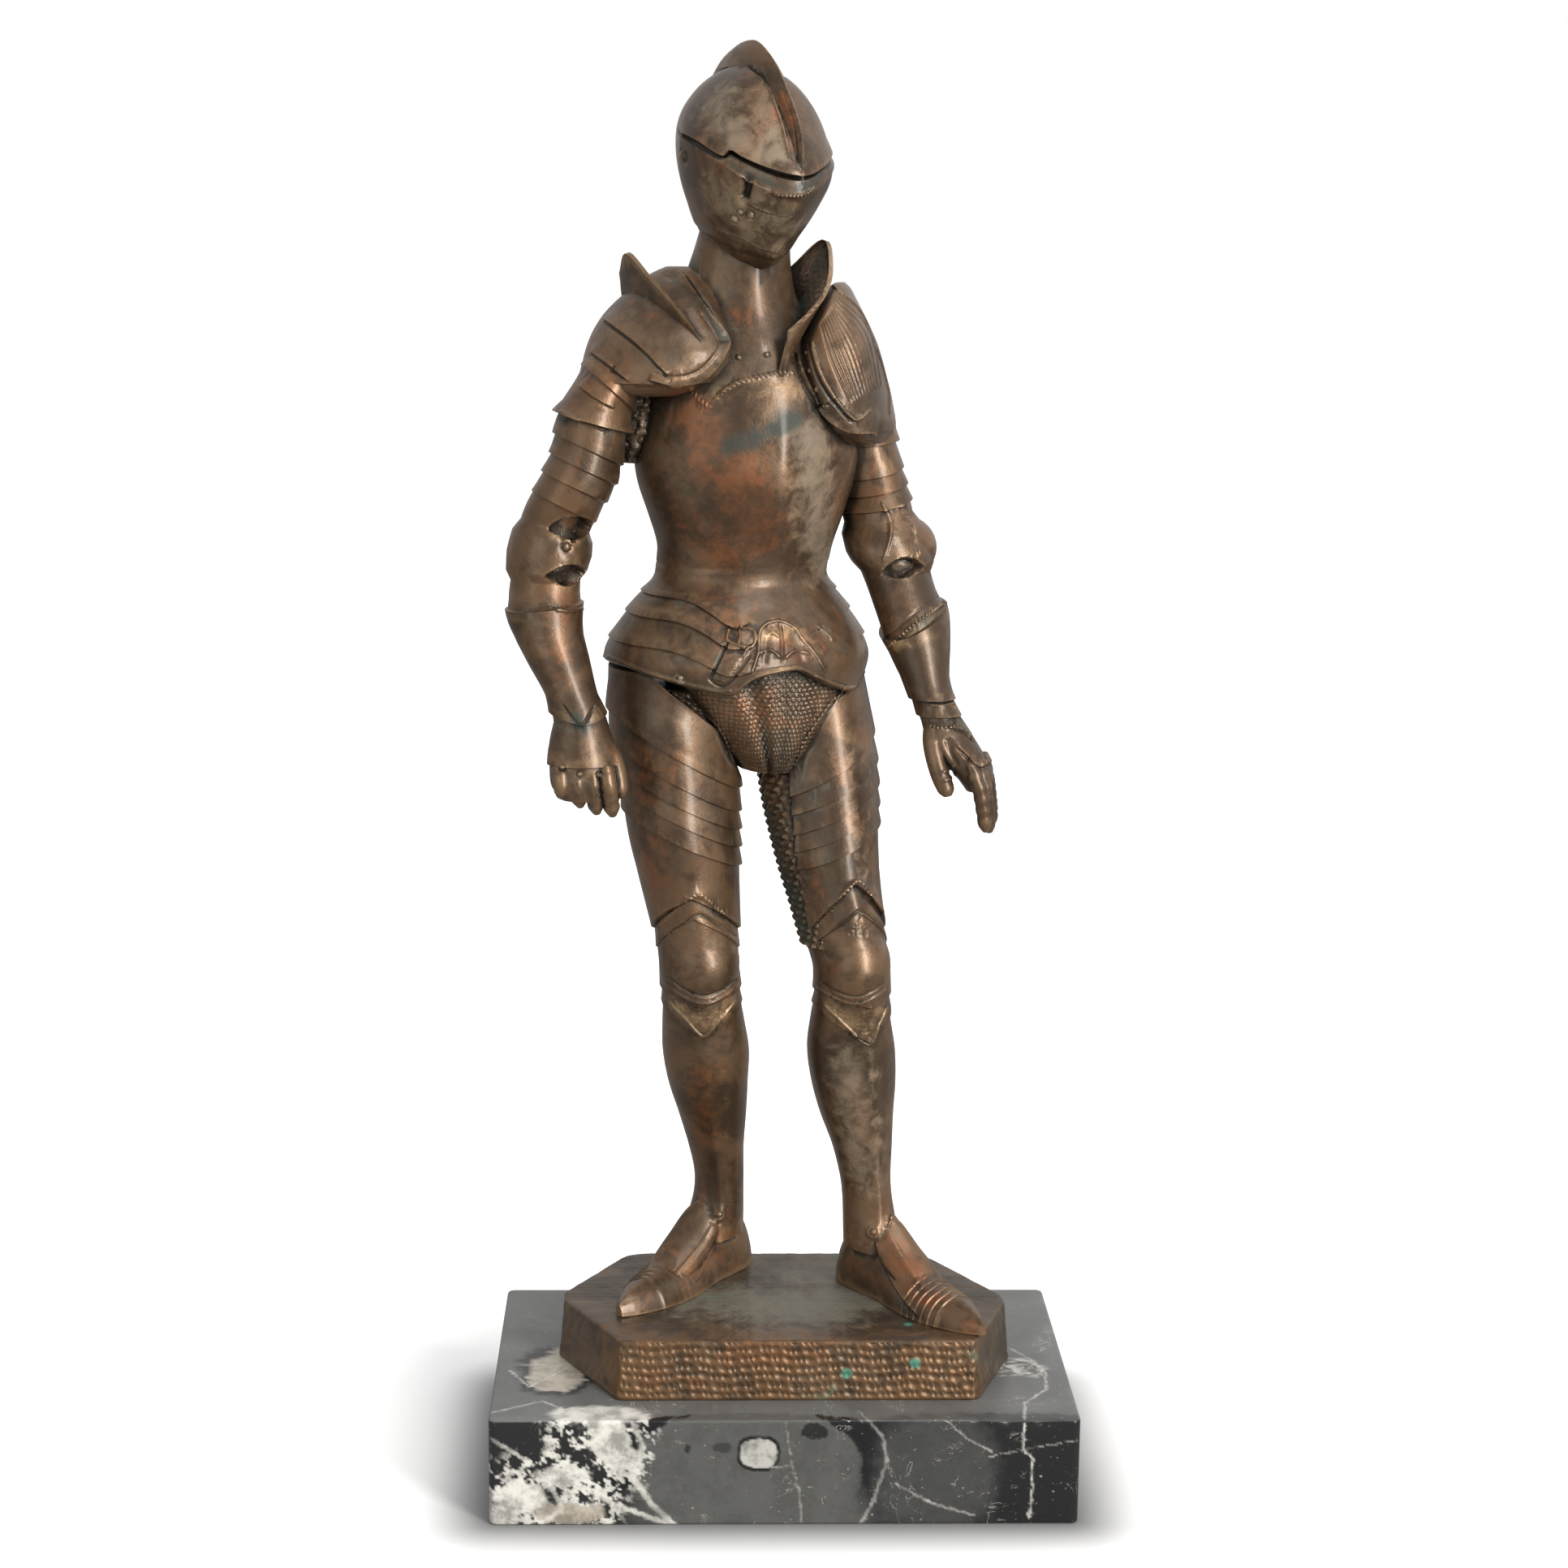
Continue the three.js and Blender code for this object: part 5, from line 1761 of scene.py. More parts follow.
def tinted(**kinds: Table) -> list[Tint]:
    """Tints from rows of marks, radius and strength, under the name of each kind."""
    return [Tint(name, *row) for name, rows in kinds.items() for row in rows]


def store_tints(made: Object, tints: Sequence[Tint]) -> None:
    """Keeps on each vertex how strong each kind of tint is there.

    Args:
        made: The object. Its attributes "green", "red", "gold" and "pale" are written.
        tints: The tints.
    """
    points = read(made.data)[0] / MM
    tree = BVHTree.FromObject(made, bpy.context.evaluated_depsgraph_get())
    for name in ("green", "red", "gold", "pale"):
        values = np.zeros(len(points))
        for tint in (tint for tint in tints if tint.name == name):
            path = smooth_path(tint.marks, 6.0) if len(tint.marks) > 1 else tint.marks
            hits = (tree.ray_cast(Vector(EYE.place) * MM, Vector(EYE.ray(mark)))[0] for mark in path)
            places = np.array([hit / MM for hit in hits if hit])
            away = np.full(len(points), np.inf)
            for place in places:
                away = np.minimum(away, lengths(points - place))
            values = np.maximum(values, tint.strength * np.exp(-((away / tint.radius) ** 2)))
        keep(made.data, name, values)


@dataclass
class Knight:
    """The whole figure: its plates are joined into one casting, chased and dressed."""

    right_foot: Foot = Foot(
        (-11.8, 34.6), (-45.4, -16.7),
        (
            (-19.8, 14.6, 23.0, 2.6), (-22.2, 12.2, 19.0, 5.2), (-26.0, 8.4, 13.0, 6.2), (-30.4, 3.4, 8.2, 6.2),
            (-35, -3, 3.6, 5.0),
        ),
    )
    left_foot: Foot = Foot(
        (20.2, 20.4), (54.9, -31.1),
        (
            (27.4, 5.2, 23.0, 2.4), (29.8, 2.2, 19.0, 4.6), (33.8, -2.4, 13.0, 5.6), (38.6, -8.4, 8.2, 5.8),
            (43, -14.4, 3.6, 4.8),
        ),
    )

    def forms(self) -> list[Form]:
        """All the figure's closed forms."""
        legs = (RIGHT_LEG, LEFT_LEG, self.right_foot, self.left_foot)
        return [form for part in (*legs, Cuirass(), Shoulders(), Arms(), Hands(), Helmet()) for form in part.forms()]

    def helmet_lines(self) -> list[Line]:
        """Lists the comb's rim, the borders of the visor and its slot.

        Returns:
            The lines.
        """
        return [
            Line(Helmet().ridge(), Cut.RIM, 0.5, 0.16),
            Line(((884, 84), (915, 82), (944, 105), (958, 136), (968, 170), (974, 200)), Cut.RIM, 0.45, 0.2),
            Line(((962, 108), (976, 146), (981, 182), (983, 208)), Cut.GROOVE, 0.3, 0.22),
            Line(((952, 240), (972, 242), (990, 241), (1006, 228)), Cut.BEADS, 0.42, 0.28, 1.0),
            Line(((920, 222), (919, 234), (916, 246)), Cut.GROOVE, 1.35, 2.4, taper=0.3),
            Line(((926, 253), (950, 262), (978, 268)), Cut.LEDGE, height=0.8, fade=1.2),
            Line(((868, 262), (886, 282), (912, 292), (934, 304), (960, 312)), Cut.LEDGE, height=0.7, fade=2.0),
            Line(((915, 276), (935, 290), (972, 296)), Cut.GROOVE, 1.6, 0.35),
            Line(((903, 100), (897, 140), (898, 178)), Cut.RIM, 1.3, 0.22),
        ]

    def chest_lines(self) -> list[Line]:
        """Lists the borders of the gorget and breastplate.

        Returns:
            The lines.
        """
        return [
            Line(((849, 476), (862, 492), (876, 504)), Cut.ROPE, 0.8, 0.5, 1.35),
            Line(((878, 496), (892, 482), (910, 471), (945, 462), (980, 459)), Cut.ROPE, 0.75, 0.45, 1.35),
            Line(((797, 478), (782, 530), (780, 575), (792, 640), (811, 692)), Cut.GROOVE, 0.5, 0.4),
            Line(((822, 336), (850, 352), (878, 392), (892, 424)), Cut.GROOVE, 1.5, 0.8),
        ]

    def fauld_lines(self) -> list[Line]:
        """Lists the lames of the fauld, its fluted arch, the buckle and the strap.

        Returns:
            The lines.
        """
        arches = (
            ((925, 832), (934, 804), (937, 776), (956, 765), (977, 772), (988, 787), (1004, 806), (1018, 829)),
            ((934, 806), (949, 801), (963, 812)), ((966, 812), (980, 802), (998, 806)),
            ((943, 784), (951, 779), (961, 786)),
        )
        buckle = ((899, 772), (928, 777), (926, 797), (897, 790), (899, 772))
        strap = ((897, 790), (880, 826), (875, 838), (896, 845), (925, 806))
        return [
            *(Line(arch, Cut.RIM, 0.5, 0.4) for arch in arches),
            Line(((961, 768), (964, 790), (964, 816)), Cut.GROOVE, 0.5, 0.4),
            Line(((948, 768), (944, 796), (941, 820)), Cut.GROOVE, 0.9, 0.3),
            Line(((977, 774), (984, 796), (990, 818)), Cut.GROOVE, 0.9, 0.3),
            Line(buckle, Cut.RIM, 0.5, 0.5),
            Line(((910, 772), (912, 784), (909, 794)), Cut.RIM, 0.4, 0.4),
            Line(strap, Cut.GROOVE, 0.4, 0.4),
            Line(((1007, 771), (1018, 780), (1027, 791)), Cut.RIM, 0.45, 0.4),
            Line(((995, 786), (1006, 778), (1016, 771)), Cut.GROOVE, 0.4, 0.3),
            Line(((748, 808), (800, 829), (838, 840), (878, 850), (903, 851)), Cut.RIM, 0.5, 0.35),
            Line(((1003, 831), (1036, 845), (1054, 845), (1069, 820)), Cut.RIM, 0.5, 0.35),
        ]

    def shoulder_lines(self) -> list[Line]:
        """Lists the outlines, flutes and lames of the shoulder plates.

        Returns:
            The lines.
        """
        outline = ((798, 468), (832, 474), (867, 466), (892, 437), (896, 417), (871, 378), (842, 338))
        flutes = between(((1008, 400), (1021, 450), (1046, 498)), ((1035, 362), (1076, 404), (1090, 478)), 13)
        return [
            Line(outline, Cut.LEDGE, height=1.1, fade=2.4),
            Line(((803, 459), (832, 464), (860, 457), (882, 434), (884, 418), (863, 386)), Cut.GROOVE, 0.45, 0.35),
            Line(((744, 394), (785, 425), (824, 464)), Cut.LEDGE, height=0.8, fade=2.4),
            Line(((728, 434), (752, 452), (776, 471)), Cut.LEDGE, height=0.7, fade=2.4),
            Line(((713, 476), (735, 492), (757, 504)), Cut.LEDGE, height=0.6, fade=2.4),
            Line(((689, 506), (718, 520), (749, 531)), Cut.RIM, 0.6, 0.4),
            Line(((974, 404), (984, 455), (1009, 501), (1040, 528), (1077, 534)), Cut.LEDGE, height=1.4, fade=2.4),
            Line(((1000, 420), (1011, 458), (1028, 489), (1053, 516), (1074, 503)), Cut.RIM, 0.55, 0.5),
            Line(((996, 424), (1007, 461), (1025, 493), (1050, 520)), Cut.GROOVE, 0.4, 0.5),
            Line(((1026, 352), (1063, 389), (1092, 470), (1096, 512)), Cut.RIM, 0.6, 0.5),
            *(Line(flute, Cut.GROOVE, 0.4, 0.36) for flute in flutes[1:-1]),
        ]

    def arm_lines(self) -> list[Line]:
        """Lists the gaps at the elbows and the borders of the cuffs.

        Returns:
            The lines.
        """
        return [
            Line(((675, 652), (701, 649), (728, 651)), Cut.EYE, 3.0, 3.4),
            Line(((671, 711), (696, 710), (721, 708)), Cut.EYE, 2.8, 3.2),
            Line(((1086, 708), (1112, 700), (1138, 698)), Cut.EYE, 2.6, 2.6),
            Line(((1091, 800), (1128, 768), (1166, 741)), Cut.BEADS, 0.5, 0.45, 1.2),
            Line(((1088, 790), (1124, 758), (1160, 733)), Cut.GROOVE, 0.35, 0.3),
            Line(((692, 868), (715, 893), (734, 868)), Cut.GROOVE, 0.4, 0.45),
            Line(((673, 748), (700, 753), (728, 748)), Cut.RIM, 0.5, 0.35),
            Line(((1108, 622), (1126, 650), (1134, 688)), Cut.RIM, 0.7, 0.5),
            Line(((1086, 618), (1098, 650), (1088, 694)), Cut.RIM, 0.6, 0.4),
            Line(((1144, 893), (1158, 897), (1180, 894)), Cut.BEADS, 0.5, 0.4, 1.1),
            Line(((1143, 868), (1160, 870), (1182, 864)), Cut.RIM, 0.6, 0.35),
            Line(((1160, 952), (1170, 948), (1178, 940)), Cut.RIM, 0.45, 0.3),
            Line(((1160, 962), (1170, 960), (1179, 952)), Cut.RIM, 0.45, 0.3),
            Line(((1177, 918), (1190, 930), (1206, 945), (1220, 939)), Cut.LEDGE, height=0.5, fade=2.0),
            Line(((1168, 898), (1186, 901), (1201, 914)), Cut.LEDGE, height=0.7, fade=2.0),
            Line(((1167, 908), (1171, 928), (1180, 946)), Cut.GROOVE, 1.1, 0.9),
        ]

    def leg_lines(self) -> list[Line]:
        """Lists the pointed borders at the knees and the rims of the thigh plates and foot plates.

        Returns:
            The lines.
        """
        points = (
            ((809, 1144), (834, 1120), (859, 1103), (882, 1118), (905, 1137)),
            ((1003, 1144), (1030, 1112), (1057, 1086), (1076, 1106), (1092, 1129)),
        )
        rims = (
            ((800, 836), (850, 868), (885, 896), (905, 940)), ((1043, 845), (1022, 868), (996, 905), (978, 945)),
            ((819, 1210), (842, 1228), (867, 1237), (892, 1228), (910, 1213)),
            ((823, 1232), (845, 1256), (867, 1277), (888, 1256), (907, 1232)),
            ((1007, 1216), (1030, 1230), (1054, 1237), (1075, 1230), (1092, 1218)),
            ((1014, 1236), (1042, 1264), (1070, 1287), (1084, 1262), (1094, 1238)),
        )
        grooves = (
            ((812, 1160), (838, 1140), (862, 1128), (886, 1140), (908, 1154)),
            ((1006, 1162), (1034, 1140), (1061, 1122), (1080, 1136), (1094, 1148)),
            ((822, 1203), (842, 1219), (867, 1228), (892, 1219), (908, 1206)),
            ((1010, 1209), (1030, 1222), (1054, 1229), (1075, 1222), (1092, 1210)),
        )
        seams = (
            ((895, 1503), (884, 1528), (870, 1556), (858, 1580)),
            ((1130, 1622), (1108, 1594), (1088, 1556), (1078, 1528)),
        )
        return [
            *(Line(border, Cut.ROPE, 0.7, 0.45, 1.3) for border in points),
            *(Line(rim, Cut.RIM, 0.5, 0.4) for rim in rims),
            *(Line(groove, Cut.GROOVE, 0.45, 0.5) for groove in grooves),
            *(Line(seam[::-1], Cut.LEDGE, height=0.6, fade=2.6) for seam in seams),
            Line(((1092, 1520), (1112, 1552), (1140, 1590)), Cut.RIM, 1.3, 0.25),
            Line(((882, 1510), (862, 1540), (835, 1572)), Cut.RIM, 1.3, 0.25),
        ]

    def studs(self) -> list[Stud]:
        """Lists the rivets, knobs and hinges.

        Returns:
            The studs.
        """
        small = (
            (910, 440), (945, 437), (993, 435), (997, 457), (1006, 480), (1018, 500), (675, 943),
            (692, 946), (714, 954), (738, 955), (838, 836), (1162, 1640),
        )
        knobs = (
            ((905, 270), 1.0), ((912, 262), 0.8), ((924, 265), 1.0), ((842, 192), 1.5), ((698, 674), 1.2),
        )
        hinges = ((886, 1496), (1076, 1518), (1097, 1501))
        return [
            *(Stud(mark) for mark in small),
            *(Stud(mark, radius, radius * 0.65) for mark, radius in knobs),
            *(Stud(mark, 2.3, 0.5) for mark in hinges),
            *(Stud(mark, 0.8, 0.45) for mark in hinges),
        ]

    def patches(self) -> list[Patch]:
        """Lists the stippled areas at the knees and the shoulder, and the strap.

        Returns:
            The patches.
        """
        return [
            Patch(((828, 1238), (867, 1245), (902, 1236), (867, 1269)), stipple, 0.5),
            Patch(((1018, 1238), (1054, 1245), (1090, 1238), (1070, 1279)), stipple, 0.5),
            Patch(((1044, 1152), (1060, 1128), (1076, 1146), (1068, 1158)), stipple, 0.5),
            Patch(((978, 352), (1004, 306), (1016, 306), (1020, 350), (1006, 384), (984, 402)), stipple, 0.6),
            Patch(((899, 792), (923, 800), (895, 842), (878, 836)), lambda points: np.full(len(points), 0.4), 0.7),
        ]

    def tints(self) -> list[Tint]:
        """Lists where the patina is green, red, golden or pale, and where highlights and light are painted in golden
        and pale.

        Returns:
            The tints.
        """
        green = (
            (((896, 552), (925, 543), (955, 526), (984, 514)), 3.6, 1.0),
            (((812, 560), (818, 620), (838, 690)), 6.0, 0.5),
            (((932, 960), (948, 1020), (972, 1100), (990, 1150)), 6.0, 0.9), (((884, 224), (892, 246)), 3.0, 0.5),
            (((905, 288), (940, 294), (968, 290)), 3.0, 0.6), (((820, 335), (860, 372), (892, 418)), 2.6, 0.7),
            (((762, 318), (772, 352)), 2.0, 0.7), (((990, 384), (1002, 345), (1012, 318)), 5.0, 0.8),
            (((903, 204), (940, 221), (985, 231), (1015, 214)), 2.0, 0.8), (((1036, 796), (1044, 806)), 4.0, 0.8),
            (((884, 812), (878, 836)), 3.0, 0.7), (((790, 745), (812, 742)), 4.0, 0.4),
            (((862, 842), (900, 850)), 3.0, 0.5), (((712, 886), (720, 896)), 3.0, 0.9),
            (((838, 1300), (832, 1360), (846, 1430)), 4.0, 0.35),
            (((1010, 1300), (1016, 1360), (1040, 1430)), 4.0, 0.35), (((690, 505), (700, 560)), 4.0, 0.35),
            (((730, 410), (790, 440), (850, 440)), 7.0, 0.45), (((1010, 400), (1060, 440), (1090, 500)), 6.0, 0.35),
            (((760, 780), (840, 820)), 5.0, 0.35), (((1080, 980), (1090, 1080)), 4.0, 0.4),
            (((1102, 1600), (1130, 1634)), 2.6, 0.7),
        )
        red = (
            (((838, 492), (858, 520), (868, 552)), 7.0, 1.1), (((905, 580), (925, 620), (935, 660)), 8.0, 1.1),
            (((700, 480), (760, 460)), 9.0, 0.5), (((690, 700), (690, 840)), 8.0, 0.4),
            (((1130, 560), (1150, 700)), 8.0, 0.4), (((1190, 820), (1170, 760)), 6.0, 0.5),
            (((800, 930), (800, 1090)), 9.0, 0.5), (((900, 1520), (850, 1580)), 7.0, 0.5),
            (((1100, 1540), (1150, 1600)), 7.0, 0.6), (((900, 780), (880, 740)), 8.0, 0.5),
            (((1020, 520), (1030, 640)), 8.0, 0.5), (((850, 640), (900, 690)), 7.0, 0.7),
            (((1010, 560), (1030, 600)), 6.0, 0.5), (((925, 185), (935, 160)), 4.0, 0.8),
            (((962, 118), (975, 150), (980, 182)), 2.2, 0.9), (((870, 150), (862, 190)), 5.0, 0.5),
            (((960, 780), (990, 800)), 5.0, 0.8), (((905, 870), (960, 880), (990, 890)), 8.0, 0.45),
            (((1040, 940), (1054, 1010)), 6.0, 0.5), (((862, 1320), (868, 1400)), 5.0, 0.7),
            (((1050, 1320), (1066, 1410)), 5.0, 0.6), (((1196, 1640), (1206, 1646)), 3.0, 1.0),
            (((700, 600), (706, 640)), 5.0, 0.4),
        )
        # Painted highlights and painted light: the narrow lines down the keel and both greaves are painted
        # highlights, and the broad patches on the visor, the bowl, the right of the chest, the left thigh and the
        # left greave paint the light those faces catch; the rest are golden patina.
        gold = (
            (((884, 486), (930, 476), (980, 478)), 5.0, 0.6), (((900, 250), (960, 290)), 12.0, 0.7),
            (((1000, 560), (1012, 660)), 9.0, 0.45), (((1046, 1320), (1062, 1440)), 9.0, 0.4),
            (((1046, 930), (1058, 1070)), 9.0, 0.45), (((880, 150), (940, 190)), 10.0, 0.3),
            (((966, 560), (978, 620), (985, 690)), 2.4, 0.7), (((930, 790), (964, 775), (1000, 800)), 4.0, 0.8),
            (((830, 1236), (867, 1262), (900, 1238)), 3.4, 0.9),
            (((1022, 1238), (1066, 1272), (1088, 1240)), 3.4, 0.9), (((690, 950), (714, 960)), 4.0, 0.6),
            (((1104, 796), (1160, 748)), 2.2, 0.9), (((1140, 880), (1180, 880)), 3.5, 0.5),
            (((1078, 1320), (1082, 1400)), 2.4, 0.5), (((892, 1320), (894, 1400)), 2.4, 0.5),
            (((940, 250), (985, 256)), 3.0, 0.7),
        )
        # Painted highlights and painted light: the two small spots on the bowl are painted highlights, and the broad
        # patches on the visor, the bowl, the right of the chest, the left thigh and the left greave paint the light
        # those faces catch.
        pale = (
            (((835, 835), (838, 838)), 1.4, 1.0), (((1000, 540), (1015, 690)), 10.0, 0.8),
            (((900, 250), (960, 285)), 12.0, 0.6), (((880, 130), (935, 185)), 10.0, 0.7),
            (((1046, 1310), (1062, 1450)), 9.0, 0.7), (((1046, 930), (1056, 1080)), 7.0, 0.4),
            (((952, 165), (964, 198)), 2.6, 0.8), (((901, 118), (903, 150)), 1.6, 0.6),
        )
        return tinted(green=green, red=red, gold=gold, pale=pale)

    def build(self, finish: bpy.types.Material) -> Object:
        """Joins, chases and dresses the figure.

        Args:
            finish: Its material.

        Returns:
            The figure's object.
        """
        mesh = fuse(self.forms(), "figure_forms")
        form = bmesh.new()
        form.from_mesh(mesh)
        bpy.data.meshes.remove(mesh)
        bmesh.ops.translate(form, vec=Vector((0.0, 0.0, BASE_TOP)), verts=form.verts)
        lines = [*self.helmet_lines(), *self.chest_lines(), *self.fauld_lines()]
        lines += [*self.shoulder_lines(), *self.arm_lines(), *self.leg_lines()]
        Chaser(form, lines=lines, studs=self.studs(), patches=self.patches()).work()
        made = finish_mesh(form, "knight_figure")
        store_wear(made)
        store_tints(made, self.tints())
        put_on(made, finish)
        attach(made, "root")
        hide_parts("bronze_knight")
        return made


# The base and the plinth


def rounded_outline(corners: Table, out: float, arc: int, spacing: Sequence[float]) -> Array:
    """An outline with rounded corners, with points added along its straight sides.

    Args:
        corners: Rows of x, y and the corner's radius.
        out: How far the outline is moved out.
        arc: The number of points round each corner.
        spacing: The greatest distance between points on each side, used again and again.

    Returns:
        The points of the closed outline.
    """
    arcs = []
    for i, (x, y, radius) in enumerate(corners):
        here = np.array([x, y])
        before, after = (np.array(corners[k % len(corners)][:2]) - here for k in (i - 1, i + 1))
        before, after = unit(before), unit(after)
        half = math.acos(float(np.clip(before @ after, -1.0, 1.0))) / 2.0
        inward = unit(before + after)
        middle = here + inward * radius / math.sin(half)
        facing = math.atan2(-inward[1], -inward[0])
        swing = facing + (math.pi / 2 - half) * np.linspace(-1.0, 1.0, arc)
        arcs.append(middle + (radius + out) * np.stack([np.cos(swing), np.sin(swing)], axis=1))
    points = []
    for i, curve in enumerate(arcs):
        nearest = arcs[(i + 1) % len(arcs)][0]
        points.extend(curve)
        parts = max(1, int(math.ceil(np.linalg.norm(nearest - curve[-1]) / spacing[i % len(spacing)])))
        points.extend(curve[-1] + (nearest - curve[-1]) * k / parts for k in range(1, parts))
    return np.array(points)


def slab(outline: Callable[[float], Array], rows: Table, rings: int) -> Form:
    """A closed slab through rows of height and distance out, with rings of faces across its top.

    Args:
        outline: Gives the outline at a distance out.
        rows: Rows of height and distance out, from the underside up.
        rings: The number of rings across the top.

    Returns:
        The slab.
    """
    walls = [np.column_stack([outline(out), np.full(len(outline(out)), z)]) for z, out in rows]
    brim = walls[-1]
    middle = brim.mean(0)
    top = [middle + (brim - middle) * (1.0 - (k / rings) ** 0.8 * 0.992) for k in range(1, rings + 1)]
    return form_from_rows(np.array(walls + top))


@dataclass
class HammeredBase:
    """The bronze base: hammered walls, a softened edge and a rough top."""

    width: float = 125.0
    depth: float = 71.0
    height: float = 17.0
    edge: float = 1.4
    spread: float = 1.2
    corners: Table = (
        (-0.36, -0.493, 2), (0.42, -0.493, 2), (0.508, -0.07, 3), (0.502, 0.02, 3), (0.34, 0.507, 13),
        (-0.35, 0.507, 9), (-0.492, 0.05, 3), (-0.492, -0.04, 3),
    )

    def outline(self, out: float) -> Array:
        """The base's outline."""
        corners = [(x * self.width, y * self.depth, radius) for x, y, radius in self.corners]
        return rounded_outline(corners, out, 9, (0.5,))

    def rows(self) -> list[tuple[float, float]]:
        """Works out the section of the base's wall.

        Returns:
            Rows of height and distance out, from the underside to the brim.
        """
        low, high = PLINTH_TOP, BASE_TOP
        made = [(low, self.spread - 0.4), (low + 0.4, self.spread - 0.1), (low + 0.8, self.spread)]
        for z in np.linspace(low + 1.3, high - self.edge, 30):
            made.append((z, self.spread * (high - self.edge - z) / (self.height - self.edge - 0.8)))
        for turn in np.linspace(15, 90, 6):
            a = math.radians(turn)
            made.append((high - self.edge * (1 - math.sin(a)), -self.edge * (1 - math.cos(a))))
        return made

    def hammered(self, points: Array, normals: Array) -> Array:
        """Works out rows of dimples on the front, curls on the other walls and a rough top.

        Args:
            points: The vertices.
            normals: Their normals.

        Returns:
            The distance that each vertex moves.
        """
        x, y, z = points.T
        upward = np.clip(normals[:, 2], 0.0, 1.0)
        turn = np.where(np.abs(normals[:, 0]) > np.abs(normals[:, 1]), y, x)
        row = (z - PLINTH_TOP - 0.6) / 2.5 + 0.16 * np.sin(turn * 0.31) + 0.14 * ripple(x * 1.1, y, z, 3.0)
        u = turn / 2.1 + 0.5 * (np.floor(row) % 2) + 0.3 * np.sin(turn * 0.9 + np.floor(row) * 2.1)
        r = np.hypot((u - np.floor(u) - 0.5) * 2.0, (row - np.floor(row) - 0.5) * 2.0)
        front = smooth(-normals[:, 1], 0.8, 0.95)
        curls = 0.12 * np.abs(np.sin(turn * 0.55 + 2.2 * np.sin(z * 0.33 + turn * 0.2))) - 0.3
        dimple = front * (0.5 * smooth(r, 0.2, 1.0) - 0.55) + (1.0 - front) * curls
        wall = (1.0 - smooth(upward, 0.2, 0.7)) * smooth(z, PLINTH_TOP + 0.6, PLINTH_TOP + 1.8)
        rough = 0.16 * ripple(x * 0.9, y * 0.9, z, 2.0) + 0.08 * ripple(x * 2.6, y * 2.6, z, 7.0) - 0.22
        ragged = 0.10 * ripple(x * 1.6, y * 1.6, z * 1.6, 4.0)
        top = smooth(upward, 0.5, 0.95)
        return wall * (dimple + ragged * 0.6) + top * rough

    def tints(self) -> list[Tint]:
        """Lists the gilt front and the spots of verdigris.

        Returns:
            The tints.
        """
        green = ((((1043, 1692),), 1.6, 1.6), (((1127, 1680),), 1.6, 1.6), (((1118, 1632),), 1.6, 1.2))
        gold = ((((765, 1690), (960, 1690), (1196, 1690)), 16.0, 1.2),)
        red = ((((900, 1668), (1010, 1664)), 4.0, 0.9), (((800, 1700), (860, 1706)), 4.0, 0.7))
        pale = ((((860, 1600), (1000, 1610), (1080, 1590)), 18.0, 0.9), (((1000, 1570), (1060, 1570)), 16.0, 0.8))
        return tinted(green=green, gold=gold, red=red, pale=pale)

    def build(self, finish: bpy.types.Material) -> Object:
        """Makes the base.

        Args:
            finish: Its material.

        Returns:
            The base's object.
        """
        form = slab(self.outline, self.rows(), 46)
        move_out(form, self.hammered)
        made = finish_mesh(form, "hammered_base")
        store_wear(made, 0.003, 10)
        store_tints(made, self.tints())
        put_on(made, finish)
        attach(made, "root")
        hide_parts("bronze_base")
        return made


def move_out(form: Form, relief: Callable[[Array, Array], Array]) -> None:
    """Moves each vertex along its normal.

    Args:
        form: The form.
        relief: Gives the distances from places and normals.
    """
    form.normal_update()
    points = np.array([vertex.co[:] for vertex in form.verts])
    normals = np.array([vertex.normal[:] for vertex in form.verts])
    moved = points + normals * relief(points, normals)[:, None]
    for vertex, place in zip(form.verts, moved):
        vertex.co = place


@dataclass(frozen=True)
class Spot:
    """A spot in the stone, in millimetres: soft or crisp, whole or broken into shards."""

    tone: str
    centre: Triple
    reach: Triple
    strength: float = 1.0
    wander: float = 1.0
    soft: float = 0.1
    broken: bool = False


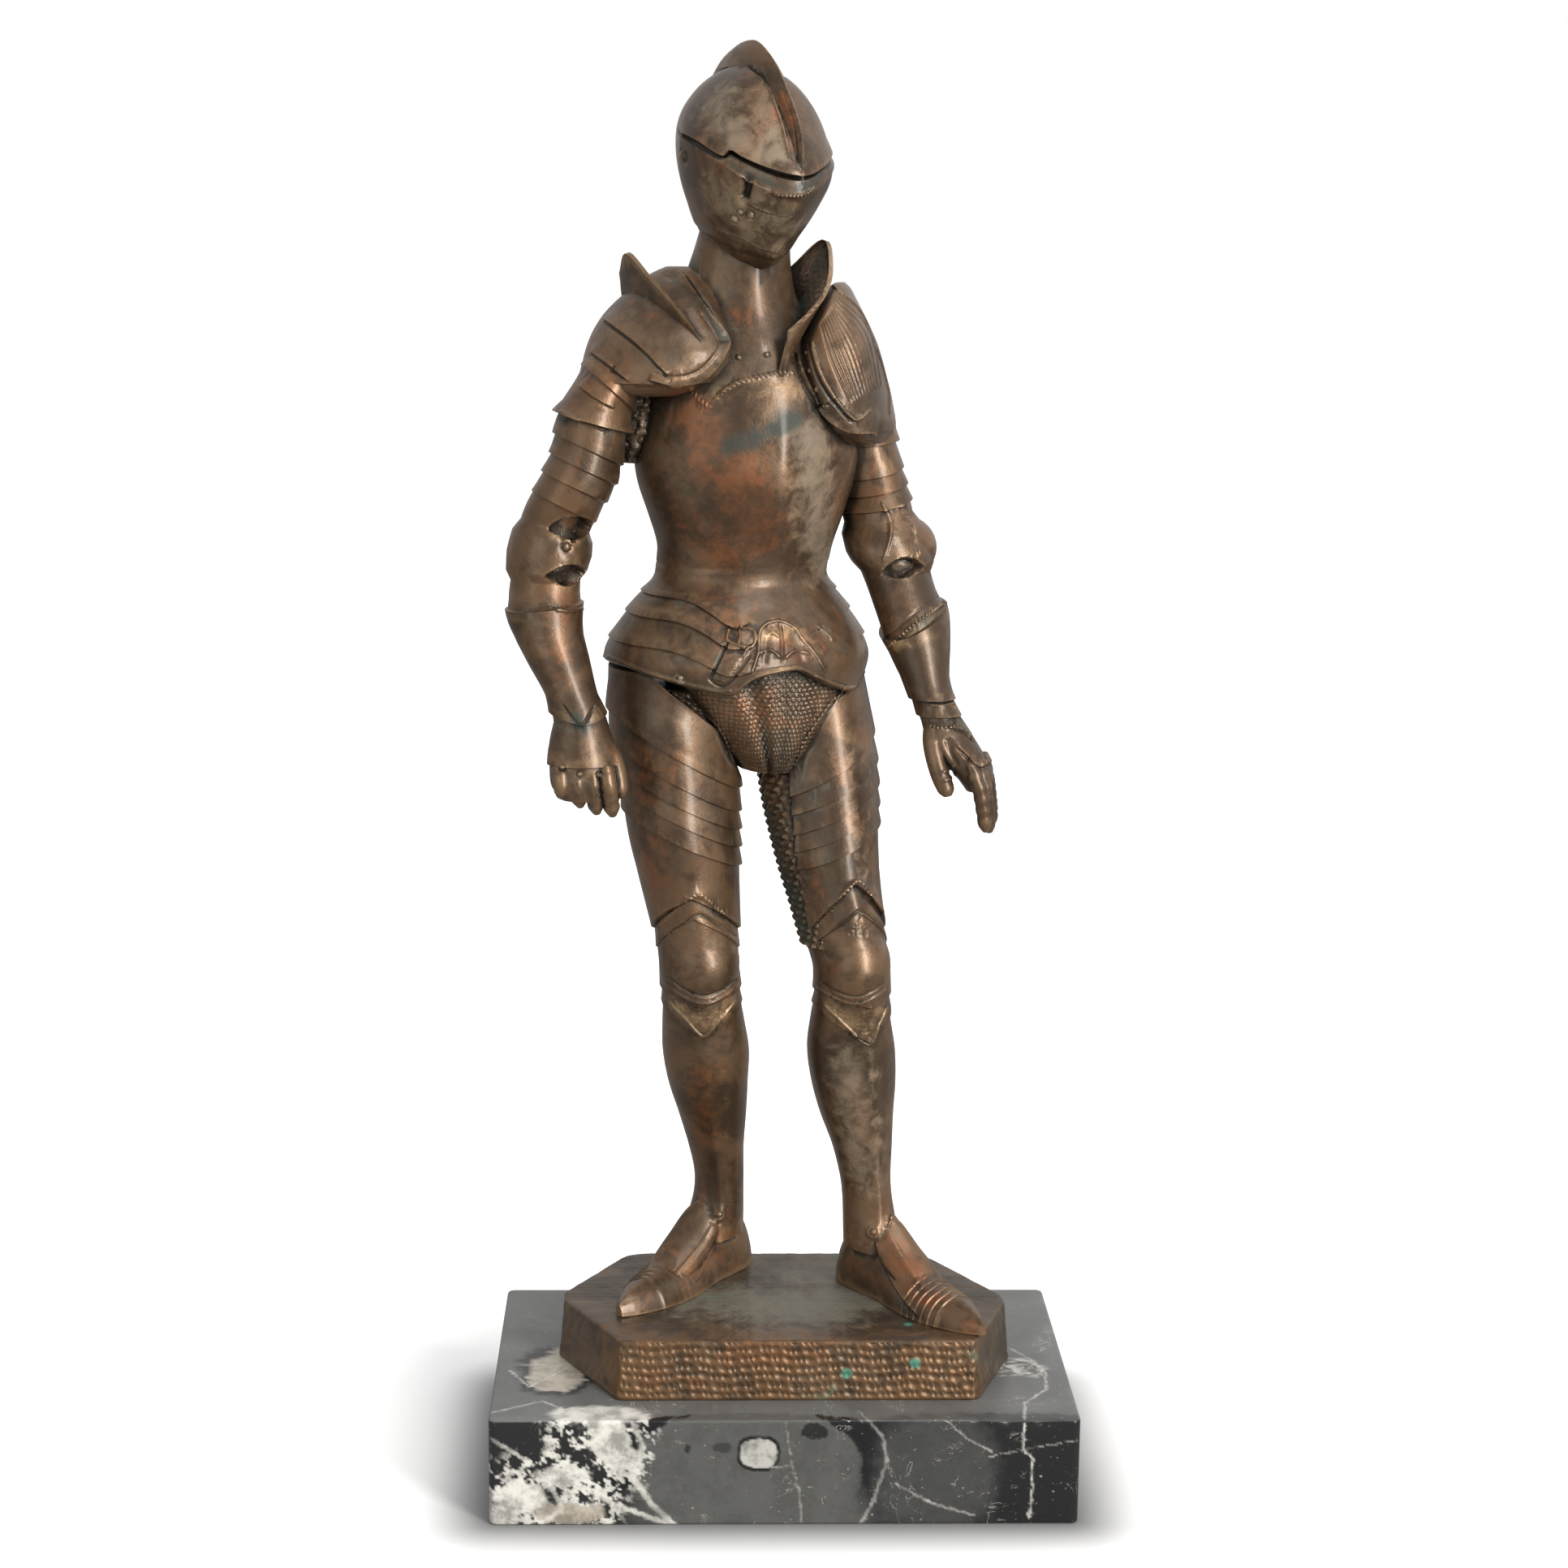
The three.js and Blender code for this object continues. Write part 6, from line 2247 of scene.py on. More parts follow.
SPOTS = (
    Spot("coal", (-9, -50, 15), (36, 5, 19), wander=1.6),
    Spot("grey", (-10, -50, 15.5), (30, 8, 16.5), 0.95, 1.2, 0.04),
    Spot("grey", (-8, -50, 3), (22, 8, 7), 1.0, 2.0, 0.9),
    Spot("coal", (58, -50, 16), (32, 5, 19), 0.6, 2.0, 0.3),
    Spot("grey", (41, -50, 15), (13, 8, 13), 0.5, 2.0, 0.5),
    Spot("coal", (8, -50, 27), (3.4, 4, 2), 0.9, 0.8),
    Spot("coal", (-17, -50, 22.4), (2.4, 4, 1.3), 0.6, 0.5),
    Spot("coal", (-26.4, -50, 22), (0.7, 4, 1.2), 0.8, 0.3, 0.3),
    Spot("coal", (-7.1, -50, 20.6), (5.6, 4, 4.9), 1.0, 0.5),
    Spot("white", (-7.1, -50, 20.6), (4.8, 4, 4.1), 0.62, 0.5, 0.08),
    Spot("white", (-50, -50, 23), (13, 7, 12), 0.95, 2.5, 0.3, True),
    Spot("white", (-64, -50, 8), (18, 7, 11), 0.95, 2.5, 0.35, True),
    Spot("white", (-48, -50, 25.5), (5, 5, 4.5), 0.95, 2.0, 0.2),
    Spot("white", (-44, -50, 19), (4.4, 5, 3.4), 0.9, 2.0, 0.25),
    Spot("white", (-60, -50, 14), (6.5, 5, 2.4), 0.9, 2.0, 0.3),
    Spot("white", (-71, -50, 8), (6, 5, 4), 0.95, 2.4, 0.3),
    Spot("white", (-76, -50, 3), (4, 5, 3), 0.8, 1.6, 0.3),
    Spot("cream", (-58, -50, 3.5), (8, 5, 2.4), 0.9, 1.4, 0.3),
    Spot("coal", (-63, -14, 30), (9.4, 16.6, 3), 0.8, 2.2, 0.2),
    Spot("cream", (-63, -16, 30), (7.6, 13, 3), 0.9, 1.8, 0.05),
    Spot("cream", (-61, -4, 30), (4, 8, 3), 0.85, 1.4, 0.05),
    Spot("white", (-51, -45, 30), (11, 4.4, 3), 0.85, 1.8, 0.3),
    Spot("white", (67, -13, 30), (5.5, 6, 4), 0.7, 2.0, 0.4, True),
    Spot("white", (80, 10, 14), (6, 16, 9), 0.7, 3.0, 0.5, True),
    Spot("grey", (-20, 50, 12), (22, 8, 10), 0.8, 3.0, 0.3),
    Spot("white", (34, 50, 16), (12, 8, 9), 0.8, 3.0, 0.5, True),
)

# Rows of width, strength and the points that a vein runs through
VEINS = (
    (0.6, 0.45, ((22.5, -50, 30), (26.5, -50, 25), (27.6, -50, 18.5), (24, -50, 6.7), (20.6, -50, 0))),
    (0.5, 0.45, ((20, -43, 30), (22.5, -50, 30))),
    (0.45, 0.9, ((64.6, -50, 30), (64.6, -50, 21.5), (67, -50, 19), (67.2, -50, 10), (66.6, -50, 2))),
    (0.5, 0.8, ((64.6, -50, 30), (66, -38, 30), (73, -28, 30), (74, -16, 30))),
    (0.3, 0.6, ((54.8, -50, 19.6), (64.6, -50, 21.5), (79.5, -50, 24.3))),
    (1.1, 0.95, ((-41, -50, 29.5), (-38.5, -50, 23), (-40.6, -50, 13), (-36, -50, 6), (-29.8, -50, 0))),
    (1.0, 0.95, ((-66, -50, 15), (-54, -50, 11), (-46, -50, 6), (-32, -50, 0.6))),
    (0.7, 0.8, ((-79.5, -50, 25), (-73, -50, 21), (-68, -50, 17.5))),
    (0.9, 0.9, ((-66, -50, 15), (-62, -50, 9), (-60, -50, 5), (-66, -50, 0))),
    (0.35, 0.5, ((-5, -50, 16.5), (2, -50, 17), (4, -50, 10), (4.5, -50, 1))),
    (0.3, 0.4, ((0, -50, 29.5), (1, -50, 22), (2, -50, 17))),
    (0.4, 0.5, ((30, -50, 12), (40, -50, 6), (52, -50, 2.5))),
    (0.4, 0.6, ((44, -50, 29.5), (49, -50, 25), (56, -50, 21))),
    (0.6, 0.7, ((-79, -44, 30), (-66, -36, 30), (-58, -44, 30), (-46, -50, 30))),
    (0.5, 0.7, ((-76, -14, 30), (-70, -26, 30), (-60, -12, 30))),
    (0.5, 0.6, ((66, 2, 30), (72, -8, 30), (68, -16, 30), (62, -10, 30))),
    (0.5, 0.6, ((-40, 44, 30), (0, 40, 30), (50, 46, 30))),
    (0.8, 0.6, ((-80, 20, 26), (-80, -6, 12), (-80, -30, 4))),
    (0.8, 0.6, ((80, -34, 28), (80, -4, 16), (80, 30, 3))), (0.9, 0.6, ((-60, 50, 28), (-10, 50, 18), (20, 50, 2))),
)


def drift(points: Array, scale: float, seed: float) -> Array:
    """An uneven vector field over points, from -1 to 1, with finer waves on coarse ones that run across them.

    Args:
        points: The points, in rows.
        scale: How fine the coarsest waves are.
        seed: Sets which field it is.

    Returns:
        A vector for each point.
    """
    sums = []
    for axis in range(3):
        total = np.zeros(len(points))
        for octave, share in enumerate((0.5, 0.3, 0.2)):
            askew = np.array(Matrix.Rotation(0.9 + 1.1 * octave + axis, 3, Vector((0.5, 0.8, -0.4 - 0.3 * octave))))
            x, y, z = (points @ askew).T * scale * 2.1**octave
            total += share * ripple(x, y, z, seed + 5.0 * octave + 11.0 * axis)
        sums.append(total)
    return np.stack(sums, axis=1)


def store_stone(made: Object) -> None:
    """Keeps on each vertex of the plinth how much of each kind of stone shows there.

    Args:
        made: The plinth. Its attributes "coal", "grey", "cream" and "white" are written.
    """
    points = read(made.data)[0] / MM
    kept = {name: np.zeros(len(points)) for name in ("coal", "grey", "cream", "white")}
    shards = smooth(drift(points, 0.9, 4.0)[:, 0] + 0.6 * drift(points, 2.6, 9.0)[:, 1], -0.02, 0.10)
    for index, spot in enumerate(SPOTS):
        moved = points + spot.wander * drift(points, 1.3, 2.0 + index)
        away = np.linalg.norm((moved - np.array(spot.centre)) / np.array(spot.reach), 2.6, axis=1)
        share = smooth(away, 1.0 + spot.soft, 1.0) * spot.strength * (shards if spot.broken else 1.0)
        for name in kept:
            kept[name] = kept[name] * (1.0 - share) + (share if name == spot.tone else 0.0)
    bent = points + 0.55 * drift(points, 2.2, 1.0)
    for width, strength, run in VEINS:
        near = np.full(len(points), np.inf)
        for start, end in zip(np.array(run[:-1], float), np.array(run[1:], float)):
            share = np.clip((bent - start) @ (end - start) / ((end - start) @ (end - start)), 0.0, 1.0)
            near = np.minimum(near, lengths(bent - start - share[:, None] * (end - start)))
        uneven = 0.75 + 0.35 * drift(points, 1.7, width * 9.0)[:, 2]
        vein = smooth(near, width * 1.1, width * 0.35) * strength * uneven
        kept["white"] = np.maximum(kept["white"], vein)
    for name, values in kept.items():
        keep(made.data, name, values)


@dataclass
class MarblePlinth:
    """The marble plinth: a sawn and polished block with eased edges and small chips."""

    width: float = 160.0
    depth: float = 100.0
    corner: float = 2.0
    edge: float = 0.8
    spacing: Sequence[float] = (0.48, 1.0, 1.6, 1.0)
    chips: Table = ((62.0, 4.0, 0.9), (70.5, 3.2, 0.7), (52.0, 1.6, 0.4), (-31.0, 1.3, 0.35))

    def outline(self, out: float) -> Array:
        """The plinth's outline."""
        x, y, r = self.width / 2, self.depth / 2, self.corner
        return rounded_outline(((-x, -y, r), (x, -y, r), (x, y, r), (-x, y, r)), out, 7, self.spacing)

    def rows(self) -> list[tuple[float, float]]:
        """Works out the section of the plinth's wall.

        Returns:
            Rows of height and distance out, from the underside to the brim.
        """
        ease = [(math.sin(math.radians(t)), math.cos(math.radians(t))) for t in np.linspace(0, 90, 6)]
        low = [(self.edge * (1 - c), -self.edge * (1 - s)) for s, c in ease]
        high = [(PLINTH_TOP - self.edge * (1 - s), -self.edge * (1 - c)) for s, c in ease]
        walls = [(z, 0.0) for z in np.linspace(self.edge, PLINTH_TOP - self.edge, 60)[1:-1]]
        return low + walls + high

    def chipped(self, points: Array, _: Array) -> Array:
        """Works out chips along the front's top edge.

        Args:
            points: The vertices.

        Returns:
            The distance that each vertex moves.
        """
        x, y, z = points.T
        brink = np.exp(-(((z - PLINTH_TOP) / 1.5) ** 2)) * np.exp(-(((y + self.depth / 2) / 1.5) ** 2))
        chips = 0.0 * x
        for place, wide, deep in self.chips:
            chips = chips + deep * np.exp(-(((x - place) / wide) ** 2))
        return -brink * chips * (0.75 + 0.25 * ripple(x * 1.4, y * 1.4, z * 1.4, 1.0))

    def build(self, finish: bpy.types.Material) -> Object:
        """Makes the plinth.

        Args:
            finish: Its material.

        Returns:
            The plinth's object.
        """
        form = slab(self.outline, self.rows(), 52)
        move_out(form, self.chipped)
        on_top = [even_path(np.array(points, float), 0.3) for _, _, points in VEINS if points[0][2] == PLINTH_TOP]
        marks = np.vstack(on_top)
        marks = marks[marks[:, 2] > PLINTH_TOP - 2.0]
        Chaser(form, sharp=1.1).refine(marks, np.full(len(marks), 1.3), np.full(len(marks), 0.5), 2)
        made = finish_mesh(form, "veined_plinth")
        store_stone(made)
        put_on(made, finish)
        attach(made, "root")
        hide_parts("marble_plinth")
        return made


# Finishes

Socket = bpy.types.NodeSocket
Value = Socket | float | Sequence[float]


@dataclass
class Graph:
    """Adds nodes to a tree and joins them."""

    tree: bpy.types.NodeTree

    def add(self, kind: str, inputs: dict[str | int, Value], **settings: object) -> bpy.types.Node:
        """Adds a node.

        Args:
            kind: The node's type.
            inputs: Values or sockets by the name or number of the input.
            **settings: The node's own settings.

        Returns:
            The node.
        """
        made = self.tree.nodes.new(kind)
        for name, value in settings.items():
            setattr(made, name, value)
        for name, value in inputs.items():
            if isinstance(value, bpy.types.NodeSocket):
                self.tree.links.new(value, made.inputs[name])
            else:
                made.inputs[name].default_value = value
        return made

    def math(self, operation: str, first: Value, second: Value = 0.0) -> Socket:
        """The result of a sum."""
        return self.add("ShaderNodeMath", {0: first, 1: second}, operation=operation).outputs[0]

    def times(self, first: Value, second: Value) -> Socket:
        """A product."""
        return self.math("MULTIPLY", first, second)

    def plus(self, first: Value, second: Value) -> Socket:
        """A sum."""
        return self.math("ADD", first, second)

    def vector(self, operation: str, first: Value, second: Value = (0.0, 0.0, 0.0)) -> Socket:
        """The result of a sum of vectors: a vector, or a number for a length."""
        made = self.add("ShaderNodeVectorMath", {0: first, 1: second}, operation=operation)
        return made.outputs["Value" if operation == "LENGTH" else "Vector"]

    def mask(self, value: Value, low: Value, high: Value) -> Socket:
        """Eases from 0 at `low` to 1 at `high`."""
        values = {"Value": value, "From Min": low, "From Max": high}
        return self.add("ShaderNodeMapRange", values, interpolation_type="SMOOTHSTEP").outputs["Result"]

    def mix(self, share: Value, first: Value, second: Value) -> Socket:
        """A colour between two."""
        return self.add("ShaderNodeMix", {0: share, 6: first, 7: second}, data_type="RGBA").outputs[2]

    def blend(self, share: Value, first: Value, second: Value) -> Socket:
        """A number between two."""
        return self.add("ShaderNodeMix", {0: share, 2: first, 3: second}).outputs[0]

    def join(self, socket: Socket, shader: bpy.types.Node, name: str) -> None:
        """Joins a socket to a shader's input."""
        self.tree.links.new(socket, shader.inputs[name])

    def noise(
        self, coords: Socket, scale: float, detail: float = 4.0, rough: float = 0.55, twist: float = 0.0
    ) -> Socket:
        """A noise value from 0 to 1."""
        values = {"Vector": coords, "Scale": scale, "Detail": detail, "Roughness": rough, "Distortion": twist}
        return self.add("ShaderNodeTexNoise", values).outputs[0]

    def attribute(self, name: str) -> Socket:
        """A number kept on the mesh."""
        return self.add("ShaderNodeAttribute", {}, attribute_name=name).outputs["Fac"]


FLOAT, COLOUR, VECTOR = "NodeSocketFloat", "NodeSocketColor", "NodeSocketVector"


def start_material(name: str) -> tuple[bpy.types.Material, Graph, bpy.types.Node]:
    """Starts a material.

    Args:
        name: The material's name.

    Returns:
        The material, its graph and its shader.
    """
    made = bpy.data.materials.new(name)
    made.use_nodes = True
    return made, Graph(made.node_tree), made.node_tree.nodes["Principled BSDF"]


def start_group(
    name: str, inputs: dict[str, str], outputs: dict[str, str]
) -> tuple[Graph, bpy.types.NodeTree, dict[str, Socket]]:
    """Starts a node group.

    Args:
        name: The group's name.
        inputs: Socket types by name.
        outputs: Socket types by name.

    Returns:
        The group's graph, its tree and its input sockets by name.
    """
    tree = bpy.data.node_groups.new(name, "ShaderNodeTree")
    for way, sockets in (("INPUT", inputs), ("OUTPUT", outputs)):
        for socket, kind in sockets.items():
            tree.interface.new_socket(name=socket, in_out=way, socket_type=kind)
    graph = Graph(tree)
    start = graph.add("NodeGroupInput", {})
    return graph, tree, {socket: start.outputs[socket] for socket in inputs}


def worn_bronze_group() -> bpy.types.NodeTree:
    """Makes a group for patinated bronze: brown clouds, worn edges, dust in the hollows, near-black in the deepest
    hollows as painted shade with dark patina, and painted highlights and painted light where tinted golden or pale.

    Returns:
        The group's tree.
    """
    colours = ("Ground", "Warm", "Copper", "Rubbed_and_highlight", "Dust", "Verdigris", "Bloom_and_sheen")
    masks = ("Hollow", "Edge", "Green", "Red", "Gold", "Pale", "Rubbing", "Dusting")
    graph, tree, given = start_group(
        "worn_bronze",
        {"Coordinates": VECTOR, **{name: COLOUR for name in colours}, **{name: FLOAT for name in masks}},
        {"Colour": COLOUR, "Metallic": FLOAT, "Roughness": FLOAT, "Height": FLOAT},
    )
    coords = given["Coordinates"]
    clouds = graph.noise(coords, 38.0, 4.0, 0.6, 0.6)
    mottle = graph.noise(coords, 190.0, 6.0, 0.68, 0.4)
    grain = graph.noise(coords, 1300.0, 3.0, 0.6)
    tall = graph.add("ShaderNodeMapping", {"Vector": coords, "Scale": (1.0, 1.0, 0.35)}).outputs[0]
    streaks = graph.noise(tall, 120.0, 5.0, 0.7)
    uneven = graph.times(graph.math("SUBTRACT", mottle, 0.5), 1.5)
    colour = graph.mix(graph.mask(clouds, 0.36, 0.62), given["Ground"], given["Warm"])
    ruddy = graph.math("MAXIMUM", graph.times(graph.mask(streaks, 0.50, 0.70), 0.62), given["Red"])
    reddened = graph.mask(graph.plus(ruddy, uneven), 0.2, 0.85)
    colour = graph.mix(graph.times(reddened, 0.8), colour, given["Copper"])
    # The golden tints turn towards the worn-edge colour: golden patina, and also painted highlights and painted
    # light.
    gilt_and_highlight = graph.mask(graph.plus(given["Gold"], uneven), 0.3, 1.0)
    colour = graph.mix(graph.times(gilt_and_highlight, 0.75), colour, given["Rubbed_and_highlight"])
    dark = graph.mask(graph.times(mottle, clouds), 0.29, 0.16)
    colour = graph.mix(graph.times(dark, 0.75), colour, given["Ground"])
    dusty = graph.mask(graph.noise(coords, 62.0, 5.0, 0.68), 0.50, 0.70)
    # The pale tints turn towards the pale film's colour: a pale film, and also painted highlights and painted light.
    pale = graph.times(graph.mask(graph.plus(given["Pale"], uneven), 0.25, 0.9), 0.75)
    pale = graph.math("MAXIMUM", pale, graph.times(dusty, 0.16))
    colour = graph.mix(pale, colour, given["Bloom_and_sheen"])
    rub = graph.mask(graph.times(given["Edge"], graph.plus(mottle, 0.1)), 0.12, 0.52)
    rub = graph.times(rub, given["Rubbing"])
    colour = graph.mix(rub, colour, given["Rubbed_and_highlight"])
    settled = graph.times(graph.mask(given["Hollow"], 0.14, 0.36), graph.mask(given["Hollow"], 0.8, 0.45))
    settled = graph.times(settled, graph.mask(graph.noise(coords, 85.0, 5.0, 0.7), 0.45, 0.65))
    settled = graph.times(settled, given["Dusting"])
    colour = graph.mix(settled, colour, given["Dust"])
    # Painted shade: the deepest hollows turn near-black, partly dark patina and partly the shade that falls there.
    deep = graph.mask(given["Hollow"], 0.22, 0.68)
    soot_and_shade = graph.mix(graph.mask(mottle, 0.3, 0.7), (0.010, 0.007, 0.005, 1.0), (0.03, 0.02, 0.012, 1.0))
    colour = graph.mix(graph.times(deep, 0.86), colour, soot_and_shade)
    mossy = graph.times(graph.mask(graph.noise(coords, 33.0, 5.0, 0.65, 0.5), 0.5, 0.68), 0.5)
    green = graph.mask(graph.plus(graph.math("MAXIMUM", given["Green"], mossy), uneven), 0.35, 0.95)
    green = graph.times(green, 0.85)
    colour = graph.mix(green, colour, given["Verdigris"])
    crust = graph.math("MAXIMUM", graph.math("MAXIMUM", settled, green), graph.times(pale, 0.7))
    metallic = graph.math("SUBTRACT", 0.6, graph.times(crust, 0.45))
    rough = graph.plus(0.24, graph.times(mottle, 0.3))
    rough = graph.plus(rough, graph.times(crust, 0.28))
    rough = graph.plus(rough, graph.times(deep, 0.2))
    rough = graph.math("SUBTRACT", rough, graph.times(rub, 0.05))
    height = graph.plus(graph.times(mottle, 0.7), graph.times(grain, 0.3))
    height = graph.plus(height, graph.times(crust, 0.2))
    graph.add("NodeGroupOutput", {"Colour": colour, "Metallic": metallic, "Roughness": rough, "Height": height})
    return tree


@dataclass(frozen=True)
class PatinatedBronze:
    """Cast bronze with a brown patina, worn on its edges, dusty in its hollows and near-black in the deepest as
    painted shade with dark patina, and with painted highlights and painted light where tinted golden or pale.
    """

    name: str
    ground: Triple
    warm: Triple
    copper: Triple
    rubbed_and_highlight: Triple
    dust: Triple
    verdigris: Triple
    bloom_and_sheen: Triple
    rubbing: float
    dusting: float
    bump: float
    gloss: float

    def material(self, group: bpy.types.NodeTree) -> bpy.types.Material:
        """Makes the material.

        Args:
            group: The worn bronze group.

        Returns:
            The material.
        """
        made, graph, shader = start_material(self.name)
        coords = graph.add("ShaderNodeTexCoord", {}).outputs["Object"]
        colours = {"Ground": self.ground, "Warm": self.warm, "Copper": self.copper, "Rubbed_and_highlight": self.rubbed_and_highlight}
        colours.update({"Dust": self.dust, "Verdigris": self.verdigris, "Bloom_and_sheen": self.bloom_and_sheen})
        values = {name: (*colour, 1.0) for name, colour in colours.items()}
        masks = ("Hollow", "Edge", "Green", "Red", "Gold", "Pale")
        values.update({name: graph.attribute(name.lower()) for name in masks})
        values.update({"Coordinates": coords, "Rubbing": self.rubbing, "Dusting": self.dusting})
        worn = graph.add("ShaderNodeGroup", values, node_tree=group).outputs
        relief = graph.add("ShaderNodeBump", {"Height": worn["Height"], "Strength": 1.0, "Distance": self.bump})
        shader.inputs["Coat Weight"].default_value = self.gloss
        shader.inputs["Coat Roughness"].default_value = 0.16
        graph.join(worn["Colour"], shader, "Base Color")
        graph.join(worn["Metallic"], shader, "Metallic")
        graph.join(worn["Roughness"], shader, "Roughness")
        graph.join(relief.outputs["Normal"], shader, "Normal")
        return made


FIGURE_BRONZE = PatinatedBronze(
    name="figure_bronze",
    ground=(0.062, 0.037, 0.021),
    warm=(0.150, 0.088, 0.047),
    copper=(0.21, 0.076, 0.028),
    rubbed_and_highlight=(0.33, 0.215, 0.115),
    dust=(0.12, 0.115, 0.085),
    verdigris=(0.020, 0.029, 0.023),
    bloom_and_sheen=(0.23, 0.18, 0.125),
    rubbing=0.42,
    dusting=0.6,
    bump=0.00018,
    gloss=0.25,
)
BASE_BRONZE = PatinatedBronze(
    name="base_bronze",
    ground=(0.06, 0.042, 0.028),
    warm=(0.12, 0.084, 0.055),
    copper=(0.17, 0.06, 0.03),
    rubbed_and_highlight=(0.16, 0.085, 0.038),
    dust=(0.13, 0.12, 0.09),
    verdigris=(0.05, 0.20, 0.14),
    bloom_and_sheen=(0.16, 0.15, 0.115),
    rubbing=0.3,
    dusting=0.5,
    bump=0.00025,
    gloss=0.0,
)


@dataclass(frozen=True)
class VeinedMarble:
    """Polished black marble with grey clouds, pale shards and white veins, as kept on the mesh."""

    name: str
    black: Triple
    coal: Triple
    grey: Triple
    worn: Triple
    white: Triple
    cream: Triple

    def material(self) -> bpy.types.Material:
        """Makes the material.

        Returns:
            The material.
        """
        made, graph, shader = start_material(self.name)
        coords = graph.add("ShaderNodeTexCoord", {}).outputs["Object"]
        clouds = graph.noise(coords, 45.0, 6.0, 0.62, 0.9)
        grain = graph.noise(coords, 600.0, 5.0, 0.72)
        mottle = graph.noise(coords, 170.0, 6.0, 0.7)
        colour = graph.mix(graph.mask(clouds, 0.55, 0.9), (*self.black, 1.0), (*self.grey, 1.0))
        normal = graph.add("ShaderNodeNewGeometry", {}).outputs["Normal"]
        facing = graph.add("ShaderNodeSeparateXYZ", {"Vector": normal})
        up = graph.mask(facing.outputs[2], 0.4, 0.9)
        cloudy = graph.plus(0.7, graph.times(graph.mask(clouds, 0.3, 0.7), 0.3))
        # Painted sheen: upward faces are turned a lighter grey for the light that the polished top catches; they are
        # also made rougher further down.
        colour = graph.mix(graph.times(up, cloudy), colour, (*self.worn, 1.0))
        for name, thin in (("coal", 0.0), ("grey", 0.25), ("cream", 0.5), ("white", 0.6)):
            whole = graph.plus(1.0 - thin, graph.times(graph.mask(mottle, 0.34, 0.6), thin))
            share = graph.times(graph.attribute(name), whole)
            colour = graph.mix(share, colour, (*getattr(self, name), 1.0))
        specks = graph.mask(graph.noise(coords, 900.0, 2.0, 0.5), 0.66, 0.76)
        colour = graph.mix(graph.times(specks, 0.3), colour, (*self.white, 1.0))
        hair = graph.math("ABSOLUTE", graph.math("SUBTRACT", graph.noise(coords, 55.0, 6.0, 0.6, 1.6), 0.5))
        hair = graph.times(graph.mask(hair, 0.005, 0.0), graph.mask(clouds, 0.52, 0.64))
        colour = graph.mix(graph.times(hair, 0.7), colour, (*self.white, 1.0))
        rough = graph.plus(0.17, graph.times(grain, 0.12))
        rough = graph.plus(rough, graph.times(up, 0.14))
        relief = graph.add("ShaderNodeBump", {"Height": grain, "Strength": 0.35, "Distance": 0.00005})
        graph.join(colour, shader, "Base Color")
        graph.join(rough, shader, "Roughness")
        graph.join(relief.outputs["Normal"], shader, "Normal")
        return made


BLACK_MARBLE = VeinedMarble(
    name="black_marble",
    black=(0.014, 0.014, 0.015),
    coal=(0.007, 0.007, 0.008),
    grey=(0.080, 0.080, 0.076),
    worn=(0.125, 0.125, 0.12),
    white=(0.62, 0.60, 0.55),
    cream=(0.42, 0.37, 0.30),
)


def put_on(made: Object, material: bpy.types.Material) -> None:
    """Gives a piece its one material."""
    made.data.materials.clear()
    made.data.materials.append(material)


# The studio


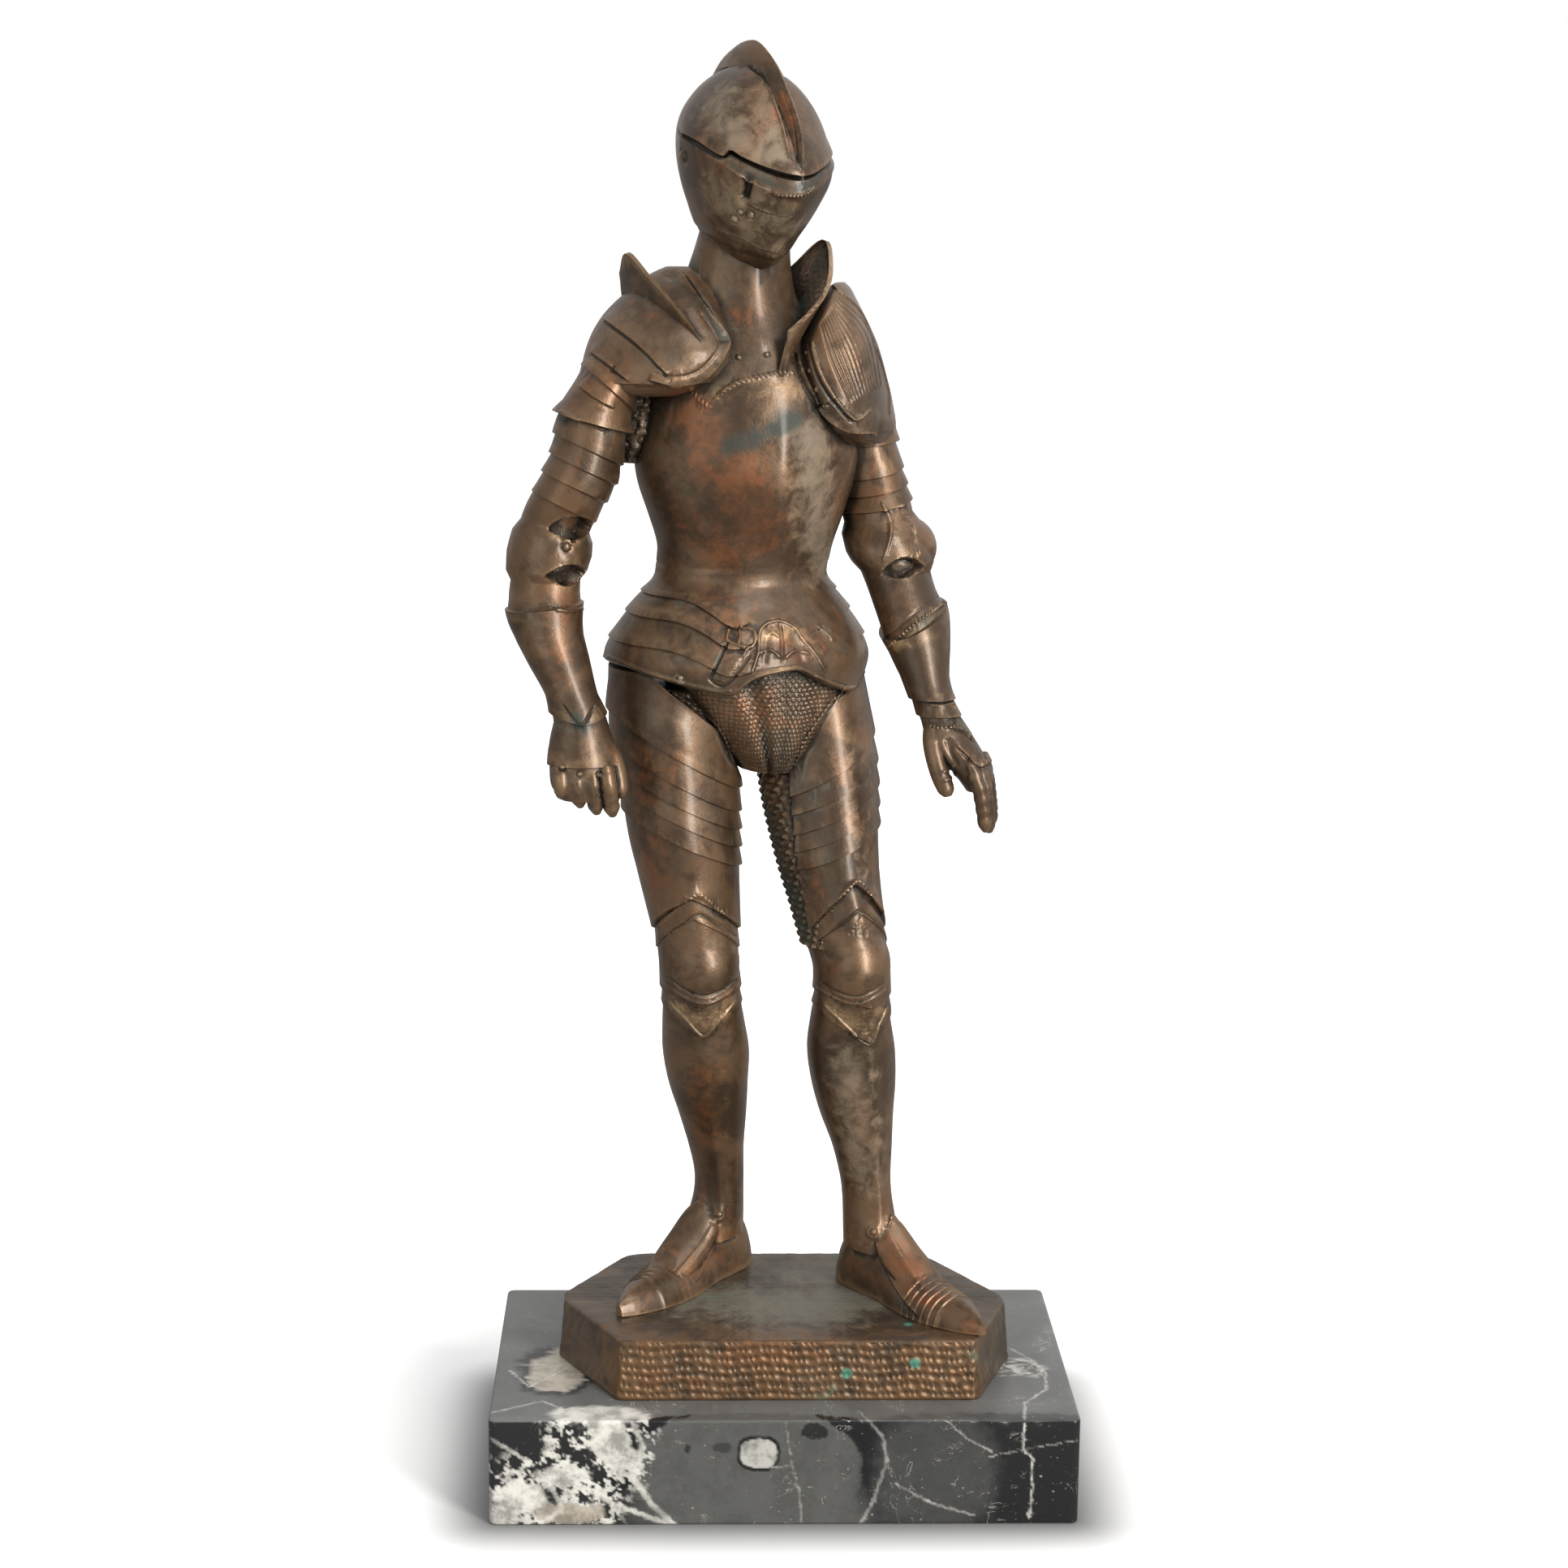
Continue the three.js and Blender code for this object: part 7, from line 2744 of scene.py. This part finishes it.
@dataclass
class Studio:
    """A plain pale floor with a painted shadow round the plinth, soft lights and the main view's camera."""

    floor_size: float = 6.0
    floor_shadow_tone: float = 0.13
    sky: float = 1.25

    def floor(self) -> None:
        """Lays the pale floor, with a painted shadow round the plinth's foot."""
        form = bmesh.new()
        bmesh.ops.create_circle(form, cap_ends=True, segments=96, radius=self.floor_size)
        mesh = bpy.data.meshes.new("floor")
        form.to_mesh(mesh)
        form.free()
        made = add_object("floor", mesh)
        material, graph, shader = start_material("pale_floor")
        coords = graph.add("ShaderNodeTexCoord", {}).outputs["Object"]
        # Painted shadow: to the eye the floor is dark grey in a rounded box round the plinth, pales further out and
        # glows white away from it; to other rays it is a darker grey.
        tone = self.floor_shadow_tone
        aside = graph.vector("SUBTRACT", graph.vector("ABSOLUTE", coords), (0.078, 0.048, 0.0))
        away = graph.vector("LENGTH", graph.vector("MAXIMUM", aside, (0.0, 0.0, 0.0)))
        shade = graph.mix(graph.mask(away, -0.004, 0.026), (tone, tone, tone, 1.0), (0.85, 0.85, 0.85, 1.0))
        seen = graph.add("ShaderNodeLightPath", {}).outputs["Is Camera Ray"]
        glow = graph.times(graph.mask(away, 0.01, 0.12), seen)
        graph.join(glow, shader, "Emission Strength")
        shader.inputs["Emission Color"].default_value = (0.5, 0.5, 0.5, 1.0)
        shade = graph.mix(seen, (0.26, 0.25, 0.24, 1.0), shade)
        graph.join(shade, shader, "Base Color")
        shader.inputs["Roughness"].default_value = 0.9
        shader.inputs["Specular IOR Level"].default_value = 0.1
        put_on(made, material)

    def lamp(
        self, name: str, place: Triple, size: tuple[float, float], watts: float, colour: Triple = (1.0, 0.98, 0.94)
    ) -> None:
        """Hangs a soft lamp that looks at the figure's middle.

        Args:
            name: The lamp's name.
            place: Where it hangs, in metres.
            size: Its width and height, in metres.
            watts: Its power.
            colour: Its colour.
        """
        light = bpy.data.lights.new(name, "AREA")
        light.color = colour
        light.shape, light.size, light.size_y, light.energy = "RECTANGLE", *size, watts
        made = add_object(name, light)
        made.location = place
        made.rotation_euler = (Vector((0.0, 0.0, 0.2)) - Vector(place)).to_track_quat("-Z", "Y").to_euler()

    def surroundings(self) -> None:
        """Makes the room: white to the eye and on the floor, and shaded for the reflections."""
        world = bpy.data.worlds.new("room")
        world.use_nodes = True
        bpy.context.scene.world = world
        graph = Graph(world.node_tree)
        nodes = world.node_tree.nodes
        way = graph.add("ShaderNodeSeparateXYZ", {"Vector": graph.add("ShaderNodeTexCoord", {}).outputs["Generated"]})
        rise = graph.mask(way.outputs[2], 0.05, 0.95)
        right = graph.mask(way.outputs[0], -0.3, 1.0)
        back = graph.mask(way.outputs[1], -0.3, 0.9)
        tone = graph.plus(0.27, graph.times(rise, 0.2))
        tone = graph.plus(tone, graph.times(right, 0.36))
        tone = graph.plus(tone, graph.times(back, 0.3))
        sky = graph.math("SUBTRACT", self.sky, graph.times(rise, 0.4))
        path = graph.add("ShaderNodeLightPath", {})
        tone = graph.blend(path.outputs["Is Glossy Ray"], sky, tone)
        nodes["Background"].inputs["Color"].default_value = (1.0, 1.0, 1.0, 1.0)
        strength = graph.blend(path.outputs["Is Camera Ray"], tone, 1.0)
        world.node_tree.links.new(strength, nodes["Background"].inputs["Strength"])

    def build(self) -> None:
        """Sets up the floor, the lamps, the room and the camera."""
        EYE.make_camera()
        self.floor()
        self.surroundings()
        self.lamp("key", (0.98, -1.28, 0.62), (0.4, 1.4), 33.0)
        self.lamp("fill", (-0.9, -1.5, 0.4), (1.2, 1.2), 5.0, (0.9, 0.95, 0.9))
        self.lamp("top", (0.5, -0.5, 1.7), (0.7, 0.7), 6.0)
        bpy.context.scene.view_settings.view_transform = "Standard"


def main() -> None:
    """Builds the studio and the pieces in order, and logs their triangle counts."""
    logging.basicConfig(level=logging.INFO, format="%(message)s")
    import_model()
    Studio().build()
    bronze = worn_bronze_group()
    figure_bronze, base_bronze = FIGURE_BRONZE.material(bronze), BASE_BRONZE.material(bronze)
    marble = BLACK_MARBLE.material()
    for piece, material in ((MarblePlinth(), marble), (HammeredBase(), base_bronze), (Knight(), figure_bronze)):
        made = piece.build(material)
        LOG.info("%s: %d triangles", made.name, len(made.data.polygons))


if __name__ == "__main__":
    main()
